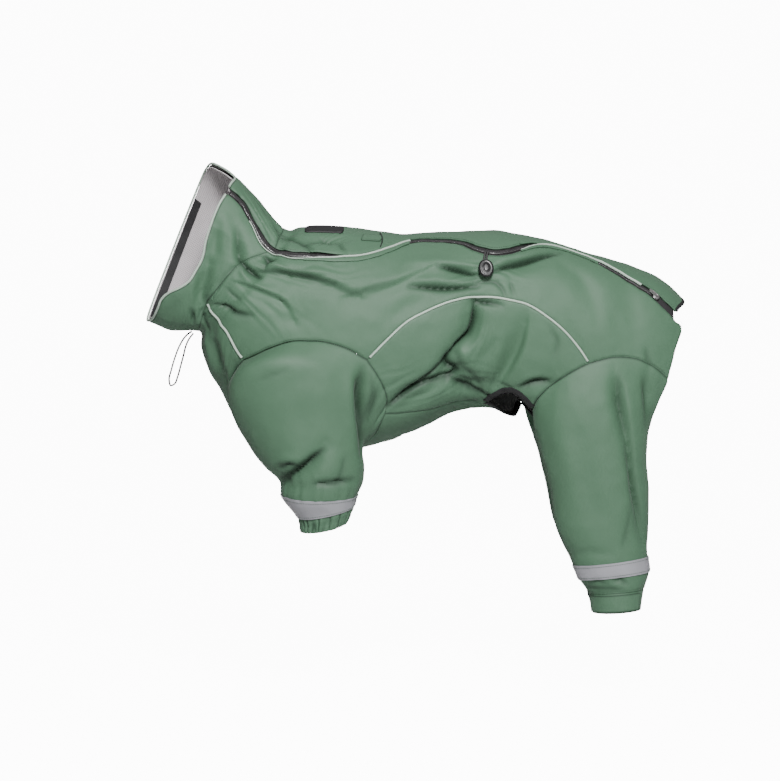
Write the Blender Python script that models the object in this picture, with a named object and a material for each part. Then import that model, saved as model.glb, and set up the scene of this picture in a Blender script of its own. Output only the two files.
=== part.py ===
"""Dog jumpsuit: a hollow four-legged overall of shell cloth, in the form it has when it is worn.

Run with: blender --background --python part.py
Metres, +Z up. The head is towards -X, the tail towards +X and the left side is -Y. The origin is at the
withers, on the inside of the back, where the wearer carries the garment.

The trunk and the collar lie on one surface: ellipses through the rows of SECTIONS. A point of it has a
station u (the row number, with fractions) and an angle round the body: 0 at the spine, positive down the
left side, pi under the belly. Seams are lines on that surface. Each panel is a patch between seams, with a
wall of its own. Sleeves and legs start at their seam on the trunk and run through rings to their cuffs.
"""

import math
from collections import namedtuple

import bpy
import numpy as np
from mathutils.geometry import delaunay_2d_cdt

MM = 0.001

# Cloth and trims
WALL = 1.6 * MM  # shell cloth with its lining and turned edges
LINING_WALL = 1.0 * MM
TRIM_WALL = 0.8 * MM  # tapes, facings, patches
SEAM_GAP = 0.40 * MM  # between neighbouring pieces
LAYER_GAP = 0.5 * MM  # between a tape and the sleeve under it
TAPE_ROOM = 1.3 * MM  # between the cloth and the zip tape under its edge
CELL = 21 * MM  # size of a panel's mesh cells
SEAM_STEP = 19.5 * MM  # between the points of a seam
PIPING_WIDTH = 3.0 * MM
PIPING_HEIGHT = 1.8 * MM
BINDING_WIDTH = 5.5 * MM
BINDING_ROOM = 1.6 * MM  # between a binding and the cloth that it is folded round

# The side view in which seams and outlines are measured: its turn ahead of square, its height, its distance
# and the point it looks at.
VIEW_TURN = math.radians(5)
VIEW_DOWN = math.radians(4)
VIEW_DISTANCE = 4.5
VIEW_CENTRE = np.array((79.2, 0.0, -214.5)) * MM

# The body's sections from the collar's mouth to the tail, in millimetres: top and bottom in the side view,
# and half the width. Below the seat they go on past the opening, as the form that the legs hang from.
Section = namedtuple("Section", "name top_x top_z bottom_x bottom_z half_width")
SECTIONS = (
    Section("mouth", -155, 92, -240, -123, 70),
    Section("collar", -112, 57, -210, -135, 74),
    Section("neck seam", -62, 1, -172, -137, 82),
    Section("neck", -37, 1, -169, -158, 90),
    Section("withers", -10, 2, -160, -186, 96),
    Section("shoulder", 15, 1.5, -145, -213, 101),
    Section("breast", 35, 0, -130, -243, 104),
    Section("forechest", 52, -2, -112, -272, 106),
    Section("chest", 72, -5, -75, -290, 107),
    Section("armpit", 95, -8, -25, -296, 107),
    Section("ribs", 118, -7, 25, -292, 106),
    Section("last rib", 142, -6, 75, -280, 104),
    Section("belly", 165, -5, 125, -259, 101),
    Section("flank", 190, -4, 165, -240, 97),
    Section("waist", 219, -3, 208, -236, 95),
    Section("loin", 249, -8, 245, -252, 96),
    Section("hip front", 282, -15, 282, -268, 97),
    Section("hip", 319, -26, 322, -276, 97),
    Section("croup", 358, -38, 362, -278, 94),
    Section("thigh", 398, -50, 400, -276, 87),
    Section("rump", 430, -64, 428, -268, 77),
    Section("tail", 454, -82, 448, -256, 66),
    Section("tail end", 474, -104, 470, -238, 56),
)
SQUARENESS = 0.10  # how far the sections bulge between their axes
MID_RADIUS = 110 * MM  # turns an angle round the body into a length for meshing
NECK = 2.0  # station of the neck seam
LAST = len(SECTIONS) - 1.0

# Seams of the left side, in millimetres in the side view (x, z), named ends included.
ARM_FRONT = (-114, -174)
ARM_REAR = (49, -174)
ARM_BELLY = (73, -246)
NECK_PIPING = (-164, -101)
LEG_TOP = (342, -179)
LEG_FRONT = (267, -239)
LEG_REAR = (446, -199)
OPEN_FRONT = (205, -229)
TAIL_CORNER = (456, -117)
FRONT_PIPING = (NECK_PIPING, (-157, -112), (-147, -121), (-138, -135), (-128, -152), (-120, -167), ARM_FRONT)
ARM_TOP = (ARM_FRONT, (-102, -169), (-83, -160), (-47, -149), (-20, -149), (22, -159), ARM_REAR)
ARM_BACK = (ARM_REAR, (61, -192), (71, -211), (76, -229), ARM_BELLY)
SIDE_PIPING = (
    ARM_REAR, (74, -149), (100, -125), (127, -110), (153, -99), (180, -92), (202, -91), (232, -94),
    (260, -101), (286, -117), (313, -140), (331, -162), LEG_TOP,
)
BELLY_SEAM = (ARM_BELLY, (100, -245), (136, -239), (164, -230), OPEN_FRONT)
OPENING_SIDE = (OPEN_FRONT, (216, -222), (228, -217), (240, -216), (250, -221), (259, -230), LEG_FRONT)
LEG_FRONT_SEAM = (LEG_FRONT, (272, -228), (285, -214), (305, -199), (325, -187), LEG_TOP)
LEG_TOP_SEAM = (
    LEG_TOP, (356, -175), (374, -171), (392, -171), (411, -175), (425, -182), (436, -190), LEG_REAR,
)
REAR_EDGE = (TAIL_CORNER, (461, -124), (464, -134), (461, -146), (456, -160), (452, -177), LEG_REAR)
# The neck seam from the spine to the front, where it meets the front piping.
NECK_SEAM = (
    (-68, -16), (-79, -31), (-95, -36), (-117, -45), (-134, -62), (-147, -78), NECK_PIPING, (-169, -120),
)
ZIP_LINE = (
    (-133, 49), (-115, 32), (-100, 7), (-86, -20), (-70, -32), (-53, -35), (-29, -36), (18, -37), (49, -34),
    (78, -26), (100, -19), (116, -16), (144, -16), (170, -18), (198, -28), (219, -32), (236, -30),
    (253, -25), (281, -22), (302, -26), (327, -34), (358, -47), (396, -67), (433, -93), TAIL_CORNER,
)
# The armhole's inner half, as stations and degrees round the body, from its belly end to its front end.
ARM_UNDER = ((10.3, 153), (9.4, 162), (8.2, 165), (7.1, 163), (6.2, 158), (5.4, 150))
ARM_CROSS = 1  # the row of ARM_UNDER where chest and belly panels meet
# From there up to ARM_FRONT, in the side view.
ARM_FRONT_LOW = ((-125, -233), (-131, -215), (-129, -196), (-121, -182))
# The right side hangs lower at the belly opening: station and degrees of its edge.
OPEN_FRONT_RIGHT = (15.0, -166)
FLAP_EDGE = ((21.25, 32), (21.5, 10), (21.5, -10), (21.25, -32))  # the tail flap's end, from left to right
OPEN_UNDER = ((14.25, 168), (14.55, 182))  # the opening's front edge, between its two side edges
# The leg's bound inner edge, from the rear end of its seam to the front end, in millimetres (x, y, z).
LEG_INNER_EDGE = (
    (428, -60, -222), (410, -44, -244), (390, -30, -262), (352, -24, -272), (308, -27, -270),
    (281, -43, -258),
)

# The collar's rim: from the zip down the left side in the side view, then round the right side as stations
# and degrees. The right side stands further forward and rises behind the head.
RIM_LEFT = (
    (-143, 33), (-157, -1), (-162, -17), (-167, -40), (-175, -56), (-186, -73), (-198, -81), (-211, -87),
    (-219, -93), (-226, -108), (-232, -120),
)
RIM_RIGHT = (
    (0.03, 182), (0.0, 205), (0.0, 235), (0.0, 270), (0.0, 305), (0.02, 328), (0.10, 342), (0.36, 352),
    (0.66, 362),
)
FACING_SPAN = (75, 300)
FACING_WIDTH = 11 * MM
FACING_ROOM = 1.8 * MM
LINING_ROOM = 1.0 * MM

# Rings of a front sleeve below its armhole, in millimetres: front and back edge in the side view, distance
# from the middle plane, half the width across, and how far the outer side is raised and the inner lowered.
Ring = namedtuple("Ring", "name front_x front_z back_x back_z offset half_width roll")
SLEEVE_RINGS = (
    Ring("armpit", -134, -222, 54, -264, 82, 46, 62),
    Ring("upper arm", -112, -276, 44, -292, 79, 47, 30),
    Ring("elbow", -86, -315, 45, -322, 78, 45, 10),
    Ring("blouse", -66, -336, 42, -338, 76, 43, 0),
    Ring("tape top", -64, -351, 36, -350, 76, 40, -6),
    Ring("tape bottom", -42, -381, 32, -364, 76, 32, -5),
    Ring("cuff end", -38, -400, 23, -387, 76, 29, -4),
)
SLEEVE_ROWS = (4, 3, 2, 1, 1, 1, 1)  # mesh rows from ring to ring, the first from the seam
SLEEVE_TAPE = (5, 6)  # the rings between which the tape lies
LEG_RINGS = (
    Ring("groin", 270, -266, 421, -264, 65, 44, 32),
    Ring("thigh", 280, -302, 418, -302, 68, 44, 12),
    Ring("knee", 291, -350, 420, -346, 70, 42, 3),
    Ring("shin", 300, -401, 419, -402, 71, 38, 0),
    Ring("tape top", 321, -444, 418, -432, 72, 35, 0),
    Ring("tape bottom", 329, -463, 420, -452, 72, 34, 0),
    Ring("cuff top", 341, -481, 414, -474, 72, 32, 0),
    Ring("cuff end", 347, -507, 410, -502, 72, 31, 0),
)
LEG_ROWS = (3, 2, 2, 1, 2, 1, 1, 1)
LEG_TAPE = (5, 6)
CUFF_GATHERS = 13
CUFF_GATHER_DEPTH = 1.3 * MM

# The largest folds of the trunk, in millimetres in the side view: two or three points, depth (a trough is
# negative), reach to each side, and the sides that have it.
Fold = namedtuple("Fold", "points depth reach sides")
FOLDS = (
    Fold(((-92, -60), (-30, -64), (34, -82)), -7, 15, "both"),
    Fold(((34, -82), (75, -66), (119, -47)), -5, 15, "both"),
    Fold(((189, -108), (187, -134), (165, -160)), -9, 14, "both"),
    Fold(((165, -160), (155, -178), (161, -206)), -8, 13, "both"),
    Fold(((84, -236), (124, -218), (162, -196)), -5, 14, "left"),
    Fold(((166, -206), (184, -208), (202, -206)), -5, 12, "left"),
    Fold(((254, -126), (238, -162), (221, -200)), -7, 18, "both"),
    Fold(((262, -206), (280, -203), (298, -192)), -4, 12, "left"),
    Fold(((152, -62), (172, -60), (196, -66)), -4, 11, "left"),
    Fold(((228, -56), (255, -52), (282, -55)), -4, 11, "left"),
    Fold(((-164, -50), (-172, -84), (-167, -118)), -13, 13, "left"),
    Fold(((-146, -2), (-150, -22), (-152, -42)), -5, 12, "both"),
    Fold(((-120, -14), (-118, -30), (-116, -44)), -4, 11, "both"),
    Fold(((-155, -145), (-152, -166), (-143, -190)), -6, 13, "both"),
    Fold(((390, -60), (398, -110), (402, -160)), -3, 20, "both"),
)
# Folds of a sleeve's and a leg's outer side.
SLEEVE_FOLDS = (
    Fold(((-54, -330), (-32, -318), (-10, -298)), -7, 13, "both"),
    Fold(((40, -205), (44, -235), (46, -268)), -9, 13, "both"),
    Fold(((-100, -215), (-40, -198), (10, -205)), -3, 18, "both"),
    Fold(((-68, -316), (-56, -314), (-44, -314)), 4, 12, "both"),
)
LEG_FOLDS = (
    Fold(((378, -188), (386, -240), (400, -320)), -6, 16, "both"),
    Fold(((400, -300), (410, -350), (415, -400)), -7, 13, "both"),
    Fold(((300, -240), (310, -300), (318, -360)), 3, 20, "both"),
)

# Hard parts and patches, in millimetres
ZIP_HALF_GAP = 5.4 * MM  # from the zip's line to the cloth's edge
ZIP_POINTS = 38
ZIP_TAPE_HALF = 9 * MM
ZIP_COIL_WIDTH = 5.0 * MM
ZIP_COIL_HEIGHT = 2.5 * MM
# Lips of cloth over the zip, with a piping between them: start and end in the side view, and their reach to
# the side. The rear lower one is short, so that the zip shows below the piping.
Welt = namedtuple("Welt", "name start end low high")
WELTS = (
    Welt("welt_front_upper", -20, 106, -8.6, -0.8),
    Welt("welt_front_lower", -20, 106, 3.0, 8.6),
    Welt("welt_rear_upper", 277, 412, -8.6, -0.8),
    Welt("welt_rear_lower", 277, 352, 3.0, 8.6),
)
WELT_PIPING_SIDE = 1.1 * MM
ZIP_END = 434  # the zip is open behind its slider, down to the tail corner
SLIDER_AT = 430
SLIDER_LENGTH = 8.0 * MM
SLIDER_WIDTH = 8.4 * MM
PULL_TAB_LENGTH = 13.0 * MM
PULL_TAB_WIDTH = 4.6 * MM
# The right sleeve and leg reach this much further back at their cuffs; the ease says how soon they do.
RIGHT_SLEEVE_LEAN = 16 * MM
RIGHT_SLEEVE_EASE = 2.0
RIGHT_LEG_LEAN = 18 * MM
RIGHT_LEG_EASE = 0.5
TOGGLE_AT = (205, -56)
TOGGLE_SIZE = (20 * MM, 8.5 * MM, 24 * MM)
CORD_WIDTH = 2.5 * MM
CORD_SPREAD = 1.6 * MM  # from the middle between the two waist cords to each
CORD_EYELET = (207, -34)  # where they come out of the cloth, in the side view
LABEL = ((-33, -6), (18, -7), 14 * MM)  # ends of its middle line in the side view, and its width
LEAD_PATCH = ((42, -12), (69, -14), 19 * MM)
# The neck cord's loop in the side view, in millimetres, hanging from the front of the neck seam.
CORD_OFFSETS = (-10 * MM, -18 * MM)  # distance from the middle plane at its two ends
CORD_LOOP = (
    (-182, -136.5), (-186, -139), (-192, -145), (-198, -155), (-204, -170), (-209, -187), (-212, -201),
    (-210, -208), (-205, -206), (-201, -197), (-197, -183), (-193, -168), (-190, -156), (-186, -147),
    (-180, -139),
)

SAGE = (0.165, 0.285, 0.190)
PALE_MESH = (0.58, 0.54, 0.55)
PALE_PIPING = (0.42, 0.52, 0.45)
REFLECTIVE = (0.36, 0.36, 0.39)
DARK = (0.03, 0.03, 0.032)
METAL = (0.45, 0.45, 0.47)

FORWARD = np.array(
    (
        math.sin(VIEW_TURN) * math.cos(VIEW_DOWN),
        math.cos(VIEW_TURN) * math.cos(VIEW_DOWN),
        -math.sin(VIEW_DOWN),
    )
)
RIGHT = np.array((math.cos(VIEW_TURN), -math.sin(VIEW_TURN), 0.0))
UP = np.cross(RIGHT, FORWARD)


def seen_at(x, z, y):
    """The point at depth y that the side view shows at x, z; all in metres."""
    eye = VIEW_CENTRE - FORWARD * VIEW_DISTANCE
    ray = FORWARD * VIEW_DISTANCE + RIGHT * (x - VIEW_CENTRE[0]) + UP * (z - VIEW_CENTRE[2])
    return eye + ray * (y - eye[1]) / ray[1]


def in_view(points):
    """Where the side view shows points."""
    from_centre = np.asarray(points) - VIEW_CENTRE
    shrink = VIEW_DISTANCE / (VIEW_DISTANCE + from_centre @ FORWARD)
    across = VIEW_CENTRE[0] + from_centre @ RIGHT * shrink
    height = VIEW_CENTRE[2] + from_centre @ UP * shrink
    return np.stack([across, height], axis=-1)


def spline(knots, values, at):
    """A smooth curve through values at knots."""
    knots = np.asarray(knots, float)
    values = np.asarray(values, float)
    at = np.asarray(at, float)
    tail = (1,) * (values.ndim - 1)
    span = np.diff(knots).reshape(-1, *tail)
    slope = np.diff(values, axis=0) / span
    tangent = np.empty_like(values)
    tangent[0] = slope[0]
    tangent[-1] = slope[-1]
    tangent[1:-1] = (slope[1:] * span[:-1] + slope[:-1] * span[1:]) / (span[:-1] + span[1:])
    row = np.clip(np.searchsorted(knots, at, "right") - 1, 0, len(knots) - 2)
    t = ((at - knots[row]) / np.diff(knots)[row]).reshape(-1, *tail)
    rise = span[row]
    return (
        (2 * t**3 - 3 * t**2 + 1) * values[row]
        + (t**3 - 2 * t**2 + t) * rise * tangent[row]
        + (3 * t**2 - 2 * t**3) * values[row + 1]
        + (t**3 - t**2) * rise * tangent[row + 1]
    )


def unit(vectors):
    """Vectors of length 1."""
    return vectors / np.maximum(np.linalg.norm(vectors, axis=-1, keepdims=True), 1e-12)


def section_rows():
    """Top x and z, bottom x and z and half width of each section, in metres."""
    rows = []
    for s in SECTIONS:
        top = seen_at(s.top_x * MM, s.top_z * MM, 0.0)
        bottom = seen_at(s.bottom_x * MM, s.bottom_z * MM, 0.0)
        rows.append((top[0], top[2], bottom[0], bottom[2], s.half_width * MM))
    return np.array(rows)


SECTION_ROWS = section_rows()
STATIONS = np.arange(len(SECTIONS))


def trunk(line):
    """Points of the smooth trunk surface for rows of station and angle."""
    line = np.asarray(line, float)
    row = spline(STATIONS, SECTION_ROWS, line[:, 0])
    cos, sin = np.cos(line[:, 1]), np.sin(line[:, 1])
    down = (1 - cos * (1 + SQUARENESS * sin**2)) / 2
    x = row[:, 0] + down * (row[:, 2] - row[:, 0])
    z = row[:, 1] + down * (row[:, 3] - row[:, 1])
    y = -row[:, 4] * sin * (1 + SQUARENESS * cos**2)
    return np.stack([x, y, z], axis=1)


def trunk_slopes(line):
    """How the surface runs with the station and with the angle."""
    line = np.asarray(line, float)
    small_u, small_a = np.array((0.01, 0.0)), np.array((0.0, 0.005))
    along = (trunk(line + small_u) - trunk(line - small_u)) / 0.02
    around = (trunk(line + small_a) - trunk(line - small_a)) / 0.01
    return along, around


def trunk_normals(line):
    """Outward directions of the smooth trunk."""
    along, around = trunk_slopes(line)
    return unit(np.cross(around, along))


def lengths(line):
    """Station and angle as lengths, for meshing flat."""
    line = np.asarray(line, float)
    return np.stack([np.interp(line[:, 0], STATIONS, MID_LENGTHS), line[:, 1] * MID_RADIUS], axis=1)


def from_lengths(flat):
    """The reverse of lengths."""
    flat = np.asarray(flat, float)
    return np.stack([np.interp(flat[:, 0], MID_LENGTHS, STATIONS), flat[:, 1] / MID_RADIUS], axis=1)


def mid_lengths():
    """Length along the body's middle line up to each section."""
    middle = (SECTION_ROWS[:, :2] + SECTION_ROWS[:, 2:4]) / 2
    middle[:, 0] = (SECTION_ROWS[:, 0] * 0.55) + (SECTION_ROWS[:, 2] * 0.45)
    step = np.linalg.norm(np.diff(middle, axis=0), axis=1)
    return np.concatenate([[0.0], np.cumsum(np.maximum(step, 12 * MM))])


MID_LENGTHS = mid_lengths()


def on_trunk(x, z):
    """Station and angle of the left side's point that the side view shows at x, z in millimetres."""
    target = np.array((x, z)) * MM
    stations, angles = np.meshgrid(np.arange(0, LAST + 0.01, 0.5), np.radians(np.arange(4, 178, 6)))
    grid = np.stack([stations.ravel(), angles.ravel()], axis=1)
    best = grid[np.argmin(np.linalg.norm(in_view(trunk(grid)) - target, axis=1))]
    for _ in range(25):
        probes = np.array([best, best + (0.01, 0), best + (0, 0.01)])
        shown = in_view(trunk(probes))
        slopes = np.stack([(shown[1] - shown[0]) / 0.01, (shown[2] - shown[0]) / 0.01], axis=1)
        step, *_ = np.linalg.lstsq(slopes, target - shown[0], rcond=0.02)
        best = best + np.clip(step, (-0.6, -0.2), (0.6, 0.2))
        best = np.clip(best, (0.0, math.radians(1)), (LAST, math.radians(179)))
    return best


def mirrored(line):
    """The same line on the right side."""
    return np.asarray(line) * (1.0, -1.0)


def evenly(line, step=SEAM_STEP, count=None):
    """The curve through the points of a line, with points about step apart."""
    flat = lengths(line)
    chord = np.concatenate([[0.0], np.cumsum(np.linalg.norm(np.diff(flat, axis=0), axis=1))])
    fine = spline(chord, flat, np.linspace(0, chord[-1], 400))
    run = np.concatenate([[0.0], np.cumsum(np.linalg.norm(np.diff(fine, axis=0), axis=1))])
    count = count or max(2, round(run[-1] / step) + 1)
    at = np.linspace(0, run[-1], count)
    even = np.stack([np.interp(at, run, fine[:, k]) for k in range(2)], axis=1)
    result = from_lengths(even)
    result[0], result[-1] = line[0], line[-1]
    return result


def seam(points):
    """A seam line from its points in the side view."""
    return evenly(np.array([on_trunk(*p) for p in points]))


def joined(*lines):
    """Lines end to end as one closed loop."""
    return np.concatenate([line[:-1] for line in lines])


# Folds

FOLD_LINES = []


def trunk_fold_lines():
    """Each fold as a line of flat points, with its depth and reach."""
    lines = []
    for fold in FOLDS:
        left = np.array([on_trunk(*p) for p in fold.points])
        curve = evenly(left, count=9)
        if fold.sides in ("left", "both"):
            lines.append((lengths(curve), fold.depth * MM, fold.reach * MM))
        if fold.sides == "both":
            lines.append((lengths(mirrored(curve)), 0.8 * fold.depth * MM, 1.1 * fold.reach * MM))
    return lines


def fold_depths(flat, lines):
    """How far folds push each flat point out or in."""
    depth = np.zeros(len(flat))
    for curve, deepest, reach in lines:
        best = np.full(len(flat), np.inf)
        along = np.zeros(len(flat))
        count = len(curve) - 1
        for i in range(count):
            run = curve[i + 1] - curve[i]
            t = np.clip((flat - curve[i]) @ run / (run @ run), 0, 1)
            away = np.linalg.norm(flat - curve[i] - t[:, None] * run, axis=1)
            nearer = away < best
            best = np.where(nearer, away, best)
            along = np.where(nearer, (i + t) / count, along)
        fade = np.sin(np.pi * np.clip(0.12 + 0.76 * along, 0, 1))
        depth += deepest * fade * np.exp(-((best / reach) ** 2))
    return depth


def wrapped(flat):
    """Flat points with the angle between -pi and pi."""
    angle = (flat[:, 1] / MID_RADIUS + math.pi) % (2 * math.pi) - math.pi
    return np.stack([flat[:, 0], angle * MID_RADIUS], axis=1)


def skin(line, lift=0.0):
    """Points of the folded cloth's outer side, moved out by lift, and the outward directions."""
    normals = trunk_normals(line)
    depth = fold_depths(wrapped(lengths(line)), FOLD_LINES)
    return trunk(line) + normals * (depth + lift)[:, None], normals


# Solids


def finish(name, colour, roughness, metallic=0.0):
    """A plain material."""
    material = bpy.data.materials.new(name)
    material.use_nodes = True
    shader = material.node_tree.nodes["Principled BSDF"]
    shader.inputs["Base Color"].default_value = (*colour, 1.0)
    shader.inputs["Roughness"].default_value = roughness
    shader.inputs["Metallic"].default_value = metallic
    return material


def add_object(name, points, faces, colour, roughness=0.7, metallic=0.0):
    """One closed solid as an object; its faces are turned outwards."""
    points = np.asarray(points, float)
    volume = 0.0
    for face in faces:
        for k in range(1, len(face) - 1):
            a, b, c = points[face[0]], points[face[k]], points[face[k + 1]]
            volume += float(np.dot(a, np.cross(b, c)))
    if volume < 0:
        faces = [tuple(reversed(face)) for face in faces]
    mesh = bpy.data.meshes.new(name)
    mesh.from_pydata([tuple(p) for p in points], [], faces)
    mesh.update()
    mesh.shade_smooth()
    mesh.set_sharp_from_angle(angle=math.radians(40))
    mesh.materials.append(finish(name, colour, roughness, metallic))
    obj = bpy.data.objects.new(name, mesh)
    bpy.context.scene.collection.objects.link(obj)
    return obj


def halved(faces):
    """Faces as triangles, so that both skins of a wall bend along the same lines."""
    halves = []
    for face in faces:
        halves.extend((face[0], face[k], face[k + 1]) for k in range(1, len(face) - 1))
    return halves


def add_shell(name, outer, inner, faces, colour, **look):
    """A wall between two skins with the same faces; its rims are closed."""
    faces = halved(faces)
    count = len(outer)
    uses = {}
    for face in faces:
        for a, b in zip(face, face[1:] + face[:1]):
            uses[(a, b)] = True
    rims = [(a, b) for a, b in uses if (b, a) not in uses]
    walls = [(b, a, a + count, b + count) for a, b in rims]
    inside = [tuple(i + count for i in reversed(face)) for face in faces]
    return add_object(name, np.concatenate([outer, inner]), faces + inside + walls, colour, **look)


def triangulate(loop, fixed):
    """Flat points and triangles that fill a closed loop, with rows of cells and some fixed points."""
    low, high = loop.min(axis=0), loop.max(axis=0)
    spots = []
    row_step = CELL * math.sqrt(3) / 2
    for r in range(int((high[1] - low[1]) / row_step) + 1):
        for c in range(int((high[0] - low[0]) / CELL) + 2):
            spots.append((low[0] + (c + 0.5 * (r % 2)) * CELL, low[1] + (r + 0.5) * row_step))
    spots = np.array(spots)
    pins = np.array([p for p in fixed if is_inside(p, loop) and edge_distance(p, loop) > 0.4 * CELL])
    kept = list(pins)
    for spot in spots:
        if not is_inside(spot, loop) or edge_distance(spot, loop) < 0.55 * CELL:
            continue
        if len(pins) and np.linalg.norm(pins - spot, axis=1).min() < 0.6 * CELL:
            continue
        kept.append(spot)
    points = np.concatenate([loop, np.array(kept).reshape(-1, 2)])
    edges = [(i, (i + 1) % len(loop)) for i in range(len(loop))]
    found = delaunay_2d_cdt([tuple(p) for p in points], edges, [], 1, 1e-7)
    flat = np.array([tuple(p) for p in found[0]])
    origin = [min(ids) if ids else -1 for ids in found[3]]
    return flat, [tuple(face) for face in found[2]], origin


def is_inside(point, loop):
    """Whether a flat point is inside a closed loop."""
    x, y = point
    a, b = loop, np.roll(loop, -1, axis=0)
    crosses = (a[:, 1] > y) != (b[:, 1] > y)
    with np.errstate(divide="ignore", invalid="ignore"):
        at = a[:, 0] + (y - a[:, 1]) / (b[:, 1] - a[:, 1]) * (b[:, 0] - a[:, 0])
    return bool(np.sum(crosses & (x < at)) % 2)


def edge_distance(point, loop):
    """The distance from a flat point to a closed loop."""
    a, run = loop, np.roll(loop, -1, axis=0) - loop
    t = np.clip(((point - a) * run).sum(1) / np.maximum((run * run).sum(1), 1e-15), 0, 1)
    return float(np.linalg.norm(a + t[:, None] * run - point, axis=1).min())


def add_panel(name, loop, partners=None, lift=0.0, wall=WALL, colour=SAGE, roughness=0.62):
    """A trunk panel: the cloth inside a closed loop of seams, kept half a gap from each seam.

    partners gives, for some of the loop's points, the outward direction of the tube that is sewn on there,
    so that both walls end in one mitre.
    """
    flat_loop = lengths(loop)
    fixed = [p for curve, _, _ in FOLD_LINES for p in unwrapped_near(curve[1:-1], flat_loop)]
    flat, faces, origin = triangulate(flat_loop, fixed)
    line = from_lengths(flat)
    for i, source in enumerate(origin):
        if 0 <= source < len(loop):
            line[i] = loop[source]
    outer, normals = skin(line, lift)
    ring, _ = skin(loop, lift)
    inward = inward_directions(ring, trunk_normals(loop), flat_loop)
    inner = outer - normals * wall
    for i, source in enumerate(origin):
        if not 0 <= source < len(loop):
            continue
        tilt = normals[i]
        if partners is not None and np.linalg.norm(partners[source]) > 0.5:
            tilt = unit(normals[i] + partners[source])
        stretch = 1 / max(0.62, float(tilt @ normals[i]))
        shift = inward[source] * SEAM_GAP / 2 * stretch
        inner[i] = outer[i] - tilt * wall * stretch + shift
        outer[i] = outer[i] + shift
    return add_shell(name, outer, inner, faces, colour, roughness=roughness)


def unwrapped_near(curve, flat_loop):
    """A fold's flat points, turned by whole turns to the loop's own range of angles."""
    turn = 2 * math.pi * MID_RADIUS
    middle = (flat_loop[:, 1].min() + flat_loop[:, 1].max()) / 2
    return [np.array((p[0], p[1] + turn * round((middle - p[1]) / turn))) for p in curve]


def inward_directions(ring, normals, flat_loop):
    """For each point of a closed ring, the in-surface shift that moves both its edges inward by 1."""
    across, along = flat_loop[:, 0], flat_loop[:, 1]
    area = np.sum(across * np.roll(along, -1) - along * np.roll(across, -1))
    turn = 1.0 if area < 0 else -1.0
    ahead = unit(np.roll(ring, -1, axis=0) - ring)
    behind = np.roll(ahead, 1, axis=0)
    side_a = unit(np.cross(normals, ahead)) * turn
    side_b = unit(np.cross(normals, behind)) * turn
    both = side_a + side_b
    middle = unit(both)
    widen = np.clip((middle * side_a).sum(1), 0.35, 1.0)
    return middle / widen[:, None]


def add_profile(name, points, sides, normals, profile, colour, closed=False, **look):
    """A bar along a line; profile is its section as (sideways, outwards) pairs.

    All its sides are split the same way across, so that thin walls of a section don't cross.
    """
    rows, corners = len(points), len(profile)
    body = []
    for p, b, n in zip(points, sides, normals):
        body.extend(p + b * across + n * out for across, out in profile)
    faces = []
    for i in range(rows if closed else rows - 1):
        j = (i + 1) % rows
        for k in range(corners):
            m = (k + 1) % corners
            a, b, c, d = i * corners + k, i * corners + m, j * corners + m, j * corners + k
            if profile[k][0] > profile[m][0]:
                faces.extend(((a, b, c), (a, c, d)))
            else:
                faces.extend(((a, b, d), (b, c, d)))
    if not closed:
        faces.append(tuple(reversed(range(corners))))
        faces.append(tuple(range((rows - 1) * corners, rows * corners)))
    return add_object(name, body, faces, colour, **look)


def line_frames(line, lift=0.0):
    """Points on the cloth along a trunk line, with the sideways and outward directions there."""
    points, normals = skin(line, lift)
    forward = unit(np.gradient(points, axis=0))
    sides = unit(np.cross(normals, forward))
    return points, sides, normals


def add_piping(name, line, width=PIPING_WIDTH, height=PIPING_HEIGHT, colour=PALE_PIPING, lift=0.0):
    """A corded edge that stands on a seam."""
    trimmed = trim_ends(line, 3 * MM)
    points, sides, normals = line_frames(trimmed, lift)
    half, low = width / 2, SEAM_GAP
    shoulder, top = low + 0.45 * height, low + height
    profile = [
        (-half, low), (half, low), (half, shoulder), (0.3 * half, top), (-0.3 * half, top), (-half, shoulder),
    ]
    return add_profile(name, points, sides, normals, profile, colour, roughness=0.5)


def trim_ends(line, cut):
    """A line shortened a little at both ends."""
    line = np.array(line, float)
    flat = lengths(line)
    for end, nearby in ((0, 1), (-1, -2)):
        run = flat[nearby] - flat[end]
        flat[end] = flat[end] + run * min(0.45, cut / np.linalg.norm(run))
    result = from_lengths(flat)
    result[1:-1] = line[1:-1]
    return result


def moved(line, side):
    """A trunk line moved sideways over the surface, towards larger angles where side is positive."""
    line = np.asarray(line, float)
    _, around = trunk_slopes(line)
    along, _ = trunk_slopes(line)
    step_u = np.gradient(line[:, 0])
    step_a = np.gradient(line[:, 1])
    forward = unit(along * step_u[:, None] + around * step_a[:, None])
    share = np.abs(np.einsum("ij,ij->i", np.cross(unit(around), forward), trunk_normals(line)))
    result = line.copy()
    result[:, 1] += side / (np.linalg.norm(around, axis=1) * np.clip(share, 0.4, 1.0))
    return result


def add_ribbon(name, line, low, high, lift, thick, colour, columns=2, **look):
    """A flat band along a trunk line, between two distances to its side, lying on the cloth."""
    offsets = np.linspace(low, high, columns + 1)
    rows = [moved(line, offset) for offset in offsets]
    outer = np.concatenate([skin(row, lift + thick)[0] for row in rows])
    inner = np.concatenate([skin(row, lift)[0] for row in rows])
    return add_shell(name, outer, inner, grid_faces(columns + 1, len(line)), colour, **look)


def stretch(line, end):
    """A line up to a place of the side view, in millimetres, where it gets a point of its own."""
    shown = in_view(trunk(line))[:, 0] / MM
    last = int(np.argmax(shown > end))
    share = (end - shown[last - 1]) / (shown[last] - shown[last - 1])
    return np.concatenate([line[:last], [line[last - 1] + share * (line[last] - line[last - 1])]])


def between(fine, start, end):
    """The stretch of a fine line between two places of the side view, in millimetres."""
    shown = in_view(trunk(fine))[:, 0] / MM
    return evenly(fine[(shown > start) & (shown < end)])


# Tubes


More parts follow.
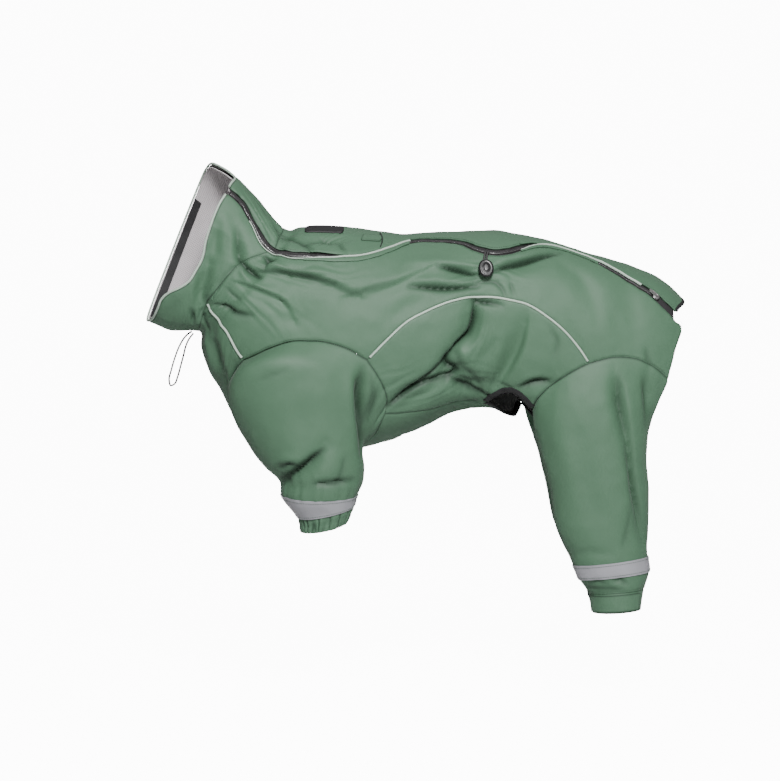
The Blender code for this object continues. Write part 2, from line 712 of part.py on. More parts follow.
def ring_points(ring, turns):
    """Points of a left ring at turns round it: 0 front, a quarter outside, a half back."""
    front = seen_at(ring.front_x * MM, ring.front_z * MM, -ring.offset * MM)
    back = seen_at(ring.back_x * MM, ring.back_z * MM, -ring.offset * MM)
    angle = turns * 2 * math.pi
    middle, half = (front + back) / 2, (back - front) / 2
    points = middle - np.cos(angle)[:, None] * half
    points[:, 1] -= np.sin(angle) * ring.half_width * MM
    points[:, 2] += np.sin(angle) * ring.roll * MM
    return points


def turns_of(ring, back_index):
    """The share of a turn of each point of a closed ring that starts at the front."""
    closed = np.concatenate([ring, ring[:1]])
    run = np.concatenate([[0.0], np.cumsum(np.linalg.norm(np.diff(closed, axis=0), axis=1))])
    back = run[back_index]
    outer = 0.5 * run[: back_index + 1] / back
    inner = 0.5 + 0.5 * (run[back_index + 1 : -1] - back) / (run[-1] - back)
    return np.concatenate([outer, inner])


def tube_rows(rings, row_counts):
    """Smooth rows from ring to ring, and the row at which each ring lies."""
    rings = np.array(rings)
    step = np.linalg.norm(np.diff(rings, axis=0), axis=2).mean(axis=1)
    knots = np.concatenate([[0.0], np.cumsum(step)])
    at, marks = [0.0], [0]
    for i, count in enumerate(row_counts):
        at.extend(np.linspace(knots[i], knots[i + 1], count + 1)[1:])
        marks.append(len(at) - 1)
    return spline(knots, rings, np.array(at)), marks


def grid_normals(rows):
    """Outward directions of a tube's points."""
    around = np.roll(rows, -1, axis=1) - np.roll(rows, 1, axis=1)
    down = np.gradient(rows, axis=0)
    normals = unit(np.cross(around, down))
    middle = rows.mean(axis=1, keepdims=True)
    facing = np.sum(normals * (rows - middle), axis=2).mean()
    return normals if facing > 0 else -normals


def tube_folds(rows, normals, folds):
    """How far a tube's folds push its outer side."""
    shown = in_view(rows.reshape(-1, 3))
    lines = [(np.array(f.points, float) * MM, f.depth * MM, f.reach * MM) for f in folds]
    depth = fold_depths(shown, lines).reshape(rows.shape[:2])
    outside = np.clip(-normals[:, :, 1] * 1.6, 0, 1)
    start = np.clip(np.arange(len(rows)) / 2.0, 0, 1)[:, None]
    return depth * outside * start


def tube_faces(rows, around):
    """Quads of a tube's skin."""
    faces = []
    for r in range(rows - 1):
        for i in range(around):
            j = (i + 1) % around
            faces.append((r * around + i, r * around + j, (r + 1) * around + j, (r + 1) * around + i))
    return faces


def add_tube(
    name, rows, normals, side, colour=SAGE, wall=WALL, lift=0.0, mitre=None, gaps=(True, True), **look
):
    """A tube's wall; side is 1 for the left and -1 for the right."""
    outer = rows + normals * lift
    inner = outer - normals * wall
    if mitre is not None:
        tilt = unit(normals[0] + mitre)
        stretch = 1 / np.clip(np.sum(tilt * normals[0], axis=1), 0.62, 1)
        down = unit(rows[1] - rows[0]) * SEAM_GAP / 2 * stretch[:, None]
        inner[0] = outer[0] - tilt * wall * stretch[:, None] + down
        outer[0] = outer[0] + down
    elif gaps[0]:
        down = unit(rows[1] - rows[0]) * SEAM_GAP / 2
        outer[0], inner[0] = outer[0] + down, inner[0] + down
    if gaps[1]:
        back = unit(rows[-2] - rows[-1]) * SEAM_GAP / 2
        outer[-1], inner[-1] = outer[-1] + back, inner[-1] + back
    flip = np.array((1.0, side, 1.0))
    faces = tube_faces(len(rows), rows.shape[1])
    return add_shell(name, outer.reshape(-1, 3) * flip, inner.reshape(-1, 3) * flip, faces, colour, **look)


def side_name(side):
    """The name of a side."""
    return "left" if side == 1 else "right"


class Limb:
    """A sleeve or leg: its rings from the seam on the trunk to the cuff."""

    def __init__(self, ring0, normals0, back_index, rings, row_counts, folds, side, lean):
        turns = turns_of(ring0, back_index)
        self.rows, self.marks = tube_rows([ring0] + [ring_points(r, turns) for r in rings], row_counts)
        if side == -1:
            share = np.linspace(0, 1, len(self.rows))[:, None]
            self.rows[:, :, 0] += lean[0] * share ** lean[1]
        self.normals = grid_normals(self.rows)
        self.seam_normals = normals0
        self.rows = self.rows + self.normals * tube_folds(self.rows, self.normals, folds)[:, :, None]

    def part(self, first, last):
        """Rows and outward directions from one ring to another."""
        cut = slice(self.marks[first], self.marks[last] + 1)
        return self.rows[cut], self.normals[cut]


def read_rows(places, source, values):
    """Values given at source, read at other places."""
    return np.stack([np.interp(places, source, values[:, k]) for k in range(3)], axis=1)


def gathered(rows, normals, waves, depth):
    """A finer ring grid with gathers that stand out between its ends."""
    around = 4 * waves
    turns = np.linspace(0, 1, around, endpoint=False)
    source = np.linspace(0, 1, rows.shape[1] + 1)
    closed = np.concatenate([rows, rows[:, :1]], axis=1)
    out = np.concatenate([normals, normals[:, :1]], axis=1)
    fine = np.stack([read_rows(turns, source, row) for row in closed])
    fine_out = unit(np.stack([read_rows(turns, source, row) for row in out]))
    wave = depth * np.cos(2 * math.pi * waves * turns)
    return fine + fine_out * wave[None, :, None], fine_out


# The garment


class Seams:
    """All seam lines of the trunk, left side first."""

    def __init__(self):
        self.front_piping = seam(FRONT_PIPING)
        self.arm_top = seam(ARM_TOP)
        self.arm_back = seam(ARM_BACK)
        self.side_piping = seam(SIDE_PIPING)
        self.belly = seam(BELLY_SEAM)
        self.opening_side = seam(OPENING_SIDE)
        self.leg_front = seam(LEG_FRONT_SEAM)
        self.leg_top = seam(LEG_TOP_SEAM)
        self.rear_edge = seam(REAR_EDGE)
        self.split_arm_under()
        self.make_zip()
        self.make_right_opening()

    def split_arm_under(self):
        """The armhole's inner half, in two stretches that meet at the chest and belly seam."""
        rows = [(u, math.radians(a)) for u, a in ARM_UNDER]
        front = [on_trunk(*p) for p in ARM_FRONT_LOW]
        points = np.array([self.arm_back[-1], *rows, *front, self.arm_top[0]])
        whole = evenly(points, count=90)
        cross = int(np.argmin(np.abs(whole[:30, 0] - ARM_UNDER[ARM_CROSS][0])))
        self.arm_under_belly = evenly(whole[: cross + 1])
        self.arm_under_chest = evenly(whole[cross:])

    def make_zip(self):
        """The zip's middle line and the neck seam, which cross, and the cloth edges beside the zip."""
        neck = np.array([(NECK, 0.0), *[on_trunk(*p) for p in NECK_SEAM], (NECK, math.pi)])
        neck = evenly(neck, count=240)
        fine = evenly(np.array([on_trunk(*p) for p in ZIP_LINE]), count=400)
        self.zip_fine = fine
        low, high = moved(fine, ZIP_HALF_GAP), moved(fine, -ZIP_HALF_GAP)
        low_cut, neck_low = crossing(low, neck)
        high_cut, neck_high = crossing(high, neck)
        low[low_cut], high[high_cut] = neck[neck_low], neck[neck_high]
        even = np.linspace(0, len(fine) - 1, ZIP_POINTS).round().astype(int)
        marks = [i for i in even if min(abs(i - low_cut), abs(i - high_cut)) > 4] + [low_cut, high_cut]
        marks = np.array(sorted(set(marks)))
        self.zip_whole = fine[marks]
        self.low_collar, self.low_body = low[marks[marks <= low_cut]], low[marks[marks >= low_cut]]
        self.high_collar, self.high_body = high[marks[marks <= high_cut]], high[marks[marks >= high_cut]]
        start = int(np.argmin(np.linalg.norm(lengths(neck) - lengths(self.front_piping[:1]), axis=1)))
        self.front_piping[0] = neck[start]
        self.neck_left = evenly(neck[neck_low : start + 1])
        front = evenly(neck[start:])
        self.neck_front = np.concatenate([front, mirrored(front[::-1])[1:] + (0.0, 2 * math.pi)])
        back = mirrored(evenly(neck[: start + 1]))[::-1]
        self.neck_right = np.concatenate([back[:-1], evenly(neck[: neck_high + 1])])
        self.rear_edge = np.concatenate([[self.low_body[-1]], self.rear_edge[1:]])

    def make_right_opening(self):
        """The right side's belly seam and opening edge, which hang lower than the left ones."""
        corner = (OPEN_FRONT_RIGHT[0], math.radians(OPEN_FRONT_RIGHT[1]))
        left = np.array([on_trunk(*p) for p in BELLY_SEAM[:-1]])
        self.belly_right = evenly(np.array([*mirrored(left), corner]))
        self.opening_right = evenly(np.array([corner, mirrored(on_trunk(*LEG_FRONT))]))
        rows = [(u, math.radians(a)) for u, a in OPEN_UNDER]
        end = (corner[0], corner[1] + 2 * math.pi)
        self.opening_front = evenly(np.array([self.belly[-1], *rows, end]))


def crossing(a, b):
    """The indices at which two fine lines come nearest."""
    away = np.linalg.norm(lengths(a)[:, None] - lengths(b)[None], axis=2)
    return np.unravel_index(np.argmin(away), away.shape)


def rim_line(seams):
    """The collar's rim from the zip's lower edge round to its upper edge."""
    left = [on_trunk(*p) for p in RIM_LEFT]
    right = [(u, math.radians(a)) for u, a in RIM_RIGHT]
    end = seams.high_collar[0] + (0.0, 2 * math.pi)
    return evenly(np.array([seams.low_collar[0], *left, *right, end]), step=SEAM_STEP)


def loop_partners(loop, *rings):
    """The outward directions of the tubes sewn to a loop, at the points that they share."""
    found = np.zeros((len(loop), 3))
    places = trunk(loop)
    for ring, normals in rings:
        for point, normal in zip(ring, normals):
            near = np.linalg.norm(places - point, axis=1) < 1e-6
            found[near] = normal
    return found


def add_trunk_panels(seams, tubes):
    """The panels between the neck seam and the tail."""
    full = 2 * math.pi
    left_side = joined(
        seams.low_body,
        seams.rear_edge,
        seams.leg_top[::-1],
        seams.side_piping[::-1],
        seams.arm_top[::-1],
        seams.front_piping[::-1],
        seams.neck_left[::-1],
    )
    rows = [(u, math.radians(a)) for u, a in FLAP_EDGE]
    flap = np.array([seams.high_body[-1], *rows, mirrored(seams.rear_edge[0])])
    back = joined(
        seams.high_body,
        evenly(flap),
        mirrored(seams.rear_edge),
        mirrored(seams.leg_top[::-1]),
        mirrored(seams.side_piping[::-1]),
        mirrored(seams.arm_top[::-1]),
        mirrored(seams.front_piping[::-1]),
        seams.neck_right,
    )
    turned = np.array((0.0, full))
    cross_left = seams.arm_under_belly[-1]
    cross = evenly(np.array([cross_left, (cross_left[0], math.pi), (cross_left[0], full - cross_left[1])]))
    chest = joined(
        seams.neck_front,
        mirrored(seams.front_piping) + turned,
        mirrored(seams.arm_under_chest[::-1]) + turned,
        cross[::-1],
        seams.arm_under_chest,
        seams.front_piping[::-1],
    )
    belly = joined(
        cross,
        mirrored(seams.arm_under_belly[::-1]) + turned,
        seams.belly_right + turned,
        seams.opening_front[::-1],
        seams.belly[::-1],
        seams.arm_under_belly,
    )
    lower_left = joined(
        seams.side_piping,
        seams.leg_front[::-1],
        seams.opening_side[::-1],
        seams.belly[::-1],
        seams.arm_back[::-1],
    )
    lower_right = joined(
        mirrored(seams.side_piping),
        mirrored(seams.leg_front[::-1]),
        seams.opening_right[::-1],
        seams.belly_right[::-1],
        mirrored(seams.arm_back[::-1]),
    )
    for name, loop in (
        ("side_panel_left", left_side),
        ("back_panel", back),
        ("chest_panel", chest),
        ("belly_panel", belly),
        ("lower_side_left", lower_left),
        ("lower_side_right", lower_right),
    ):
        add_panel(name, loop, partners=loop_partners(loop, *tubes))
    return flap


def add_collar(seams):
    """The collar's outer cloth, lining, facing and rim piping."""
    turned = np.array((0.0, 2 * math.pi))
    rim = rim_line(seams)
    outer = joined(
        seams.neck_left,
        seams.neck_front,
        seams.neck_right + turned,
        (seams.high_collar + turned)[::-1],
        rim[::-1],
        seams.low_collar,
    )
    add_panel("collar_outer", outer)
    inside = -(WALL + TAPE_ROOM + TRIM_WALL + LINING_ROOM)
    add_panel("collar_lining", outer, lift=inside, wall=LINING_WALL, colour=PALE_MESH, roughness=0.9)
    first, last = np.radians(FACING_SPAN)
    band = rim[(rim[:, 1] > first) & (rim[:, 1] < last)]
    slope, _ = trunk_slopes(band)
    reach = FACING_WIDTH / np.linalg.norm(slope, axis=1)
    rows = [band + np.stack([reach * share, 0 * reach], axis=1) for share in (0.04, 0.5, 1.0)]
    depth = inside - LINING_WALL - FACING_ROOM
    outer_face = np.concatenate([skin(row, depth)[0] for row in rows])
    inner_face = np.concatenate([skin(row, depth - TRIM_WALL)[0] for row in rows])
    add_shell("collar_facing", outer_face, inner_face, grid_faces(3, len(band)), DARK, roughness=0.6)
    add_rim_piping(rim)


def grid_faces(rows, columns):
    """Quads of a grid of points."""
    faces = []
    for r in range(rows - 1):
        for i in range(columns - 1):
            a = r * columns + i
            faces.append((a, a + 1, a + 1 + columns, a + columns))
    return faces


def add_rim_piping(rim):
    """A thin cord along the collar's rim, in front of the cloth's edge."""
    points, normals = skin(rim[1:-1])
    forward = unit(np.gradient(points, axis=0))
    ahead = unit(np.cross(forward, normals))
    along, _ = trunk_slopes(rim[1:-1])
    if np.sum(ahead * along) > 0:
        ahead = -ahead
    radius = PIPING_WIDTH / 2
    centre = points + ahead * (radius + SEAM_GAP) - normals * WALL / 2
    turns = np.linspace(0, 2 * math.pi, 6, endpoint=False)
    profile = [(radius * math.cos(a), radius * math.sin(a)) for a in turns]
    add_profile("collar_rim_piping", centre, ahead, normals, profile, PALE_PIPING, roughness=0.5)


def bound_edge(points, into, normals, name, gap=BINDING_ROOM):
    """An elastic binding folded over an edge; into points from the edge into the cloth."""
    thick = 1.0 * MM
    wide, low = BINDING_WIDTH, -WALL - gap
    profile = [
        (wide, gap + thick), (-gap - thick, gap + thick), (-gap - thick, low - thick), (wide, low - thick),
        (wide, low), (-gap, low), (-gap, gap), (wide, gap),
    ]
    return add_profile(name, points, into, normals, profile, DARK, roughness=0.6)


def trunk_binding(name, line, towards, gap=BINDING_ROOM):
    """A binding on an edge of the trunk; towards is a station and angle inside the cloth."""
    line = trim_ends(line, 6 * MM)
    points, sides, normals = line_frames(line)
    target = trunk(np.array([towards]))[0]
    facing = np.sum(sides * (target - points))
    into = sides if facing > 0 else -sides
    return bound_edge(points, into, normals, name, gap)


def seam_ring(line, side):
    """A left seam's points on the cloth of one side, given as on the left."""
    points, _ = skin(line if side == 1 else mirrored(line))
    return points * (1.0, side, 1.0)


def make_sleeve(seams, side):
    """A front sleeve's limb, as on the left side, and its armhole ring."""
    ring_line = joined(seams.arm_top, seams.arm_back, seams.arm_under_belly, seams.arm_under_chest)
    ring = seam_ring(ring_line, side)
    normals = trunk_normals(ring_line)
    front = int(np.argmin(ring[:, 0]))
    ring, normals = np.roll(ring, -front, axis=0), np.roll(normals, -front, axis=0)
    back = int(np.argmax(ring[:, 0]))
    lean = (RIGHT_SLEEVE_LEAN, RIGHT_SLEEVE_EASE)
    limb = Limb(ring, normals, back, SLEEVE_RINGS, SLEEVE_ROWS, SLEEVE_FOLDS, side, lean)
    return limb, trunk(np.roll(ring_line, -front, axis=0))


def make_leg(seams, side):
    """A rear leg's limb, as on the left side, its seam and the number of points sewn to the trunk."""
    sewn_line = np.concatenate([seams.leg_front[:-1], seams.leg_top])
    sewn = seam_ring(sewn_line, side)
    sewn_normals = trunk_normals(sewn_line)
    inner = np.array([sewn[-1], *[np.array(p) * MM for p in LEG_INNER_EDGE], sewn[0]])
    chord = np.concatenate([[0.0], np.cumsum(np.linalg.norm(np.diff(inner, axis=0), axis=1))])
    edge = spline(chord, inner, np.linspace(0, chord[-1], 13))[1:-1]
    ring = np.concatenate([sewn, edge])
    normals = np.concatenate([sewn_normals, np.zeros((len(edge), 3))])
    lean = (RIGHT_LEG_LEAN, RIGHT_LEG_EASE)
    limb = Limb(ring, normals, len(sewn) - 1, LEG_RINGS, LEG_ROWS, LEG_FOLDS, side, lean)
    return limb, trunk(sewn_line), len(sewn)


def add_limbs(sleeves, legs, leg_sewn):
    """Sleeves and legs with their tapes, cuffs and tabs, on both sides."""
    tape_look = (REFLECTIVE, TRIM_WALL, LAYER_GAP + TRIM_WALL)
    for side, sleeve, leg in zip((1, -1), sleeves, legs):
        name = side_name(side)
        rows, normals = sleeve.part(0, SLEEVE_TAPE[1])
        add_tube(f"sleeve_{name}", rows, normals, side, mitre=sleeve.seam_normals, roughness=0.62)
        rows, normals = sleeve.part(*SLEEVE_TAPE)
        add_tube(f"sleeve_tape_{name}", rows, normals, side, *tape_look, roughness=0.4)
        rows, normals = sleeve.part(SLEEVE_TAPE[1], len(SLEEVE_RINGS))
        rows, normals = gathered(rows, normals, CUFF_GATHERS, CUFF_GATHER_DEPTH)
        add_tube(f"sleeve_cuff_{name}", rows, normals, side, wall=1.8 * MM, gaps=(True, False))
        rows, normals = leg.part(0, LEG_TAPE[1] + 1)
        mitre = np.where(np.arange(rows.shape[1])[:, None] < leg_sewn, leg.seam_normals, normals[0])
        add_tube(f"leg_{name}", rows, normals, side, mitre=mitre, roughness=0.62)
        rows, normals = leg.part(*LEG_TAPE)
        add_tube(f"leg_tape_{name}", rows, normals, side, *tape_look, roughness=0.4)
        rows, normals = leg.part(len(LEG_RINGS) - 1, len(LEG_RINGS))
        add_tube(f"leg_cuff_{name}", rows, normals, side, wall=2.0 * MM, gaps=(True, False))
        add_leg_tab(rows, normals, side, f"leg_tab_{name}")
        add_leg_binding(leg, leg_sewn, side, f"leg_binding_{name}")


def add_leg_tab(rows, normals, side, name):
    """The hook-and-loop tab that closes a leg's cuff, on its outer side."""
    around = rows.shape[1]
    first, last = 1, int(np.argmin(np.abs(np.linspace(0, 1, around, endpoint=False) - 0.42)))
    inset = 0.1
    strip = [(1 - t) * rows[0] + t * rows[-1] for t in (inset, 0.5, 1 - inset)]
    out = [(1 - t) * normals[0] + t * normals[-1] for t in (inset, 0.5, 1 - inset)]
    columns = range(first, last + 1)
    flip = np.array((1.0, side, 1.0))
    lift = 1.1 * MM
    outer = np.array([[s[c] + unit(n[c]) * (lift + 1.6 * MM) for c in columns] for s, n in zip(strip, out)])
    inner = np.array([[s[c] + unit(n[c]) * lift for c in columns] for s, n in zip(strip, out)])
    faces = grid_faces(3, len(columns))
    add_shell(name, outer.reshape(-1, 3) * flip, inner.reshape(-1, 3) * flip, faces, SAGE, roughness=0.75)


def add_leg_binding(leg, sewn, side, name):
    """The elastic binding on a leg's inner edge, between the ends of its seam."""
    points = leg.rows[0][sewn - 1 :]
    points = np.concatenate([points, leg.rows[0][:1]])
    down = unit(leg.rows[1] - leg.rows[0])
    into = np.concatenate([down[sewn - 1 :], down[:1]])
    normals = np.concatenate([leg.normals[0][sewn - 1 :], leg.normals[0][:1]])
    flip = np.array((1.0, side, 1.0))
    keep = slice(1, len(points) - 1)
    bound_edge(points[keep] * flip, into[keep] * flip, normals[keep] * flip, name)


def add_zip(seams):
    """Zip tape, coil, slider and pull tab, and the lips of cloth over the zip with their piping."""
    under = -(WALL + TAPE_ROOM + TRIM_WALL)
    tape = trim_ends(stretch(seams.zip_whole, ZIP_END), 2 * MM)
    add_ribbon("zip_tape", tape, -ZIP_TAPE_HALF, ZIP_TAPE_HALF, under, TRIM_WALL, DARK, columns=3)
    place, forward, side, out = zip_frame(seams, SLIDER_AT)
    coil = trim_ends(stretch(seams.zip_whole, SLIDER_AT - SLIDER_LENGTH / MM / 2 - 1.2), 3 * MM)
    half = ZIP_COIL_WIDTH / 2
    lift = under + TRIM_WALL + LAYER_GAP
    add_ribbon("zip_coil", coil, -half, half, lift, ZIP_COIL_HEIGHT, DARK, columns=1, roughness=0.45)
    for welt in WELTS:
        line = between(seams.zip_fine, welt.start, welt.end)
        low, high = welt.low * MM, welt.high * MM
        add_ribbon(welt.name, line, low, high, 1.0 * MM, 0.9 * MM, SAGE, columns=2, roughness=0.62)
    for name, welt in (("front", WELTS[0]), ("rear", WELTS[2])):
        line = between(seams.zip_fine, welt.start, welt.end)
        add_piping(f"welt_piping_{name}", moved(line, WELT_PIPING_SIDE), lift=0.8 * MM)
    add_slider(place, forward, side, out, lift)


def zip_frame(seams, x):
    """The cloth's point on the zip's line at x of the side view, and the directions there."""
    line = seams.zip_fine
    shown = in_view(trunk(line))[:, 0] / MM
    i = int(np.argmin(np.abs(shown - x)))
    points, normals = skin(line[i - 3 : i + 4])
    forward = unit(points[-1] - points[0])
    out = unit(normals[3] - forward * (normals[3] @ forward))
    return points[3], forward, np.cross(out, forward), out


def add_block(name, place, axes, spans, colour, cuts=(), **look):
    """A block in the frame of axes; spans are its ends along each, cuts a list of (x, z) corners instead."""
    low, high = spans[1]
    if cuts:
        outline = list(cuts)
    else:
        (a, b), (c, d) = spans[0], spans[2]
        outline = [(a, c), (b, c), (b, d), (a, d)]
    along, across, up = axes
    points = [place + along * x + across * y + up * z for y in (low, high) for x, z in outline]
    count = len(outline)
    faces = [tuple(range(count)), tuple(range(2 * count - 1, count - 1, -1))]
    for i in range(count):
        j = (i + 1) % count
        faces.append((i, i + count, j + count, j))
    return add_object(name, points, faces, colour, **look)


def add_slider(place, forward, side, out, base):
    """The zip's slider, with a bridge that carries the pull tab, and the tab lying towards the head."""
    axes = (forward, side, out)
    half, wide = SLIDER_LENGTH / 2, SLIDER_WIDTH / 2
    top = base + 4.0 * MM
    body = [
        (-half, base), (half, base), (half, top - 1.6 * MM), (0.55 * half, top - 0.2 * MM),
        (-0.55 * half, top - 0.2 * MM), (-half, top - 1.6 * MM),
    ]
    spans = (None, (-wide, wide), None)
    add_block("zip_slider", place, axes, spans, METAL, cuts=body, roughness=0.35, metallic=0.6)
    low = top + 0.1 * MM
    knuckle = 0.6 * MM
    tab = [
        (-PULL_TAB_LENGTH, low), (knuckle, low), (knuckle, low + 0.7 * MM), (0.4 * knuckle, low + 1.3 * MM),
        (-0.8 * knuckle, low + 1.3 * MM), (-1.6 * knuckle, low + 1.1 * MM),
        (-PULL_TAB_LENGTH, low + 1.1 * MM),
    ]
    spans = (None, (-PULL_TAB_WIDTH / 2, PULL_TAB_WIDTH / 2), None)
    add_block("pull_tab", place, axes, spans, METAL, cuts=tab, roughness=0.3, metallic=0.7)


def add_patch(name, ends, width, colour, lift, thick):
    """A flat patch on the cloth along a short line."""
    line = evenly(np.array([on_trunk(*ends[0]), on_trunk(*ends[1])]), count=5)
    return add_ribbon(name, line, -width / 2, width / 2, lift, thick, colour, columns=3, roughness=0.5)


def add_toggle():
    """The waist cord's oval stopper and the two short cords that run into it."""
    spot = on_trunk(*TOGGLE_AT)
    points, normals = skin(np.array([spot]))
    out = normals[0]
    wide, deep, tall = TOGGLE_SIZE
    up = unit(np.array((0.0, 0.0, 1.0)) - out * out[2])
    across = np.cross(up, out)
    centre = points[0] + out * (deep / 2 + 2.0 * MM)
    rings, segments = 7, 14
    body = [centre + up * tall / 2]
    for r in range(1, rings):
        polar = math.pi * r / rings
        for s in range(segments):
            turn = 2 * math.pi * s / segments
            flat = np.sign(math.sin(turn)) * abs(math.sin(turn)) ** 0.7
            body.append(
                centre
                + up * tall / 2 * math.cos(polar)
                + across * wide / 2 * math.sin(polar) ** 0.8 * math.cos(turn)
                + out * deep / 2 * math.sin(polar) ** 0.6 * flat
            )
    body.append(centre - up * tall / 2)
    faces = [(0, 1 + s, 1 + (s + 1) % segments) for s in range(segments)]
    for r in range(rings - 2):
        for s in range(segments):
            a, b = 1 + r * segments + s, 1 + r * segments + (s + 1) % segments
            faces.append((a, a + segments, b + segments, b))
    base = 1 + (rings - 2) * segments
    faces += [(base + (s + 1) % segments, base + s, len(body) - 1) for s in range(segments)]
    add_object("waist_toggle", body, faces, DARK, roughness=0.35)
    for name, place in (("front", -CORD_SPREAD), ("rear", CORD_SPREAD)):
        top = centre + up * (tall / 2 + 0.1 * MM) + across * place
        holes, outs = skin(np.array([on_trunk(CORD_EYELET[0] + place / MM, CORD_EYELET[1])]))
        route = [holes[0] + outs[0] * 0.4 * MM, holes[0] + outs[0] * 4 * MM, top + up * 3 * MM, top]
        add_cord(f"waist_cord_{name}", route, CORD_WIDTH, steps=7)


def add_cord(name, route, width, steps=None):
    """A round cord through the points of a route."""
    route = np.array(route)
    chord = np.concatenate([[0.0], np.cumsum(np.linalg.norm(np.diff(route, axis=0), axis=1))])
    count = steps or max(4, int(chord[-1] / (2.5 * width)) + 1)
    points = spline(chord, route, np.linspace(0, chord[-1], count))
    curve = bpy.data.curves.new(name, "CURVE")
    curve.dimensions = "3D"
    curve.bevel_depth = width / 2
    curve.bevel_resolution = 2
    curve.use_fill_caps = True
    line = curve.splines.new("POLY")
    line.points.add(len(points) - 1)
    for spot, point in zip(line.points, points):
        spot.co = (*point, 1.0)
    curve.materials.append(finish(name, DARK, 0.7))
    obj = bpy.data.objects.new(name, curve)
    bpy.context.scene.collection.objects.link(obj)
    return obj


def main():
    """Builds the garment."""
    for obj in list(bpy.data.objects):
        bpy.data.objects.remove(obj)
    FOLD_LINES.extend(trunk_fold_lines())
    seams = Seams()
    limbs = [make_sleeve(seams, side) for side in (1, -1)]
    legs = [make_leg(seams, side) for side in (1, -1)]
    sewn = legs[0][2]
    flip = np.array((1.0, -1.0, 1.0))
    tubes = [
        (limbs[0][1], limbs[0][0].normals[0]),
        (limbs[1][1] * flip, limbs[1][0].normals[0] * flip),
        (legs[0][1], legs[0][0].normals[0][:sewn]),
        (legs[1][1] * flip, legs[1][0].normals[0][:sewn] * flip),
    ]
    flap = add_trunk_panels(seams, tubes)
    add_collar(seams)
    add_limbs([limb[0] for limb in limbs], [leg[0] for leg in legs], sewn)
    for side, name in ((1, "left"), (-1, "right")):
        flip_line = seams.front_piping if side == 1 else mirrored(seams.front_piping)
        add_piping(f"front_piping_{name}", flip_line)
        flip_line = seams.side_piping if side == 1 else mirrored(seams.side_piping)
        add_piping(f"side_piping_{name}", flip_line)
    add_zip(seams)
    trunk_binding("opening_binding_left", seams.opening_side, (13.0, math.radians(110)))
    trunk_binding("opening_binding_right", seams.opening_right, (14.0, -math.radians(110)), 0.8 * MM)
    trunk_binding("opening_binding_front", seams.opening_front, (12.0, math.pi))
    trunk_binding("flap_binding", evenly(flap), (20.0, 0.0))
    add_patch("label_patch", LABEL[:2], LABEL[2], DARK, 0.6 * MM, 1.0 * MM)
    add_patch("lead_patch", LEAD_PATCH[:2], LEAD_PATCH[2], SAGE, 0.6 * MM, 1.0 * MM)
    add_toggle()
    offsets = np.linspace(*CORD_OFFSETS, len(CORD_LOOP))
    loop = [seen_at(x * MM, z * MM, y) for (x, z), y in zip(CORD_LOOP, offsets)]
    add_cord("neck_cord", loop, CORD_WIDTH, steps=34)


main()
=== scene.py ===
"""Dog jumpsuit: the looks of a hollow four-legged overall of shell cloth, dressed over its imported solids.

Metres, +Z up. The head is towards -X, the left side is -Y and the origin is at the withers, inside the back.
The trunk and the collar lie on one surface of ellipses; a point of it has a station and an angle round the
body, 0 at the spine and positive down the left side. Places named in a side view are millimetres (x, z).
"""

import logging
import math
from collections.abc import Callable, Sequence
from dataclasses import dataclass, field
from enum import Enum
from typing import ClassVar

import bpy
import numpy as np
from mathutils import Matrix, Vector, kdtree, noise
from mathutils.geometry import delaunay_2d_cdt


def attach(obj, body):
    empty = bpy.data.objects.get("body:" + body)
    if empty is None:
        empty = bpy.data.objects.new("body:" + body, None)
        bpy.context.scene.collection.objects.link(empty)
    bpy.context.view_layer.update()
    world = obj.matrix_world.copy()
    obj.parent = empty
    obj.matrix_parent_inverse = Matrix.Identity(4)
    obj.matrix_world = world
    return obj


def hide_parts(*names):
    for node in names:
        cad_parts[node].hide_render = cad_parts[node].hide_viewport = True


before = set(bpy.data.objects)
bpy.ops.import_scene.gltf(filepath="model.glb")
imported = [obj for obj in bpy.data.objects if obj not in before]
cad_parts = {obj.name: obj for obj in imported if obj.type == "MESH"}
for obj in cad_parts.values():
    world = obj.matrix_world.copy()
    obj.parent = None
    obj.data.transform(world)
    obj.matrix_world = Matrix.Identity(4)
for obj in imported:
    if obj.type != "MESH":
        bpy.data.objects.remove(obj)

MM = 0.001
Points = np.ndarray
Pair = tuple[float, float]
Colour = tuple[float, float, float]
Object = bpy.types.Object
Material = bpy.types.Material
Node = bpy.types.Node
NodeTree = bpy.types.NodeTree
Socket = bpy.types.NodeSocket
LOG = logging.getLogger("dog_jumpsuit")

WALL = 1.6 * MM  # shell cloth with its lining
TRIM_WALL = 0.8 * MM
LAYER_GAP = 0.5 * MM
TAPE_ROOM = 1.3 * MM
LINING_ROOM = 1.0 * MM
LINING_WALL = 1.0 * MM
CELL = 2.3 * MM  # a panel's mesh cells
STEP = 3.0 * MM  # between a seam's points
LIMB_STEP = 2.8 * MM  # between a limb's rows
SEAM_DIP = 0.9 * MM  # how far cloth turns in at a seam
DIP_REACH = 1.7 * MM
SEAM_FADE = 3 * MM  # how far from a seam its worn cloth and its painted shade line reach
RIM_UV = 1.5 * MM  # the width of a cut edge on the texture
RIM_ROWS = (1.3 * MM, 3.0 * MM)  # rows of mesh points beside a panel's edge
CRUMPLE_SIZES = (46 * MM, 34 * MM, 15 * MM)  # of soft rises, sharp bends and small rises
FOLD_MARGIN = 3.2  # a fold ends at this many reaches from its line
DARK_CREASE = 5.0 * MM  # a crease at least this deep gets the darkest painted shade
STATION_NUDGE = 0.01  # small steps that measure how the trunk's surface runs
ANGLE_NUDGE = 0.005
LINING_CELL = 4 * MM
ZIP_FRONT = -400  # in the side view, before the zip's first place
NOISE_TURN = 6.283  # one turn, rounded, for noise round a ring


# The side view


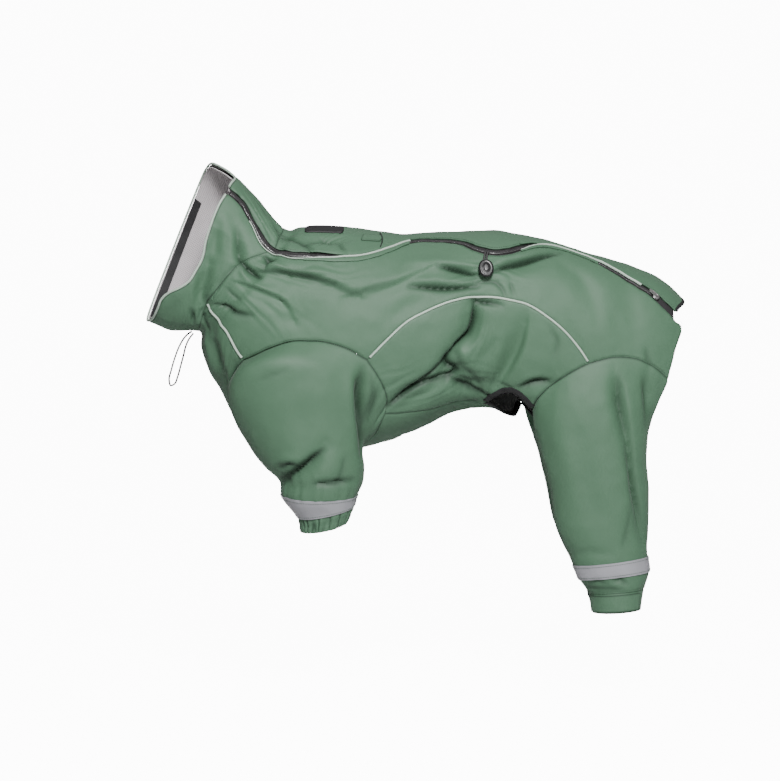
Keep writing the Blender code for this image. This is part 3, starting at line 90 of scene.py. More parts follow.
@dataclass(frozen=True)
class SideView:
    """The side view in which seams and outlines are measured, and in which the camera stands."""

    turn: float = math.radians(5)
    down: float = math.radians(4)
    distance: float = 4.5
    centre: tuple[float, float, float] = (0.0792, 0.0, -0.2145)
    width: float = 780 * 1.32 * MM

    def axes(self) -> tuple[Points, Points, Points]:
        """The view's directions to the right, up and forward."""
        forward = np.array(
            (
                math.sin(self.turn) * math.cos(self.down),
                math.cos(self.turn) * math.cos(self.down),
                -math.sin(self.down),
            )
        )
        right = np.array((math.cos(self.turn), -math.sin(self.turn), 0.0))
        return right, np.cross(right, forward), forward

    def seen_at(self, x: float, z: float, y: float) -> Points:
        """The point at depth y that the view shows at x, z; all in metres."""
        right, up, forward = self.axes()
        centre = np.array(self.centre)
        eye = centre - forward * self.distance
        ray = forward * self.distance + right * (x - centre[0]) + up * (z - centre[2])
        return eye + ray * (y - eye[1]) / ray[1]

    def shown(self, points: Points) -> Points:
        """Where the view shows points, as rows of x, z."""
        right, up, forward = self.axes()
        away = np.asarray(points) - np.array(self.centre)
        shrink = self.distance / (self.distance + away @ forward)
        x, z = self.centre[0] + away @ right * shrink, self.centre[2] + away @ up * shrink
        return np.stack([x, z], axis=-1)

    def add_camera(self) -> Object:
        """The camera that sees the garment as the side view does."""
        _, _, forward = self.axes()
        data = bpy.data.cameras.new("side_camera")
        data.sensor_width = 36
        data.lens = 36 * self.distance / self.width
        camera = bpy.data.objects.new("side_camera", data)
        bpy.context.scene.collection.objects.link(camera)
        camera.location = Vector(self.centre) - Vector(forward) * self.distance
        camera.rotation_mode = "QUATERNION"
        camera.rotation_quaternion = Vector(forward).to_track_quat("-Z", "Y")
        bpy.context.scene.camera = camera
        return camera


VIEW = SideView()


def unit(vectors: Points) -> Points:
    """Vectors of length 1."""
    return vectors / np.maximum(np.linalg.norm(vectors, axis=-1, keepdims=True), 1e-12)


def run_of(points: Points) -> Points:
    """The length along a line up to each of its points."""
    return np.concatenate([[0.0], np.cumsum(np.linalg.norm(np.diff(points, axis=0), axis=1))])


def read_rows(at: Points, run: Points, values: Points) -> Points:
    """Rows of values read at places along a run."""
    return np.stack([np.interp(at, run, column) for column in values.T], axis=-1)


def spline(knots: Points, values: Points, at: Points) -> Points:
    """A smooth curve through values at knots.

    Args:
        knots: rising places of the values.
        values: one row for each knot.
        at: the places to read.

    Returns:
        One row for each place.
    """
    knots, values, at = (np.asarray(a, float) for a in (knots, values, at))
    tail = (1,) * (values.ndim - 1)
    span = np.diff(knots).reshape(-1, *tail)
    slope = np.diff(values, axis=0) / span
    tangent = np.empty_like(values)
    tangent[0], tangent[-1] = slope[0], slope[-1]
    tangent[1:-1] = (slope[1:] * span[:-1] + slope[:-1] * span[1:]) / (span[:-1] + span[1:])
    row = np.clip(np.searchsorted(knots, at, "right") - 1, 0, len(knots) - 2)
    t = ((at - knots[row]) / np.diff(knots)[row]).reshape(-1, *tail)
    rise = span[row]
    start = (2 * t**3 - 3 * t**2 + 1) * values[row] + (t**3 - 2 * t**2 + t) * rise * tangent[row]
    return start + (3 * t**2 - 2 * t**3) * values[row + 1] + (t**3 - t**2) * rise * tangent[row + 1]


def soft_noise(points: Points, size: float, seed: float = 0.0) -> Points:
    """Smooth noise from -1 to 1 at points, with features about size wide."""
    shift = Vector((seed * 7.3, seed * 3.1, seed * 5.7))
    return np.array([noise.noise(Vector(p) / size + shift) for p in points])


def ring_noise(turns: Points, size: float, seed: float) -> Points:
    """Smooth noise round a ring, at turns from 0 to 1."""
    angle = turns * NOISE_TURN
    return soft_noise(np.stack([np.cos(angle), np.sin(angle), 0 * turns], axis=1), size, seed)


def crumpled(points: Points) -> Points:
    """The height of crumpled cloth: soft rises between sharp bends."""
    soft, bent, small = (soft_noise(points, size, i + 1.0) for i, size in enumerate(CRUMPLE_SIZES))
    return soft + 1.1 * (0.3 - np.abs(bent)) + 0.35 * small


# Folds


class FoldShape(Enum):
    """How a fold's section looks."""

    ROUND = "round"
    CREASE = "crease"
    LEDGE = "ledge"

    def profile(self, share: Points) -> Points:
        """The fold's height at signed distances from its line, in reaches."""
        if self is FoldShape.ROUND:
            return np.exp(-(share**2))
        if self is FoldShape.CREASE:
            return np.exp(-1.4 * np.sqrt(share**2 + 0.01) + 0.14)
        return 1.3 * share / np.sqrt(0.06 + share**2) * np.exp(-(share**2) / 1.6)


@dataclass(frozen=True)
class Fold:
    """A fold in the side view; a ledge stands higher to the left of its way.

    Points, depth and reach are millimetres, and a trough is negative. right is the share of its depth that
    the fold has on the right side of the body.
    """

    points: tuple[Pair, ...]
    depth: float
    reach: float
    shape: FoldShape = FoldShape.ROUND
    right: float = 0.0


@dataclass(frozen=True)
class Ripple:
    """A patch of small folds side by side: its middle, direction in degrees, reach along and across."""

    at: Pair
    way: float
    along: float
    across: float
    spacing: float
    depth: float
    right: float = 0.0


@dataclass
class FoldLine:
    """A fold on a flat sheet of points."""

    curve: Points
    depth: float
    reach: float
    shape: FoldShape
    hand: float

    def press(self, depth: Points, flat: Points, painted_crease_shade: Points | None = None) -> None:
        """Adds the fold's height to depth at each flat point, and a crease's painted shade to
        painted_crease_shade.
        """
        margin = FOLD_MARGIN * self.reach
        low, high = self.curve.min(axis=0) - margin, self.curve.max(axis=0) + margin
        near = np.all((flat > low) & (flat < high), axis=1)
        if not near.any():
            return
        spots = flat[near]
        best, along = np.full(len(spots), np.inf), np.zeros(len(spots))
        count = len(self.curve) - 1
        for i in range(count):
            run = self.curve[i + 1] - self.curve[i]
            off = spots - self.curve[i]
            t = np.clip(off @ run / max(run @ run, 1e-15), 0, 1)
            rest = off - t[:, None] * run
            side = np.sign(run[0] * off[:, 1] - run[1] * off[:, 0]) * self.hand
            away = np.linalg.norm(rest, axis=1)
            nearer = away < np.abs(best)
            best = np.where(nearer, away * np.where(side == 0, 1.0, side), best)
            along = np.where(nearer, (i + t) / count, along)
        fade = np.sin(np.pi * np.clip(0.12 + 0.76 * along, 0, 1))
        depth[near] += self.depth * fade * self.shape.profile(best / self.reach)
        if painted_crease_shade is not None and self.shape is FoldShape.CREASE:
            share = min(-self.depth / DARK_CREASE, 1.0)
            painted_crease_shade[near] += share * fade * np.exp(-((np.abs(best) / (0.35 * self.reach + 2.0 * MM)) ** 1.5))


@dataclass
class RipplePatch:
    """A patch of small folds on a flat sheet of points."""

    middle: Points
    way: Points
    ripple: Ripple
    share: float

    def press(self, depth: Points, flat: Points) -> None:
        """Adds the small folds' height to depth at each flat point."""
        off = flat - self.middle
        along = off @ self.way
        across = off @ np.array((-self.way[1], self.way[0]))
        r = self.ripple
        envelope = np.exp(-((along / (r.along * MM)) ** 2) - (across / (r.across * MM)) ** 2)
        near = envelope > 0.03
        if not near.any():
            return
        spacing = r.spacing * MM
        stretched = np.stack([along[near] / 2.6, across[near], np.zeros(near.sum())], axis=1)
        drift = soft_noise(stretched, 1.5 * spacing, r.at[0] * 0.01)
        phase = np.pi * (across[near] / spacing + 1.1 * drift)
        depth[near] += self.share * r.depth * MM * envelope[near] * (1.6 * np.abs(np.sin(phase)) - 1.0)


# The trunk's surface


@dataclass(frozen=True)
class Section:
    """A section of the body: top and bottom in the side view and half the width, in millimetres."""

    name: str
    top: Pair
    bottom: Pair
    half_width: float


SECTIONS = (
    Section("mouth", (-155, 92), (-240, -123), 70),
    Section("collar", (-112, 57), (-210, -135), 74),
    Section("neck seam", (-62, 1), (-172, -137), 82),
    Section("neck", (-37, 1), (-169, -158), 90),
    Section("withers", (-10, 2), (-160, -186), 96),
    Section("shoulder", (15, 1.5), (-145, -213), 101),
    Section("breast", (35, 0), (-130, -243), 104),
    Section("forechest", (52, -2), (-112, -272), 106),
    Section("chest", (72, -5), (-75, -290), 107),
    Section("armpit", (95, -8), (-25, -296), 107),
    Section("ribs", (118, -7), (25, -292), 106),
    Section("last rib", (142, -6), (75, -280), 104),
    Section("belly", (165, -5), (125, -259), 101),
    Section("flank", (190, -4), (165, -240), 97),
    Section("waist", (219, -3), (208, -236), 95),
    Section("loin", (249, -8), (245, -252), 96),
    Section("hip front", (282, -15), (282, -268), 97),
    Section("hip", (319, -26), (322, -276), 97),
    Section("croup", (358, -38), (362, -278), 94),
    Section("thigh", (398, -50), (400, -276), 87),
    Section("rump", (430, -64), (428, -268), 77),
    Section("tail", (454, -82), (448, -256), 66),
    Section("tail end", (474, -104), (470, -238), 56),
)


@dataclass
class Trunk:
    """The surface that the trunk's panels and the collar lie on, with its folds."""

    squareness: float = 0.10
    mid_radius: float = 110 * MM
    crumple: float = 0.9 * MM
    presses: list = field(default_factory=list)

    def __post_init__(self) -> None:
        rows = []
        for s in SECTIONS:
            top = VIEW.seen_at(s.top[0] * MM, s.top[1] * MM, 0.0)
            bottom = VIEW.seen_at(s.bottom[0] * MM, s.bottom[1] * MM, 0.0)
            rows.append((top[0], top[2], bottom[0], bottom[2], s.half_width * MM))
        self.rows = np.array(rows)
        self.stations = np.arange(len(rows))
        self.last = len(rows) - 1.0
        middle = (self.rows[:, :2] + self.rows[:, 2:4]) / 2
        middle[:, 0] = self.rows[:, 0] * 0.55 + self.rows[:, 2] * 0.45
        step = np.linalg.norm(np.diff(middle, axis=0), axis=1)
        self.middle_run = np.concatenate([[0.0], np.cumsum(np.maximum(step, 12 * MM))])

    def points(self, line: Points) -> Points:
        """Points of the smooth surface for rows of station and angle."""
        line = np.asarray(line, float)
        row = spline(self.stations, self.rows, line[:, 0])
        cos, sin = np.cos(line[:, 1]), np.sin(line[:, 1])
        down = (1 - cos * (1 + self.squareness * sin**2)) / 2
        x = row[:, 0] + down * (row[:, 2] - row[:, 0])
        z = row[:, 1] + down * (row[:, 3] - row[:, 1])
        return np.stack([x, -row[:, 4] * sin * (1 + self.squareness * cos**2), z], axis=1)

    def slopes(self, line: Points) -> tuple[Points, Points]:
        """How the surface runs with the station and with the angle."""
        line = np.asarray(line, float)
        small_u, small_a = np.array((STATION_NUDGE, 0.0)), np.array((0.0, ANGLE_NUDGE))
        along = (self.points(line + small_u) - self.points(line - small_u)) / (2 * STATION_NUDGE)
        around = (self.points(line + small_a) - self.points(line - small_a)) / (2 * ANGLE_NUDGE)
        return along, around

    def normals(self, line: Points) -> Points:
        """Outward directions of the smooth surface."""
        along, around = self.slopes(line)
        return unit(np.cross(around, along))

    def flat(self, line: Points) -> Points:
        """Station and angle as lengths on a flat sheet."""
        line = np.asarray(line, float)
        across = line[:, 1] * self.mid_radius
        return np.stack([np.interp(line[:, 0], self.stations, self.middle_run), across], axis=1)

    def unflat(self, flat: Points) -> Points:
        """The reverse of flat."""
        flat = np.asarray(flat, float)
        station = np.interp(flat[:, 0], self.middle_run, self.stations)
        return np.stack([station, flat[:, 1] / self.mid_radius], axis=1)

    def find(self, x: float, z: float) -> Points:
        """Station and angle of the left side's point that the side view shows at x, z in millimetres."""
        target = np.array((x, z)) * MM
        stations, angles = np.meshgrid(np.arange(0, self.last + 0.01, 0.5), np.radians(np.arange(4, 178, 6)))
        grid = np.stack([stations.ravel(), angles.ravel()], axis=1)
        best = grid[np.argmin(np.linalg.norm(VIEW.shown(self.points(grid)) - target, axis=1))]
        for _ in range(25):
            shown = VIEW.shown(self.points(np.array([best, best + (0.01, 0), best + (0, 0.01)])))
            slopes = np.stack([(shown[1] - shown[0]) / 0.01, (shown[2] - shown[0]) / 0.01], axis=1)
            step, *_ = np.linalg.lstsq(slopes, target - shown[0], rcond=0.02)
            best = best + np.clip(step, (-0.6, -0.2), (0.6, 0.2))
            best = np.clip(best, (0.0, math.radians(1)), (self.last, math.radians(179)))
        return best

    def even(self, line: Points, step: float = STEP, count: int | None = None) -> Points:
        """The curve through a line's points, with points about step apart.

        Args:
            line: rows of station and angle.
            step: the distance between points.
            count: the number of points instead.

        Returns:
            The line with even points and the same ends.
        """
        flat = self.flat(line)
        chord = run_of(flat)
        fine = spline(chord, flat, np.linspace(0, chord[-1], max(400, 2 * len(line))))
        run = run_of(fine)
        count = count or max(2, round(run[-1] / step) + 1)
        at = np.linspace(0, run[-1], count)
        result = self.unflat(read_rows(at, run, fine))
        result[0], result[-1] = line[0], line[-1]
        return result

    def seam(self, places: Sequence[Pair], count: int | None = None) -> Points:
        """A seam through places of the side view."""
        return self.even(np.array([self.find(*p) for p in places]), count=count)

    def moved(self, line: Points, side: float) -> Points:
        """A line moved sideways over the surface, towards larger angles where side is positive."""
        line = np.asarray(line, float)
        along, around = self.slopes(line)
        forward = unit(along * np.gradient(line[:, 0])[:, None] + around * np.gradient(line[:, 1])[:, None])
        share = np.abs(np.einsum("ij,ij->i", np.cross(unit(around), forward), self.normals(line)))
        result = line.copy()
        result[:, 1] += side / (np.linalg.norm(around, axis=1) * np.clip(share, 0.4, 1.0))
        return result

    def wrapped(self, flat: Points) -> Points:
        """Flat points with the angle between -pi and pi."""
        angle = (flat[:, 1] / self.mid_radius + math.pi) % (2 * math.pi) - math.pi
        return np.stack([flat[:, 0], angle * self.mid_radius], axis=1)

    def add_folds(self, folds: Sequence[Fold], ripples: Sequence[Ripple]) -> None:
        """Presses folds and ripples of the side view into the surface."""
        for fold in folds:
            left = self.even(np.array([self.find(*p) for p in fold.points]), count=9)
            depth, reach = fold.depth * MM, fold.reach * MM
            self.presses.append(FoldLine(self.flat(left), depth, reach, fold.shape, -1.0))
            if fold.right:
                curve, depth = self.flat(mirrored(left)), fold.right * fold.depth * MM
                self.presses.append(FoldLine(curve, depth, 1.1 * fold.reach * MM, fold.shape, 1.0))
        for ripple in ripples:
            turn = math.radians(ripple.way)
            ahead = (ripple.at[0] + 6 * math.cos(turn), ripple.at[1] + 6 * math.sin(turn))
            pair = np.array([self.find(*ripple.at), self.find(*ahead)])
            for share, line in ((1.0, pair), (ripple.right, mirrored(pair))):
                if share:
                    flat = self.flat(line)
                    self.presses.append(RipplePatch(flat[0], unit(flat[1] - flat[0]), ripple, share))

    def skin(self, line: Points, lift: float = 0.0) -> tuple[Points, Points]:
        """Points of the folded cloth's outer side, moved out by lift, and the outward directions."""
        line = np.asarray(line, float)
        normals, base = self.normals(line), self.points(line)
        flat = self.wrapped(self.flat(line))
        depth = np.zeros(len(line))
        for press in self.presses:
            press.press(depth, flat)
        depth += self.crumple * crumpled(base)
        return base + normals * (depth + lift)[:, None], normals

    def painted_crease_shades(self, line: Points) -> Points:
        """How much painted shade each point gets from lying in a crease, from 0 to 1."""
        flat = self.wrapped(self.flat(line))
        painted_crease_shade = np.zeros(len(flat))
        for press in self.presses:
            if isinstance(press, FoldLine) and press.shape is FoldShape.CREASE:
                press.press(np.zeros(len(flat)), flat, painted_crease_shade)
        return np.clip(painted_crease_shade, 0, 1)

    def frames(self, line: Points, lift: float = 0.0) -> tuple[Points, Points, Points]:
        """Points on the cloth along a line, with the sideways and outward directions there."""
        points, normals = self.skin(line, lift)
        forward = unit(np.gradient(points, axis=0))
        return points, unit(np.cross(normals, forward)), normals

    def shown_x(self, line: Points) -> Points:
        """Where the side view shows a line's points along x, in millimetres."""
        return VIEW.shown(self.points(line))[:, 0] / MM


def mirrored(line: Points) -> Points:
    """The same line on the right side."""
    return np.asarray(line) * (1.0, -1.0)


def joined(*lines: Points) -> Points:
    """Lines end to end as one closed loop."""
    return np.concatenate([line[:-1] for line in lines])


# Finishes


class Sketch:
    """Adds nodes to a shader tree and links them."""

    def __init__(self, tree: NodeTree) -> None:
        self.tree = tree

    def add(self, kind: str, **values: object) -> Node:
        """A new node with its settings."""
        node = self.tree.nodes.new(kind)
        for key, value in values.items():
            setattr(node, key, value)
        return node

    def link(self, source: Socket, target: Socket) -> None:
        """Links two sockets."""
        self.tree.links.new(source, target)

    def feed(self, socket: Socket, value: object) -> None:
        """Sets a socket to a number, or links another socket to it."""
        if isinstance(value, Socket):
            self.link(value, socket)
        else:
            socket.default_value = value

    def math(self, operation: str, first: object, second: object = 0.0) -> Socket:
        """The result of a sum, product or function."""
        node = self.add("ShaderNodeMath", operation=operation)
        self.feed(node.inputs[0], first)
        self.feed(node.inputs[1], second)
        return node.outputs[0]

    def noise(self, vector: Socket, scale: object, detail: float, kind: str = "FBM") -> Socket:
        """A noise value at a vector."""
        node = self.add("ShaderNodeTexNoise", noise_type=kind, normalize=True)
        self.link(vector, node.inputs["Vector"])
        self.feed(node.inputs["Scale"], scale)
        node.inputs["Detail"].default_value = detail
        return node.outputs[0]

    def mix(self, factor: object, first: object, second: object) -> Socket:
        """A colour between two colours."""
        node = self.add("ShaderNodeMix", data_type="RGBA")
        self.feed(node.inputs[0], factor)
        self.feed(node.inputs[6], first if isinstance(first, Socket) else (*first, 1.0))
        self.feed(node.inputs[7], second if isinstance(second, Socket) else (*second, 1.0))
        return node.outputs[2]

    def span(self, value: object, low: float, high: float) -> Socket:
        """A value from 0 to 1 spread between two others."""
        node = self.add("ShaderNodeMapRange")
        self.feed(node.inputs[0], value)
        node.inputs[3].default_value, node.inputs[4].default_value = low, high
        return node.outputs[0]

    def crossings(self, count: Socket) -> tuple[Socket, Socket]:
        """The texture place, and the product of two waves across it with so many half waves in a metre."""
        uv = self.add("ShaderNodeTexCoord").outputs["UV"]
        parts = self.add("ShaderNodeSeparateXYZ")
        self.link(uv, parts.inputs[0])
        turn = self.math("MULTIPLY", count, math.pi)
        warp, weft = (self.math("SINE", self.math("MULTIPLY", parts.outputs[k], turn)) for k in (0, 1))
        return uv, self.math("MULTIPLY", warp, weft)

    def bump(self, height: Socket, distance: float, strength: float, under: object = None) -> Socket:
        """A normal raised by a height, on top of another."""
        node = self.add("ShaderNodeBump")
        self.link(height, node.inputs["Height"])
        node.inputs["Distance"].default_value = distance
        node.inputs["Strength"].default_value = strength
        if under is not None:
            self.link(under, node.inputs["Normal"])
        return node.outputs[0]


def new_group(
    name: str, inputs: dict[str, float], outputs: Sequence[str]
) -> tuple[NodeTree, Sketch, dict[str, Socket], Node]:
    """An empty shader node group.

    Args:
        name: the group's name.
        inputs: names and first values of its number inputs.
        outputs: names of its number outputs.

    Returns:
        The group, a sketch of it, its input sockets by name and its output node.
    """
    tree = bpy.data.node_groups.new(name, "ShaderNodeTree")
    for key, value in inputs.items():
        tree.interface.new_socket(key, in_out="INPUT", socket_type="NodeSocketFloat").default_value = value
    for key in outputs:
        tree.interface.new_socket(key, in_out="OUTPUT", socket_type="NodeSocketFloat")
    sketch = Sketch(tree)
    start, end = sketch.add("NodeGroupInput"), sketch.add("NodeGroupOutput")
    return tree, sketch, {key: start.outputs[key] for key in inputs}, end


def make_weave() -> NodeTree:
    """Threads that pass over and under each other: a height."""
    tree, s, given, end = new_group("plain_weave", {"Threads": 1800.0, "Unevenness": 0.4}, ("Height",))
    uv, cross = s.crossings(given["Threads"])
    uneven = s.noise(uv, s.math("MULTIPLY", given["Threads"], 0.12), 2.0)
    thick = s.math("MULTIPLY", uneven, given["Unevenness"])
    s.link(s.math("ADD", s.math("MULTIPLY", cross, 0.5), thick), end.inputs["Height"])
    return tree


def make_knit() -> NodeTree:
    """An open mesh knit: a height, and a mask of its holes."""
    tree, s, given, end = new_group("mesh_knit", {"Holes": 420.0}, ("Height", "Hole"))
    _, waves = s.crossings(given["Holes"])
    cross = s.math("ABSOLUTE", waves)
    hole = s.add("ShaderNodeMapRange")
    s.link(cross, hole.inputs[0])
    hole.inputs[1].default_value, hole.inputs[2].default_value = 0.45, 0.75
    s.link(hole.outputs[0], end.inputs["Hole"])
    s.link(s.math("SUBTRACT", 1.0, hole.outputs[0]), end.inputs["Height"])
    return tree


def make_tone() -> NodeTree:
    """Soft changes over a surface: a tone, and fine dust."""
    tree, s, given, end = new_group("tone", {"Patches": 14.0, "Grain": 900.0}, ("Tone", "Dust"))
    place = s.add("ShaderNodeTexCoord").outputs["Object"]
    s.link(s.noise(place, given["Patches"], 4.0), end.inputs["Tone"])
    s.link(s.noise(place, given["Grain"], 2.0), end.inputs["Dust"])
    return tree


def make_creases() -> NodeTree:
    """Fine creases of thin cloth: a height."""
    tree, s, given, end = new_group("fine_creases", {"Size": 26.0}, ("Height",))
    place = s.add("ShaderNodeTexCoord").outputs["Object"]
    broad = s.noise(place, given["Size"], 3.0)
    sharp = s.noise(place, s.math("MULTIPLY", given["Size"], 1.7), 3.0, "RIDGED_MULTIFRACTAL")
    height = s.math("ADD", s.math("MULTIPLY", broad, 0.8), s.math("MULTIPLY", sharp, 0.2))
    s.link(height, end.inputs["Height"])
    return tree


def make_seam_wear_and_painted_shade() -> NodeTree:
    """Worn cloth beside a seam, a painted shade line in the seam, and painted shade in a crease: three
    masks.
    """
    tree, s, given, end = new_group("seam_wear_and_painted_shade", {"Breakup": 160.0}, ("Mask", "Line", "PaintedCreaseShade"))
    near = s.add("ShaderNodeAttribute", attribute_name="seam").outputs["Fac"]
    place = s.add("ShaderNodeTexCoord").outputs["Object"]
    broken = s.noise(place, given["Breakup"], 3.0)
    s.link(s.math("MULTIPLY", near, broken), end.inputs["Mask"])
    # the second mask is painted shade along a seam, the third painted shade in creases
    s.link(s.math("POWER", near, 4.0), end.inputs["Line"])
    s.link(s.add("ShaderNodeAttribute", attribute_name="painted_crease_shade").outputs["Fac"], end.inputs["PaintedCreaseShade"])
    return tree


class Effects:
    """The node groups that the finishes share."""

    def __init__(self) -> None:
        self.weave = make_weave()
        self.knit = make_knit()
        self.tone = make_tone()
        self.creases = make_creases()
        self.seam_wear_and_painted_shade = make_seam_wear_and_painted_shade()

    def place(self, sketch: Sketch, tree: NodeTree, **values: float) -> Node:
        """A shared group in a material, with values of its own."""
        node = sketch.add("ShaderNodeGroup")
        node.node_tree = tree
        for key, value in values.items():
            node.inputs[key].default_value = value
        return node


def blank(name: str) -> tuple[Material, Sketch, Node]:
    """A new material with its sketch and its Principled shader."""
    material = bpy.data.materials.new(name)
    material.use_nodes = True
    return material, Sketch(material.node_tree), material.node_tree.nodes["Principled BSDF"]


@dataclass(frozen=True)
class ShellFinish:
    """Tightly woven shell cloth with a soft satin sheen, and painted shade in its seams and creases."""

    name: str = "sage_shell"
    colour: Colour = (0.064, 0.138, 0.082)
    shade: Colour = (0.052, 0.116, 0.067)
    worn: Colour = (0.105, 0.190, 0.125)
    # seam: the near-black green of the painted shade in seam lines and creases
    seam: Colour = (0.008, 0.022, 0.012)
    threads: float = 2300.0
    roughness: Pair = (0.50, 0.66)
    sheen: float = 0.06

    def make(self, effects: Effects) -> Material:
        """The material."""
        material, s, shader = blank(self.name)
        tone = effects.place(s, effects.tone, Patches=11.0, Grain=700.0)
        wear_and_shade_masks = effects.place(s, effects.seam_wear_and_painted_shade, Breakup=150.0)
        weave = effects.place(s, effects.weave, Threads=self.threads, Unevenness=0.5)
        creases = effects.place(s, effects.creases, Size=24.0)
        base = s.mix(tone.outputs["Tone"], self.shade, self.colour)
        woven = s.mix(s.math("MULTIPLY", tone.outputs["Dust"], 0.16), base, self.worn)
        rubbed = s.mix(s.math("MULTIPLY", wear_and_shade_masks.outputs["Mask"], 0.2), woven, self.worn)
        # painted shade: the seam line and the crease mask darken the cloth towards the seam colour
        dark = s.math("MAXIMUM", wear_and_shade_masks.outputs["Line"], wear_and_shade_masks.outputs["PaintedCreaseShade"])
        painted_shade_share = s.math("MULTIPLY", dark, 0.82)
        s.link(s.mix(painted_shade_share, rubbed, self.seam), shader.inputs["Base Color"])
        s.link(s.span(tone.outputs["Dust"], *self.roughness), shader.inputs["Roughness"])
        low = s.bump(creases.outputs["Height"], 0.9 * MM, 0.55)
        s.link(s.bump(weave.outputs["Height"], 0.07 * MM, 0.5, low), shader.inputs["Normal"])
        shader.inputs["Sheen Weight"].default_value = self.sheen
        shader.inputs["Sheen Roughness"].default_value = 0.4
        shader.inputs["Specular IOR Level"].default_value = 0.35
        return material


@dataclass(frozen=True)
class KnitFinish:
    """Pale mesh knit of the lining."""

    name: str = "pale_mesh"
    colour: Colour = (0.56, 0.52, 0.535)
    hole: Colour = (0.30, 0.285, 0.29)
    holes: float = 430.0

    def make(self, effects: Effects) -> Material:
        """The material."""
        material, s, shader = blank(self.name)
        knit = effects.place(s, effects.knit, Holes=self.holes)
        tone = effects.place(s, effects.tone, Patches=22.0, Grain=1200.0)
        base = s.mix(tone.outputs["Tone"], tuple(0.92 * c for c in self.colour), self.colour)
        holes = s.math("MULTIPLY", knit.outputs["Hole"], 0.8)
        s.link(s.mix(holes, base, self.hole), shader.inputs["Base Color"])
        s.link(s.span(tone.outputs["Dust"], 0.82, 0.98), shader.inputs["Roughness"])
        s.link(s.bump(knit.outputs["Height"], 0.35 * MM, 0.7), shader.inputs["Normal"])
        shader.inputs["Sheen Weight"].default_value = 0.15
        return material


@dataclass(frozen=True)
class BandFinish:
    """A woven band or tape: its colour, its ribs and how it shines."""

    name: str
    colour: Colour
    light: Colour
    roughness: Pair
    threads: float = 1500.0
    relief: float = 0.16
    metallic: float = 0.0
    sheen: float = 0.0

    def make(self, effects: Effects) -> Material:
        """The material."""
        material, s, shader = blank(self.name)
        tone = effects.place(s, effects.tone, Patches=40.0, Grain=1400.0)
        weave = effects.place(s, effects.weave, Threads=self.threads, Unevenness=0.5)
        blend = s.math("MULTIPLY", s.math("ADD", tone.outputs["Tone"], tone.outputs["Dust"]), 0.5)
        s.link(s.mix(blend, self.colour, self.light), shader.inputs["Base Color"])
        s.link(s.span(tone.outputs["Dust"], *self.roughness), shader.inputs["Roughness"])
        s.link(s.bump(weave.outputs["Height"], self.relief * MM, 0.6), shader.inputs["Normal"])
        shader.inputs["Metallic"].default_value = self.metallic
        shader.inputs["Sheen Weight"].default_value = self.sheen
        return material


@dataclass(frozen=True)
class HardFinish:
    """Moulded plastic or cast metal with a fine grain."""

    name: str
    colour: Colour
    light: Colour
    roughness: Pair
    metallic: float = 0.0
    coat: float = 0.0

    def make(self, effects: Effects) -> Material:
        """The material."""
        material, s, shader = blank(self.name)
        tone = effects.place(s, effects.tone, Patches=90.0, Grain=1600.0)
        s.link(s.mix(tone.outputs["Tone"], self.colour, self.light), shader.inputs["Base Color"])
        s.link(s.span(tone.outputs["Dust"], *self.roughness), shader.inputs["Roughness"])
        s.link(s.bump(tone.outputs["Dust"], 0.05 * MM, 0.4), shader.inputs["Normal"])
        shader.inputs["Metallic"].default_value = self.metallic
        shader.inputs["Coat Weight"].default_value = self.coat
        return material


class Finishes:
    """Every material of the garment."""

    def __init__(self) -> None:
        effects = Effects()

        def band(name: str, colour: Colour, light: Colour, roughness: Pair, *rest: float) -> Material:
            return BandFinish(name, colour, light, roughness, *rest).make(effects)

        def hard(name: str, colour: Colour, light: Colour, roughness: Pair, *rest: float) -> Material:
            return HardFinish(name, colour, light, roughness, *rest).make(effects)

        self.shell = ShellFinish().make(effects)
        self.mesh = KnitFinish().make(effects)
        self.lining = KnitFinish("grey_mesh", (0.30, 0.305, 0.30), (0.15, 0.155, 0.15), 460.0).make(effects)
        self.piping = band("pale_piping", (0.34, 0.44, 0.36), (0.46, 0.55, 0.47), (0.38, 0.5), 1300.0)
        grey, light_grey = (0.27, 0.27, 0.295), (0.34, 0.34, 0.37)
        self.tape = band("reflective_tape", grey, light_grey, (0.34, 0.46), 2600.0, 0.05, 0.15)
        black, light_black = (0.005, 0.005, 0.006), (0.013, 0.013, 0.015)
        self.binding = band("black_binding", black, light_black, (0.6, 0.8), 900.0, 0.3)
        rib, light_rib = (0.010, 0.009, 0.010), (0.022, 0.020, 0.022)
        self.zip_tape = band("zip_tape", rib, light_rib, (0.5, 0.65), 1100.0, 0.25)
        sage, light_sage = (0.030, 0.068, 0.040), (0.055, 0.105, 0.066)
        self.thread = band("sage_thread", sage, light_sage, (0.45, 0.6), 3000.0, 0.05)
        dark, light_dark = (0.008, 0.009, 0.009), (0.02, 0.022, 0.021)
        self.dark_thread = band("dark_thread", dark, light_dark, (0.5, 0.65), 3000.0, 0.05)
        elastic, light_elastic = (0.022, 0.021, 0.022), (0.055, 0.052, 0.055)
        self.cord = band("dark_elastic", elastic, light_elastic, (0.5, 0.65), 1500.0, 0.3)
        nylon, light_nylon = (0.018, 0.017, 0.018), (0.050, 0.047, 0.050)
        self.coil = hard("zip_coil_nylon", nylon, light_nylon, (0.3, 0.42), 0.0, 0.15)
        self.metal = hard("slider_metal", (0.34, 0.33, 0.33), (0.46, 0.45, 0.45), (0.28, 0.4), 0.85)
        case, light_case = (0.004, 0.004, 0.005), (0.010, 0.010, 0.011)
        self.plastic = hard("stopper_plastic", case, light_case, (0.34, 0.46), 0.0, 0.05)
        self.rubber = hard("label_rubber", (0.005, 0.005, 0.006), (0.011, 0.011, 0.012), (0.55, 0.7))


# Meshes


@dataclass
class FaceSet:
    """Faces with as many corners each, the texture place of each corner and their look."""

    faces: Points
    uv: Points
    look: int = 0


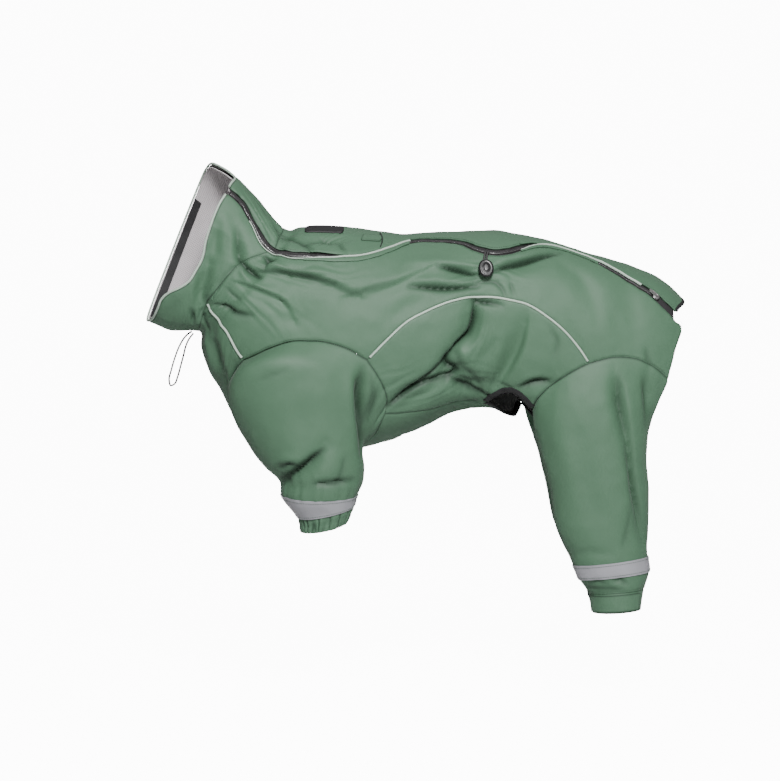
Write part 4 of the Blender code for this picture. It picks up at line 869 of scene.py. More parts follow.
@dataclass
class Form:
    """Points and faces of a piece, before it becomes an object."""

    points: Points
    sets: list[FaceSet]
    near_seam: Points | None = None
    painted_crease_shade: Points | None = None

    def joined_with(self, other: "Form") -> "Form":
        """Both forms as one."""
        shift = len(self.points)
        sets = self.sets + [FaceSet(s.faces + shift, s.uv, s.look) for s in other.sets]
        return Form(np.concatenate([self.points, other.points]), sets)


def add_mesh(name: str, form: Form, looks: Sequence[Material], sharp: float = 58.0) -> Object:
    """A form as a mesh object.

    Args:
        name: the piece's name.
        form: its points and faces.
        looks: the materials that the faces name.
        sharp: edges that turn more than this many degrees stay sharp.

    Returns:
        The object.
    """
    mesh = bpy.data.meshes.new(name)
    mesh.vertices.add(len(form.points))
    mesh.vertices.foreach_set("co", form.points.astype(np.float32).ravel())
    corners = np.concatenate([s.faces.ravel() for s in form.sets]).astype(np.int32)
    sizes = np.concatenate([np.full(len(s.faces), s.faces.shape[1]) for s in form.sets])
    mesh.loops.add(len(corners))
    mesh.loops.foreach_set("vertex_index", corners)
    mesh.polygons.add(len(sizes))
    mesh.polygons.foreach_set("loop_start", np.concatenate([[0], np.cumsum(sizes)[:-1]]).astype(np.int32))
    kinds = np.concatenate([np.full(len(s.faces), s.look) for s in form.sets]).astype(np.int32)
    mesh.polygons.foreach_set("material_index", kinds)
    layer = mesh.uv_layers.new(name="UVMap")
    layer.data.foreach_set("uv", np.concatenate([s.uv.reshape(-1) for s in form.sets]).astype(np.float32))
    mesh.update(calc_edges=True)
    for name, values in (("seam", form.near_seam), ("painted_crease_shade", form.painted_crease_shade)):
        if values is not None:
            mesh.attributes.new(name, "FLOAT", "POINT").data.foreach_set("value", values.astype(np.float32))
    mesh.validate()
    for look in looks:
        mesh.materials.append(look)
    mesh.shade_smooth()
    mesh.set_sharp_from_angle(angle=math.radians(sharp))
    obj = bpy.data.objects.new(mesh.name, mesh)
    bpy.context.scene.collection.objects.link(obj)
    return obj


def turned_out(points: Points, faces: Points, outward: Points) -> Points:
    """Faces in the order that turns them along the outward directions of their points."""
    a, b, c = (points[faces[:, k]] for k in range(3))
    facing = np.sum(np.cross(b - a, c - a) * outward[faces[:, 0]])
    return faces if facing > 0 else faces[:, ::-1]


def shell_form(
    outer: Points, inner: Points, normals: Points, faces: Points, uv: Points,
    near_seam: Points | None = None, painted_crease_shade: Points | None = None,
) -> Form:
    """A closed wall between two skins with the same faces; the inner one has look 1.

    Args:
        outer: points of the outer skin.
        inner: points of the inner skin.
        normals: the outward directions of the points.
        faces: faces of the outer skin, all turned to one side.
        uv: the texture place of each corner of each face.
        near_seam: how near each point is to a seam, 1 on it; it sets worn cloth and a painted shade line.
        painted_crease_shade: how much painted shade each point gets in a crease.

    Returns:
        The wall's form.
    """
    turned = turned_out(outer, faces, normals)
    uv = uv if turned is faces else uv[:, ::-1]
    faces, count = turned, len(outer)
    starts = faces.ravel()
    ends = np.roll(faces, -1, axis=1).ravel()
    ahead = set(zip(starts.tolist(), ends.tolist()))
    rims = np.array([(a, b) for a, b in ahead if (b, a) not in ahead]).reshape(-1, 2)
    place = np.zeros((count, 2))
    place[faces.ravel()] = uv.reshape(-1, 2)
    walls = np.stack([rims[:, 1], rims[:, 0], rims[:, 0] + count, rims[:, 1] + count], axis=1)
    first, second = place[rims[:, 1]], place[rims[:, 0]]
    wall_uv = np.stack([first, second, second + RIM_UV, first + RIM_UV], axis=1)
    sets = [FaceSet(faces, uv), FaceSet(faces[:, ::-1] + count, uv[:, ::-1], 1), FaceSet(walls, wall_uv)]
    near, deep = (None if v is None else np.concatenate([v, v]) for v in (near_seam, painted_crease_shade))
    return Form(np.concatenate([outer, inner]), sets, near, deep)


def row_crossings(loop: Points, y: float) -> Points:
    """Where a closed loop crosses a level line, in order."""
    a, b = loop, np.roll(loop, -1, axis=0)
    hit = (a[:, 1] > y) != (b[:, 1] > y)
    a, b = a[hit], b[hit]
    return np.sort(a[:, 0] + (y - a[:, 1]) / (b[:, 1] - a[:, 1]) * (b[:, 0] - a[:, 0]))


def tree_of(points: Points) -> kdtree.KDTree:
    """A search tree of points in the plane or in space."""
    tree = kdtree.KDTree(len(points))
    for i, p in enumerate(points):
        tree.insert((*p, 0.0) if len(p) == 2 else p, i)
    tree.balance()
    return tree


def distances(tree: kdtree.KDTree, points: Points) -> Points:
    """The distance from each point to the nearest one of a tree."""
    return np.array([tree.find((*p, 0.0) if len(p) == 2 else p)[2] for p in points])


def filled(loop: Points, cell: float) -> tuple[Points, Points, Points]:
    """A closed flat loop filled with triangles, which are finer along its edge.

    Args:
        loop: the loop's flat points.
        cell: the distance between inner points.

    Returns:
        The flat points, the triangles, and for each point its number in the loop or -1.
    """
    area = np.sum(loop[:, 0] * np.roll(loop[:, 1], -1) - loop[:, 1] * np.roll(loop[:, 0], -1))
    ahead = unit(np.roll(loop, -1, axis=0) - np.roll(loop, 1, axis=0))
    inward = np.stack([-ahead[:, 1], ahead[:, 0]], axis=1) * np.sign(area)
    tree = tree_of(loop)
    spots: list[Points] = []
    for offset in RIM_ROWS:
        ring = loop + inward * offset
        spots.append(ring[distances(tree, ring) > 0.9 * offset])
    low, high = loop.min(axis=0), loop.max(axis=0)
    step = cell * math.sqrt(3) / 2
    grid: list[Points] = []
    for r in range(int((high[1] - low[1]) / step) + 1):
        y = low[1] + (r + 0.5) * step
        x = np.arange(low[0] + 0.5 * (r % 2) * cell, high[0], cell)
        inside = np.searchsorted(row_crossings(loop, y), x) % 2 == 1
        grid.append(np.stack([x[inside], np.full(inside.sum(), y)], axis=1))
    inner = np.concatenate(grid)
    spots.append(inner[distances(tree, inner) > RIM_ROWS[-1] + 0.62 * cell])
    points = np.concatenate([loop, *spots])
    edges = [(i, (i + 1) % len(loop)) for i in range(len(loop))]
    found = delaunay_2d_cdt([tuple(p) for p in points], edges, [], 1, 1e-7)
    origin = np.array([min(ids) if ids else -1 for ids in found[3]])
    origin[origin >= len(loop)] = -1
    return np.array([tuple(p) for p in found[0]]), np.array(found[2]), origin


def grid_faces(rows: int, columns: int, wrap: bool = False) -> Points:
    """Quads of a grid of points, joined round its rows if wrap is true."""
    r, c = np.indices((rows - 1, columns if wrap else columns - 1)).reshape(2, -1)
    d = (c + 1) % columns
    return np.stack([r * columns + c, r * columns + d, (r + 1) * columns + d, (r + 1) * columns + c], axis=1)


def grid_uv(along: Points, across: Points, wrap: bool = False) -> Points:
    """Texture places of a grid's quads from lengths along its columns and rows."""
    rows, columns = len(along), len(across) - 1 if wrap else len(across)
    r, c = np.indices((rows - 1, columns if wrap else columns - 1)).reshape(2, -1)
    corners = ((r, c), (r, c + 1), (r + 1, c + 1), (r + 1, c))
    return np.stack([np.stack([across[j], along[i]], axis=1) for i, j in corners], axis=1)


def near_rim(rows: int, columns: int, row_step: float, column_step: float) -> Points:
    """How near each point of a grid is to its rim, 1 on it."""
    r, c = np.indices((rows, columns)).reshape(2, -1)
    from_row = np.minimum(r, rows - 1 - r) * row_step
    from_column = np.minimum(c, columns - 1 - c) * column_step
    return np.exp(-np.minimum(from_row, from_column) / SEAM_FADE)


def capped(rings: Points, outward: Points, uv: Points) -> Form:
    """A solid through rings of points, closed at both ends.

    Args:
        rings: rows of as many points each.
        outward: the outward direction at each point.
        uv: the texture places of the faces between the rings.

    Returns:
        The solid's form.
    """
    rows, count = rings.shape[:2]
    points = rings.reshape(-1, 3)
    faces = grid_faces(rows, count, wrap=True)
    ids = np.arange(count)
    nexts, last = (ids + 1) % count, (rows - 1) * count
    start = np.stack([nexts, ids, np.full(count, len(points))], axis=1)
    end = np.stack([ids + last, nexts + last, np.full(count, len(points) + 1)], axis=1)
    caps = np.concatenate([start, end])
    if turned_out(points, faces, outward) is not faces:
        faces, caps, uv = faces[:, ::-1], caps[:, ::-1], uv[:, ::-1]
    points = np.concatenate([points, [rings[0].mean(axis=0), rings[-1].mean(axis=0)]])
    return Form(points, [FaceSet(faces, uv), FaceSet(caps, np.zeros((len(caps), 3, 2)))])


def stacked(rings: Sequence[Points]) -> Form:
    """A small solid through a few rings of as many points, without texture places."""
    body = np.array(rings)
    flat = body.reshape(-1, 3)
    return capped(body, flat - flat.mean(axis=0), np.zeros(((len(body) - 1) * body.shape[1], 4, 2)))


def sweep(
    points: Points, sides: Points, normals: Points, profile: Sequence[Pair], swell: Points | None = None
) -> Form:
    """A bar along a line.

    Args:
        points: the line.
        sides: the direction across it at each point.
        normals: the outward direction at each point.
        profile: its section as (across, outward) pairs, in turn.
        swell: how much wider or narrower the section is at each point.

    Returns:
        The bar's form.
    """
    section = np.array(profile)
    swell = np.ones(len(points)) if swell is None else swell
    offset = sides[:, None] * section[None, :, :1] + normals[:, None] * section[None, :, 1:]
    body = points[:, None] + offset * swell[:, None, None]
    ring = run_of(np.concatenate([section, section[:1]]))
    outward = (body - body.mean(axis=1, keepdims=True)).reshape(-1, 3)
    return capped(body, outward, grid_uv(run_of(body.mean(axis=1)), ring, wrap=True))


def oval(half_width: float, half_height: float, count: int) -> list[Pair]:
    """An oval section."""
    turns = np.linspace(0, 2 * math.pi, count, endpoint=False)
    return [(half_width * math.cos(t), half_height * math.sin(t)) for t in turns]


def round_profile(width: float, height: float, low: float, count: int = 10) -> list[Pair]:
    """A half-round section that stands on a seam."""
    turns = np.linspace(0, math.pi, count)
    arc = [(-width / 2 * math.cos(t), low + height * math.sin(t) ** 0.8) for t in turns]
    return [*arc, (width / 2, low - 0.6 * MM), (-width / 2, low - 0.6 * MM)]


def stitch_form(
    points: Points, normals: Points, pitch: float = 3.1 * MM, long: float = 2.3 * MM, wide: float = 0.5 * MM
) -> Form:
    """A row of sewing stitches along a line on the cloth."""
    run = run_of(points)
    count = int(run[-1] / pitch)
    if count < 1:
        return Form(np.zeros((0, 3)), [])
    middle = (np.arange(count) + 0.5) * run[-1] / count
    ends_a, ends_b = (read_rows(middle + way * long / 2, run, points) for way in (-1, 1))
    centre, out = (ends_a + ends_b) / 2, unit(read_rows(middle, run, normals))
    ahead = unit(ends_b - ends_a)
    side = unit(np.cross(out, ahead))
    rings = ((-0.5, 0.35), (-0.3, 1.0), (0.3, 1.0), (0.5, 0.35))
    corners = ((-0.5, 0.0), (-0.35, 0.42), (0.35, 0.42), (0.5, 0.0), (0.0, -0.3))
    rows = []
    for share, size in rings:
        for across, up in corners:
            rows.append(centre + ahead * share * long + side * across * wide * size + out * up * wide * size)
    body = np.stack(rows, axis=1)
    tube = grid_faces(len(rings), len(corners), wrap=True)[:, ::-1]
    caps = np.array([[0, 1, 2], [0, 2, 3], [0, 3, 4], [17, 16, 15], [18, 17, 15], [19, 18, 15]])
    shift = (np.arange(count) * body.shape[1])[:, None, None]
    quads = (tube[None] + shift).reshape(-1, 4)
    ends = (caps[None] + shift).reshape(-1, 3)
    sets = [FaceSet(quads, np.zeros((len(quads), 4, 2))), FaceSet(ends, np.zeros((len(ends), 3, 2)))]
    return Form(body.reshape(-1, 3), sets)


def sum_of(forms: Sequence[Form]) -> Form:
    """Several forms as one."""
    total = forms[0]
    for form in forms[1:]:
        total = total.joined_with(form)
    return total


# Pieces and their facts


class Body(Enum):
    """The bodies that pieces ride on."""

    GARMENT = "garment"
    PULL_TAB = "pull_tab"


@dataclass(frozen=True)
class Cut:
    """How a sheet was cut: its width, length and flat area, how it is held and what it is sewn to."""

    width: float
    length: float
    area: float | None
    held: str
    rests_on: tuple[str, ...]


def both_sides(
    kind: str, width: float, length: float, area: float | None, held: str, sewn_to: str = ""
) -> dict[str, Cut]:
    """The cuts of a piece that each side has, sewn to the piece of that kind or else to the panel there."""
    panels = {"left": "side_panel_left", "right": "back_panel"}
    rests = {side: f"{sewn_to}_{side}" if sewn_to else panel for side, panel in panels.items()}
    return {f"{kind}_{side}": Cut(width, length, area, held, (rest,)) for side, rest in rests.items()}


CUTS = {
    "back_panel": Cut(0.31, 0.57, 0.133, "draped", ("side_panel_left", "lower_side_right")),
    "side_panel_left": Cut(0.19, 0.56, 0.065, "draped", ("back_panel", "lower_side_left")),
    "chest_panel": Cut(0.30, 0.16, 0.029, "draped", ("side_panel_left", "back_panel")),
    "belly_panel": Cut(0.21, 0.21, 0.031, "gathered", ("lower_side_left", "lower_side_right")),
    "lower_side_left": Cut(0.17, 0.33, 0.033, "draped", ("side_panel_left",)),
    "lower_side_right": Cut(0.18, 0.34, 0.035, "draped", ("back_panel",)),
    "collar_outer": Cut(0.46, 0.17, 0.043, "draped", ("side_panel_left", "back_panel")),
    "collar_lining": Cut(0.45, 0.17, 0.040, "draped", ("collar_outer",)),
    "collar_facing": Cut(0.36, 0.012, None, "draped", ("collar_lining",)),
    **both_sides("sleeve", 0.52, 0.22, 0.061, "hung"),
    **both_sides("leg", 0.45, 0.33, 0.083, "hung"),
    **both_sides("sleeve_cuff", 0.27, 0.020, None, "gathered", "sleeve"),
    **both_sides("leg_cuff", 0.22, 0.027, None, "stretched", "leg"),
    **both_sides("sleeve_tape", 0.24, 0.026, None, "laid", "sleeve"),
    **both_sides("leg_tape", 0.245, 0.021, None, "laid", "leg"),
    **both_sides("leg_tab", 0.085, 0.021, None, "laid", "leg_cuff"),
    "zip_tape": Cut(0.018, 0.62, None, "laid", ("back_panel", "side_panel_left")),
    "label_patch": Cut(0.051, 0.014, None, "laid", ("back_panel",)),
    "lead_patch": Cut(0.028, 0.019, None, "laid", ("back_panel",)),
}


def dress(obj: Object, *nodes: str, slot: str, body: Body = Body.GARMENT) -> Object:
    """Makes a piece ride on its body in place of CAD nodes, and reports it."""
    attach(obj, body.value)
    if nodes:
        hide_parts(*nodes)
    count = len(getattr(obj.data, "vertices", ()))
    LOG.info("%s: %d points, for %s", obj.name, count, ", ".join(nodes) or "trim")
    return obj


def declare(obj: Object, node: str) -> None:
    """Looks up the cut of a piece's node; it declares nothing."""
    cut = CUTS[node]
    list(cut.rests_on)


# Seams of the left side, in millimetres in the side view

ARM_FRONT = (-114, -174)
ARM_REAR = (49, -174)
ARM_BELLY = (73, -246)
NECK_PIPING = (-164, -101)
LEG_TOP = (342, -179)
LEG_FRONT = (267, -239)
LEG_REAR = (446, -199)
OPEN_FRONT = (205, -229)
TAIL_CORNER = (456, -117)
FRONT_PIPING = (NECK_PIPING, (-157, -112), (-147, -121), (-138, -135), (-128, -152), (-120, -167), ARM_FRONT)
ARM_TOP = (ARM_FRONT, (-102, -169), (-83, -160), (-47, -149), (-20, -149), (22, -159), ARM_REAR)
ARM_BACK = (ARM_REAR, (61, -192), (71, -211), (76, -229), ARM_BELLY)
SIDE_PIPING = (
    ARM_REAR, (74, -149), (100, -125), (127, -110), (153, -99), (180, -92), (202, -91), (232, -94),
    (260, -101), (286, -117), (313, -140), (331, -162), LEG_TOP,
)
BELLY_SEAM = (ARM_BELLY, (100, -245), (136, -239), (164, -230), OPEN_FRONT)
OPENING_SIDE = (OPEN_FRONT, (216, -222), (228, -217), (240, -216), (250, -221), (259, -230), LEG_FRONT)
LEG_FRONT_SEAM = (LEG_FRONT, (272, -228), (285, -214), (305, -199), (325, -187), LEG_TOP)
LEG_TOP_SEAM = (
    LEG_TOP, (356, -175), (374, -171), (392, -171), (411, -175), (425, -182), (436, -190), LEG_REAR,
)
REAR_EDGE = (TAIL_CORNER, (461, -124), (464, -134), (461, -146), (456, -160), (452, -177), LEG_REAR)
NECK_SEAM = (
    (-68, -16), (-79, -31), (-95, -36), (-117, -45), (-134, -62), (-147, -78), NECK_PIPING, (-169, -120),
)
ZIP_LINE = (
    (-133, 49), (-115, 32), (-100, 7), (-86, -20), (-70, -32), (-53, -35), (-29, -36), (18, -37), (49, -34),
    (78, -26), (100, -19), (116, -16), (144, -16), (170, -18), (198, -28), (219, -32), (236, -30),
    (253, -25), (281, -22), (302, -26), (327, -34), (358, -47), (396, -67), (433, -93), TAIL_CORNER,
)
RIM_LEFT = (
    (-143, 33), (-157, -1), (-162, -17), (-167, -40), (-175, -56), (-186, -73), (-198, -81), (-211, -87),
    (-219, -93), (-226, -108), (-232, -120),
)
# Lines given as stations and degrees round the body
ARM_UNDER = ((10.3, 153), (9.4, 162), (8.2, 165), (7.1, 163), (6.2, 158), (5.4, 150))
ARM_FRONT_LOW = ((-125, -233), (-131, -215), (-129, -196), (-121, -182))
OPEN_FRONT_RIGHT = (15.0, -166)
FLAP_EDGE = ((21.25, 32), (21.5, 10), (21.5, -10), (21.25, -32))
OPEN_UNDER = ((14.25, 168), (14.55, 182))
RIM_RIGHT = (
    (0.03, 182), (0.0, 205), (0.0, 235), (0.0, 270), (0.0, 305), (0.02, 328), (0.10, 342), (0.36, 352),
    (0.66, 362),
)
ZIP_HALF_GAP = 5.4 * MM
NECK_STATION = 2.0


def degrees_line(rows: Sequence[Pair]) -> list[Pair]:
    """Rows of station and degrees as station and angle."""
    return [(u, math.radians(a)) for u, a in rows]


class Seams:
    """All seam lines of the trunk, left side first."""

    def __init__(self, trunk: Trunk) -> None:
        self.trunk = trunk
        self.front_piping = trunk.seam(FRONT_PIPING)
        self.arm_top = trunk.seam(ARM_TOP)
        self.arm_back = trunk.seam(ARM_BACK)
        self.side_piping = trunk.seam(SIDE_PIPING)
        self.belly = trunk.seam(BELLY_SEAM)
        self.opening_side = trunk.seam(OPENING_SIDE)
        self.leg_front = trunk.seam(LEG_FRONT_SEAM)
        self.leg_top = trunk.seam(LEG_TOP_SEAM)
        self.rear_edge = trunk.seam(REAR_EDGE)
        self.split_arm_under()
        self.make_zip()
        self.make_right_opening()
        self.make_flap_and_rim()

    def split_arm_under(self) -> None:
        """The armhole's inner half, in two stretches that meet at the chest and belly seam."""
        front = [self.trunk.find(*p) for p in ARM_FRONT_LOW]
        points = np.array([self.arm_back[-1], *degrees_line(ARM_UNDER), *front, self.arm_top[0]])
        whole = self.trunk.even(points, count=90)
        cross = int(np.argmin(np.abs(whole[:30, 0] - ARM_UNDER[1][0])))
        self.arm_under_belly = self.trunk.even(whole[: cross + 1])
        self.arm_under_chest = self.trunk.even(whole[cross:])

    def make_zip(self) -> None:
        """The zip's middle line and the neck seam, which cross, and the cloth edges beside the zip."""
        t = self.trunk
        neck = np.array([(NECK_STATION, 0.0), *[t.find(*p) for p in NECK_SEAM], (NECK_STATION, math.pi)])
        neck = t.even(neck, count=700)
        fine = t.even(np.array([t.find(*p) for p in ZIP_LINE]), count=400)
        self.zip_fine = fine
        low, high = t.moved(fine, ZIP_HALF_GAP), t.moved(fine, -ZIP_HALF_GAP)
        low_cut, neck_low = self.crossing(low, neck)
        high_cut, neck_high = self.crossing(high, neck)
        low[low_cut], high[high_cut] = neck[neck_low], neck[neck_high]
        self.low_collar, self.low_body = low[: low_cut + 1], low[low_cut:]
        self.high_collar, self.high_body = high[: high_cut + 1], high[high_cut:]
        start = int(np.argmin(np.linalg.norm(t.flat(neck) - t.flat(self.front_piping[:1]), axis=1)))
        self.front_piping[0] = neck[start]
        self.neck_left = t.even(neck[neck_low : start + 1])
        front = t.even(neck[start:])
        self.neck_front = np.concatenate([front, mirrored(front[::-1])[1:] + (0.0, 2 * math.pi)])
        back = mirrored(t.even(neck[: start + 1]))[::-1]
        self.neck_right = np.concatenate([back[:-1], t.even(neck[: neck_high + 1])])
        away = np.linalg.norm(t.flat(self.rear_edge) - t.flat(self.low_body[-1:]), axis=1)
        beyond = int(np.argmin(away)) + 2
        edge = [self.low_body[-1:], self.rear_edge[beyond:-2:2], self.rear_edge[-1:]]
        self.rear_edge = t.even(np.concatenate(edge))

    def crossing(self, a: Points, b: Points) -> tuple[int, int]:
        """The numbers of the points at which two fine lines come nearest."""
        away = np.linalg.norm(self.trunk.flat(a)[:, None] - self.trunk.flat(b)[None], axis=2)
        i, j = np.unravel_index(np.argmin(away), away.shape)
        return int(i), int(j)

    def make_right_opening(self) -> None:
        """The right side's belly seam and opening edge, which hang lower than the left ones."""
        t = self.trunk
        corner = (OPEN_FRONT_RIGHT[0], math.radians(OPEN_FRONT_RIGHT[1]))
        left = np.array([t.find(*p) for p in BELLY_SEAM[:-1]])
        self.belly_right = t.even(np.array([*mirrored(left), corner]))
        self.opening_right = t.even(np.array([corner, mirrored(t.find(*LEG_FRONT))]))
        end = (corner[0], corner[1] + 2 * math.pi)
        self.opening_front = t.even(np.array([self.belly[-1], *degrees_line(OPEN_UNDER), end]))

    def make_flap_and_rim(self) -> None:
        """The tail flap's end and the collar's rim."""
        t = self.trunk
        flap = np.array([self.high_body[-1], *degrees_line(FLAP_EDGE), mirrored(self.rear_edge[0])])
        self.flap = t.even(flap)
        left = [t.find(*p) for p in RIM_LEFT]
        end = self.high_collar[0] + (0.0, 2 * math.pi)
        self.rim = t.even(np.array([self.low_collar[0], *left, *degrees_line(RIM_RIGHT), end]))

    def armhole(self) -> Points:
        """The left armhole as a closed loop."""
        return joined(self.arm_top, self.arm_back, self.arm_under_belly, self.arm_under_chest)


# Folds of the trunk

R, C, L = FoldShape.ROUND, FoldShape.CREASE, FoldShape.LEDGE
MAIN_FOLDS = (
    Fold(((-94, -58), (-55, -60), (-20, -67), (8, -75), (34, -87)), 4.0, 11, L, 0.8),
    Fold(((34, -87), (75, -76), (98, -67), (122, -56)), 3.0, 13, L, 0.8),
    Fold(((78, -118), (105, -103), (140, -88)), -3.5, 13, R, 0.6),
    Fold(((189, -108), (187, -134), (165, -160)), -10, 13, R, 0.8),
    Fold(((165, -160), (155, -178), (161, -206)), -9, 12, R, 0.8),
    Fold(((84, -236), (124, -218), (162, -196)), -6, 13),
    Fold(((166, -206), (184, -208), (202, -206)), -6, 11),
    Fold(((256, -130), (241, -168), (218, -208)), -9, 13, R, 0.8),
    Fold(((262, -206), (280, -203), (298, -192)), -4, 12),
    Fold(((150, -62), (172, -60), (196, -66)), -5, 10),
    Fold(((228, -56), (255, -50), (284, -44)), -5, 10),
    Fold(((-164, -50), (-172, -84), (-167, -118)), -13, 12),
    Fold(((-146, -2), (-150, -22), (-152, -42)), -7, 11, R, 0.8),
    Fold(((-122, -14), (-121, -30), (-120, -48)), -6, 9, R, 0.8),
    Fold(((-155, -145), (-152, -166), (-143, -190)), -7, 12, R, 0.8),
    Fold(((-40, -15), (-10, -15), (24, -16)), -4, 9),
    Fold(((390, -60), (398, -110), (402, -160)), -3.5, 18, R, 0.8),
    Fold(((300, -50), (345, -90), (380, -150)), -3, 22, R, 0.8),
    Fold(((-60, -90), (-20, -118), (30, -130)), -3, 20, R, 0.8),
)
FINE_FOLDS = (
    Fold(((-94, -57), (-60, -59), (-22, -66), (6, -74)), -3.2, 4, C, 0.6),
    Fold(((6, -74), (34, -86), (58, -78), (84, -70)), -2.2, 5, C, 0.6),
    Fold(((142, -50), (160, -53), (178, -57), (195, -61)), -4.6, 4.5, C, 0.5),
    Fold(((100, -46), (130, -44), (160, -47), (188, -52)), 2.6, 8, R, 0.5),
    Fold(((104, -76), (135, -78), (160, -79.5), (194, -78)), -4.6, 4.5, C, 0.5),
    Fold(((104, -69), (150, -69), (192, -69)), 2.4, 6, R, 0.5),
    Fold(((214, -58), (238, -49), (262, -42), (304, -32)), -5.0, 5.5, C, 0.5),
    Fold(((214, -48), (245, -40), (284, -31)), 2.2, 6, R, 0.4),
    Fold(((190, -71), (205, -71), (219, -72), (228, -82), (231, -90)), -3.4, 3.6, C),
    Fold(((238, -70), (240, -80), (243, -88)), -2.0, 4, C),
    Fold(((186, -95), (205, -99), (228, -103)), -3.6, 4, C, 0.5),
    Fold(((190, -101), (189.5, -124), (185, -138), (170, -152), (156, -172)), -7.5, 5, C, 0.7),
    Fold(((190, -105), (189, -124), (184, -139), (168, -154), (154, -170)), -3.4, 6, L, 0.7),
    Fold(((154, -170), (158, -182), (168, -192), (158, -203)), -5.5, 4.5, C, 0.6),
    Fold(((154, -174), (128, -198), (92, -222)), -3.8, 5, C, 0.5),
    Fold(((160, -200), (112, -212), (74, -238)), -5.0, 5, C, 0.5),
    Fold(((160, -200), (112, -212), (74, -238)), 2.6, 8, L, 0.5),
    Fold(((162, -203), (186, -214), (212, -224)), -4.6, 4.5, C, 0.5),
    Fold(((164, -197), (178, -200), (190, -206)), -2.6, 4, C),
    Fold(((168, -166), (173, -181), (191, -198), (200, -213)), -3.4, 5, C, 0.5),
    Fold(((172, -146), (174, -160), (180, -176)), 2.4, 5, R),
    Fold(((215, -151), (208, -164), (201, -178)), -2.6, 6, R, 0.4),
    Fold(((260, -130), (255, -152), (240, -184), (222, -210)), 3.6, 7, L, 0.5),
    Fold(((249, -211), (270, -204), (292, -203)), -4.4, 4.5, C, 0.5),
    Fold(((249, -206), (268, -198), (286, -197)), 2.0, 5, R, 0.5),
    Fold(((217, -208), (242, -212)), -2.2, 4, C),
    Fold(((228, -150), (222, -172), (214, -196)), 2.4, 8, R),
    Fold(((290, -132), (300, -150), (296, -168)), -2.0, 6, C, 0.5),
    Fold(((-86, -38), (-80, -46), (-72, -43)), -4.0, 3.2, C),
    Fold(((-78, -42), (-84, -51), (-86, -56)), -3.2, 3.0, C),
    Fold(((-94, -50), (-80, -49), (-58, -52)), 2.6, 5, R),
    Fold(((-119, -42), (-108, -56), (-92, -66)), -5.0, 4, C, 0.6),
    Fold(((-118, -50), (-114, -62), (-104, -70)), 2.2, 4, R),
    Fold(((-152, -102), (-128, -110), (-103, -116)), -3.4, 5, C, 0.6),
    Fold(((-118, -72), (-90, -82), (-63, -95), (-48, -116)), 3.4, 7, L, 0.5),
    Fold(((-118, -46), (-138, -62), (-150, -84)), -1.6, 4, C, 0.5),
    Fold(((-136, -80), (-126, -90), (-118, -96)), -2.4, 4, C),
    Fold(((-74, -119), (-50, -122), (-25, -122)), -1.6, 7, R, 0.5),
    Fold(((-36, -22), (-18, -17), (0, -18)), -2.6, 5, C),
    Fold(((10, -17), (16, -25), (22, -34)), -3.0, 3.6, C),
    Fold(((-12, -12), (-2, -18), (6, -20)), -2.6, 3.6, C),
    Fold(((-62, -8), (-54, -14), (-28, -26), (-22, -34)), -4.0, 4.5, C),
    Fold(((-76, 10), (-68, -4), (-60, -16)), -4.0, 4.5, C),
    Fold(((-86, 12), (-76, -6), (-66, -22)), 2.6, 5, R),
    Fold(((-104, 44), (-94, 32), (-86, 20)), -3.4, 5, C),
    Fold(((-112, 30), (-100, 14), (-92, 0)), -2.0, 6, R),
    Fold(((-164, -136), (-160, -165), (-154, -196)), 3.0, 8, R, 0.8),
    Fold(((-125, -178), (-121, -198), (-118, -217)), -3.2, 7, C, 0.8),
    Fold(((-140, -150), (-136, -180), (-130, -212)), 2.4, 8, R, 0.8),
    Fold(((-171, -112), (-166, -124), (-160, -136)), -4.4, 4.5, C, 0.8),
    Fold(((-184, -108), (-181, -118), (-178, -126)), -4.4, 4.0, C, 0.8),
    Fold(((-177, -60), (-181, -84), (-176, -108)), 3.6, 6, R),
    Fold(((-138, 12), (-142, -10), (-146, -34)), 3.0, 7, R, 0.6),
    Fold(((-130, -2), (-128, -22), (-126, -44)), 2.8, 6, R, 0.6),
    Fold(((-122, -2), (-121, -26), (-119, -48)), -2.6, 5, C, 0.6),
    Fold(((-196, -96), (-206, -108), (-214, -124)), -2.2, 8, R, 0.8),
    Fold(((417, -160), (420, -176), (426, -186)), -2.6, 4.5, C, 0.8),
    Fold(((300, -44), (330, -62), (352, -90)), -2.0, 12, R, 0.8),
    Fold(((318, -120), (322, -140), (336, -170)), -2.0, 9, R, 0.8),
    Fold(((356, -70), (362, -110), (366, -150)), 1.6, 12, R, 0.8),
    Fold(((148, -51.5), (170, -54.5), (192, -62)), -3.4, 3, C),
    Fold(((108, -76), (150, -79.5), (196, -77)), -2.6, 5, C),
    Fold(((213, -59), (240, -48), (262, -42), (298, -33)), -3.6, 3, C),
    Fold(((188, -95), (205, -97.5), (222, -98)), -2.6, 3, C),
    Fold(((190.5, -103), (189.5, -124), (185, -138), (165, -157)), -3.4, 3.4, C, 0.6),
    Fold(((156, -168), (154, -174), (168, -191.5), (157, -201)), -4.0, 3.4, C, 0.6),
    Fold(((156, -175), (120, -205), (74, -238)), -3.2, 3.4, C, 0.6),
    Fold(((160, -199), (112, -212), (78, -236)), -2.6, 3.2, C, 0.6),
    Fold(((165, -202), (190, -214), (211, -223)), -3.0, 3.2, C, 0.6),
    Fold(((249, -211), (270, -203), (290, -203)), -3.0, 3.2, C, 0.6),
    Fold(((-92, -57), (-54, -58), (-20, -65), (8, -73)), -2.2, 3.2, C, 0.6),
    Fold(((-119, -42), (-106, -54), (-93, -66)), -3.0, 3.2, C, 0.6),
    Fold(((-86, -37), (-78, -43), (-73, -42)), -3.0, 3.0, C),
    Fold(((-152, -102), (-126, -110), (-104, -115)), -2.6, 3.2, C, 0.6),
    Fold(((-168, -14), (-161, -42), (-164, -70)), -2.6, 6, R),
)
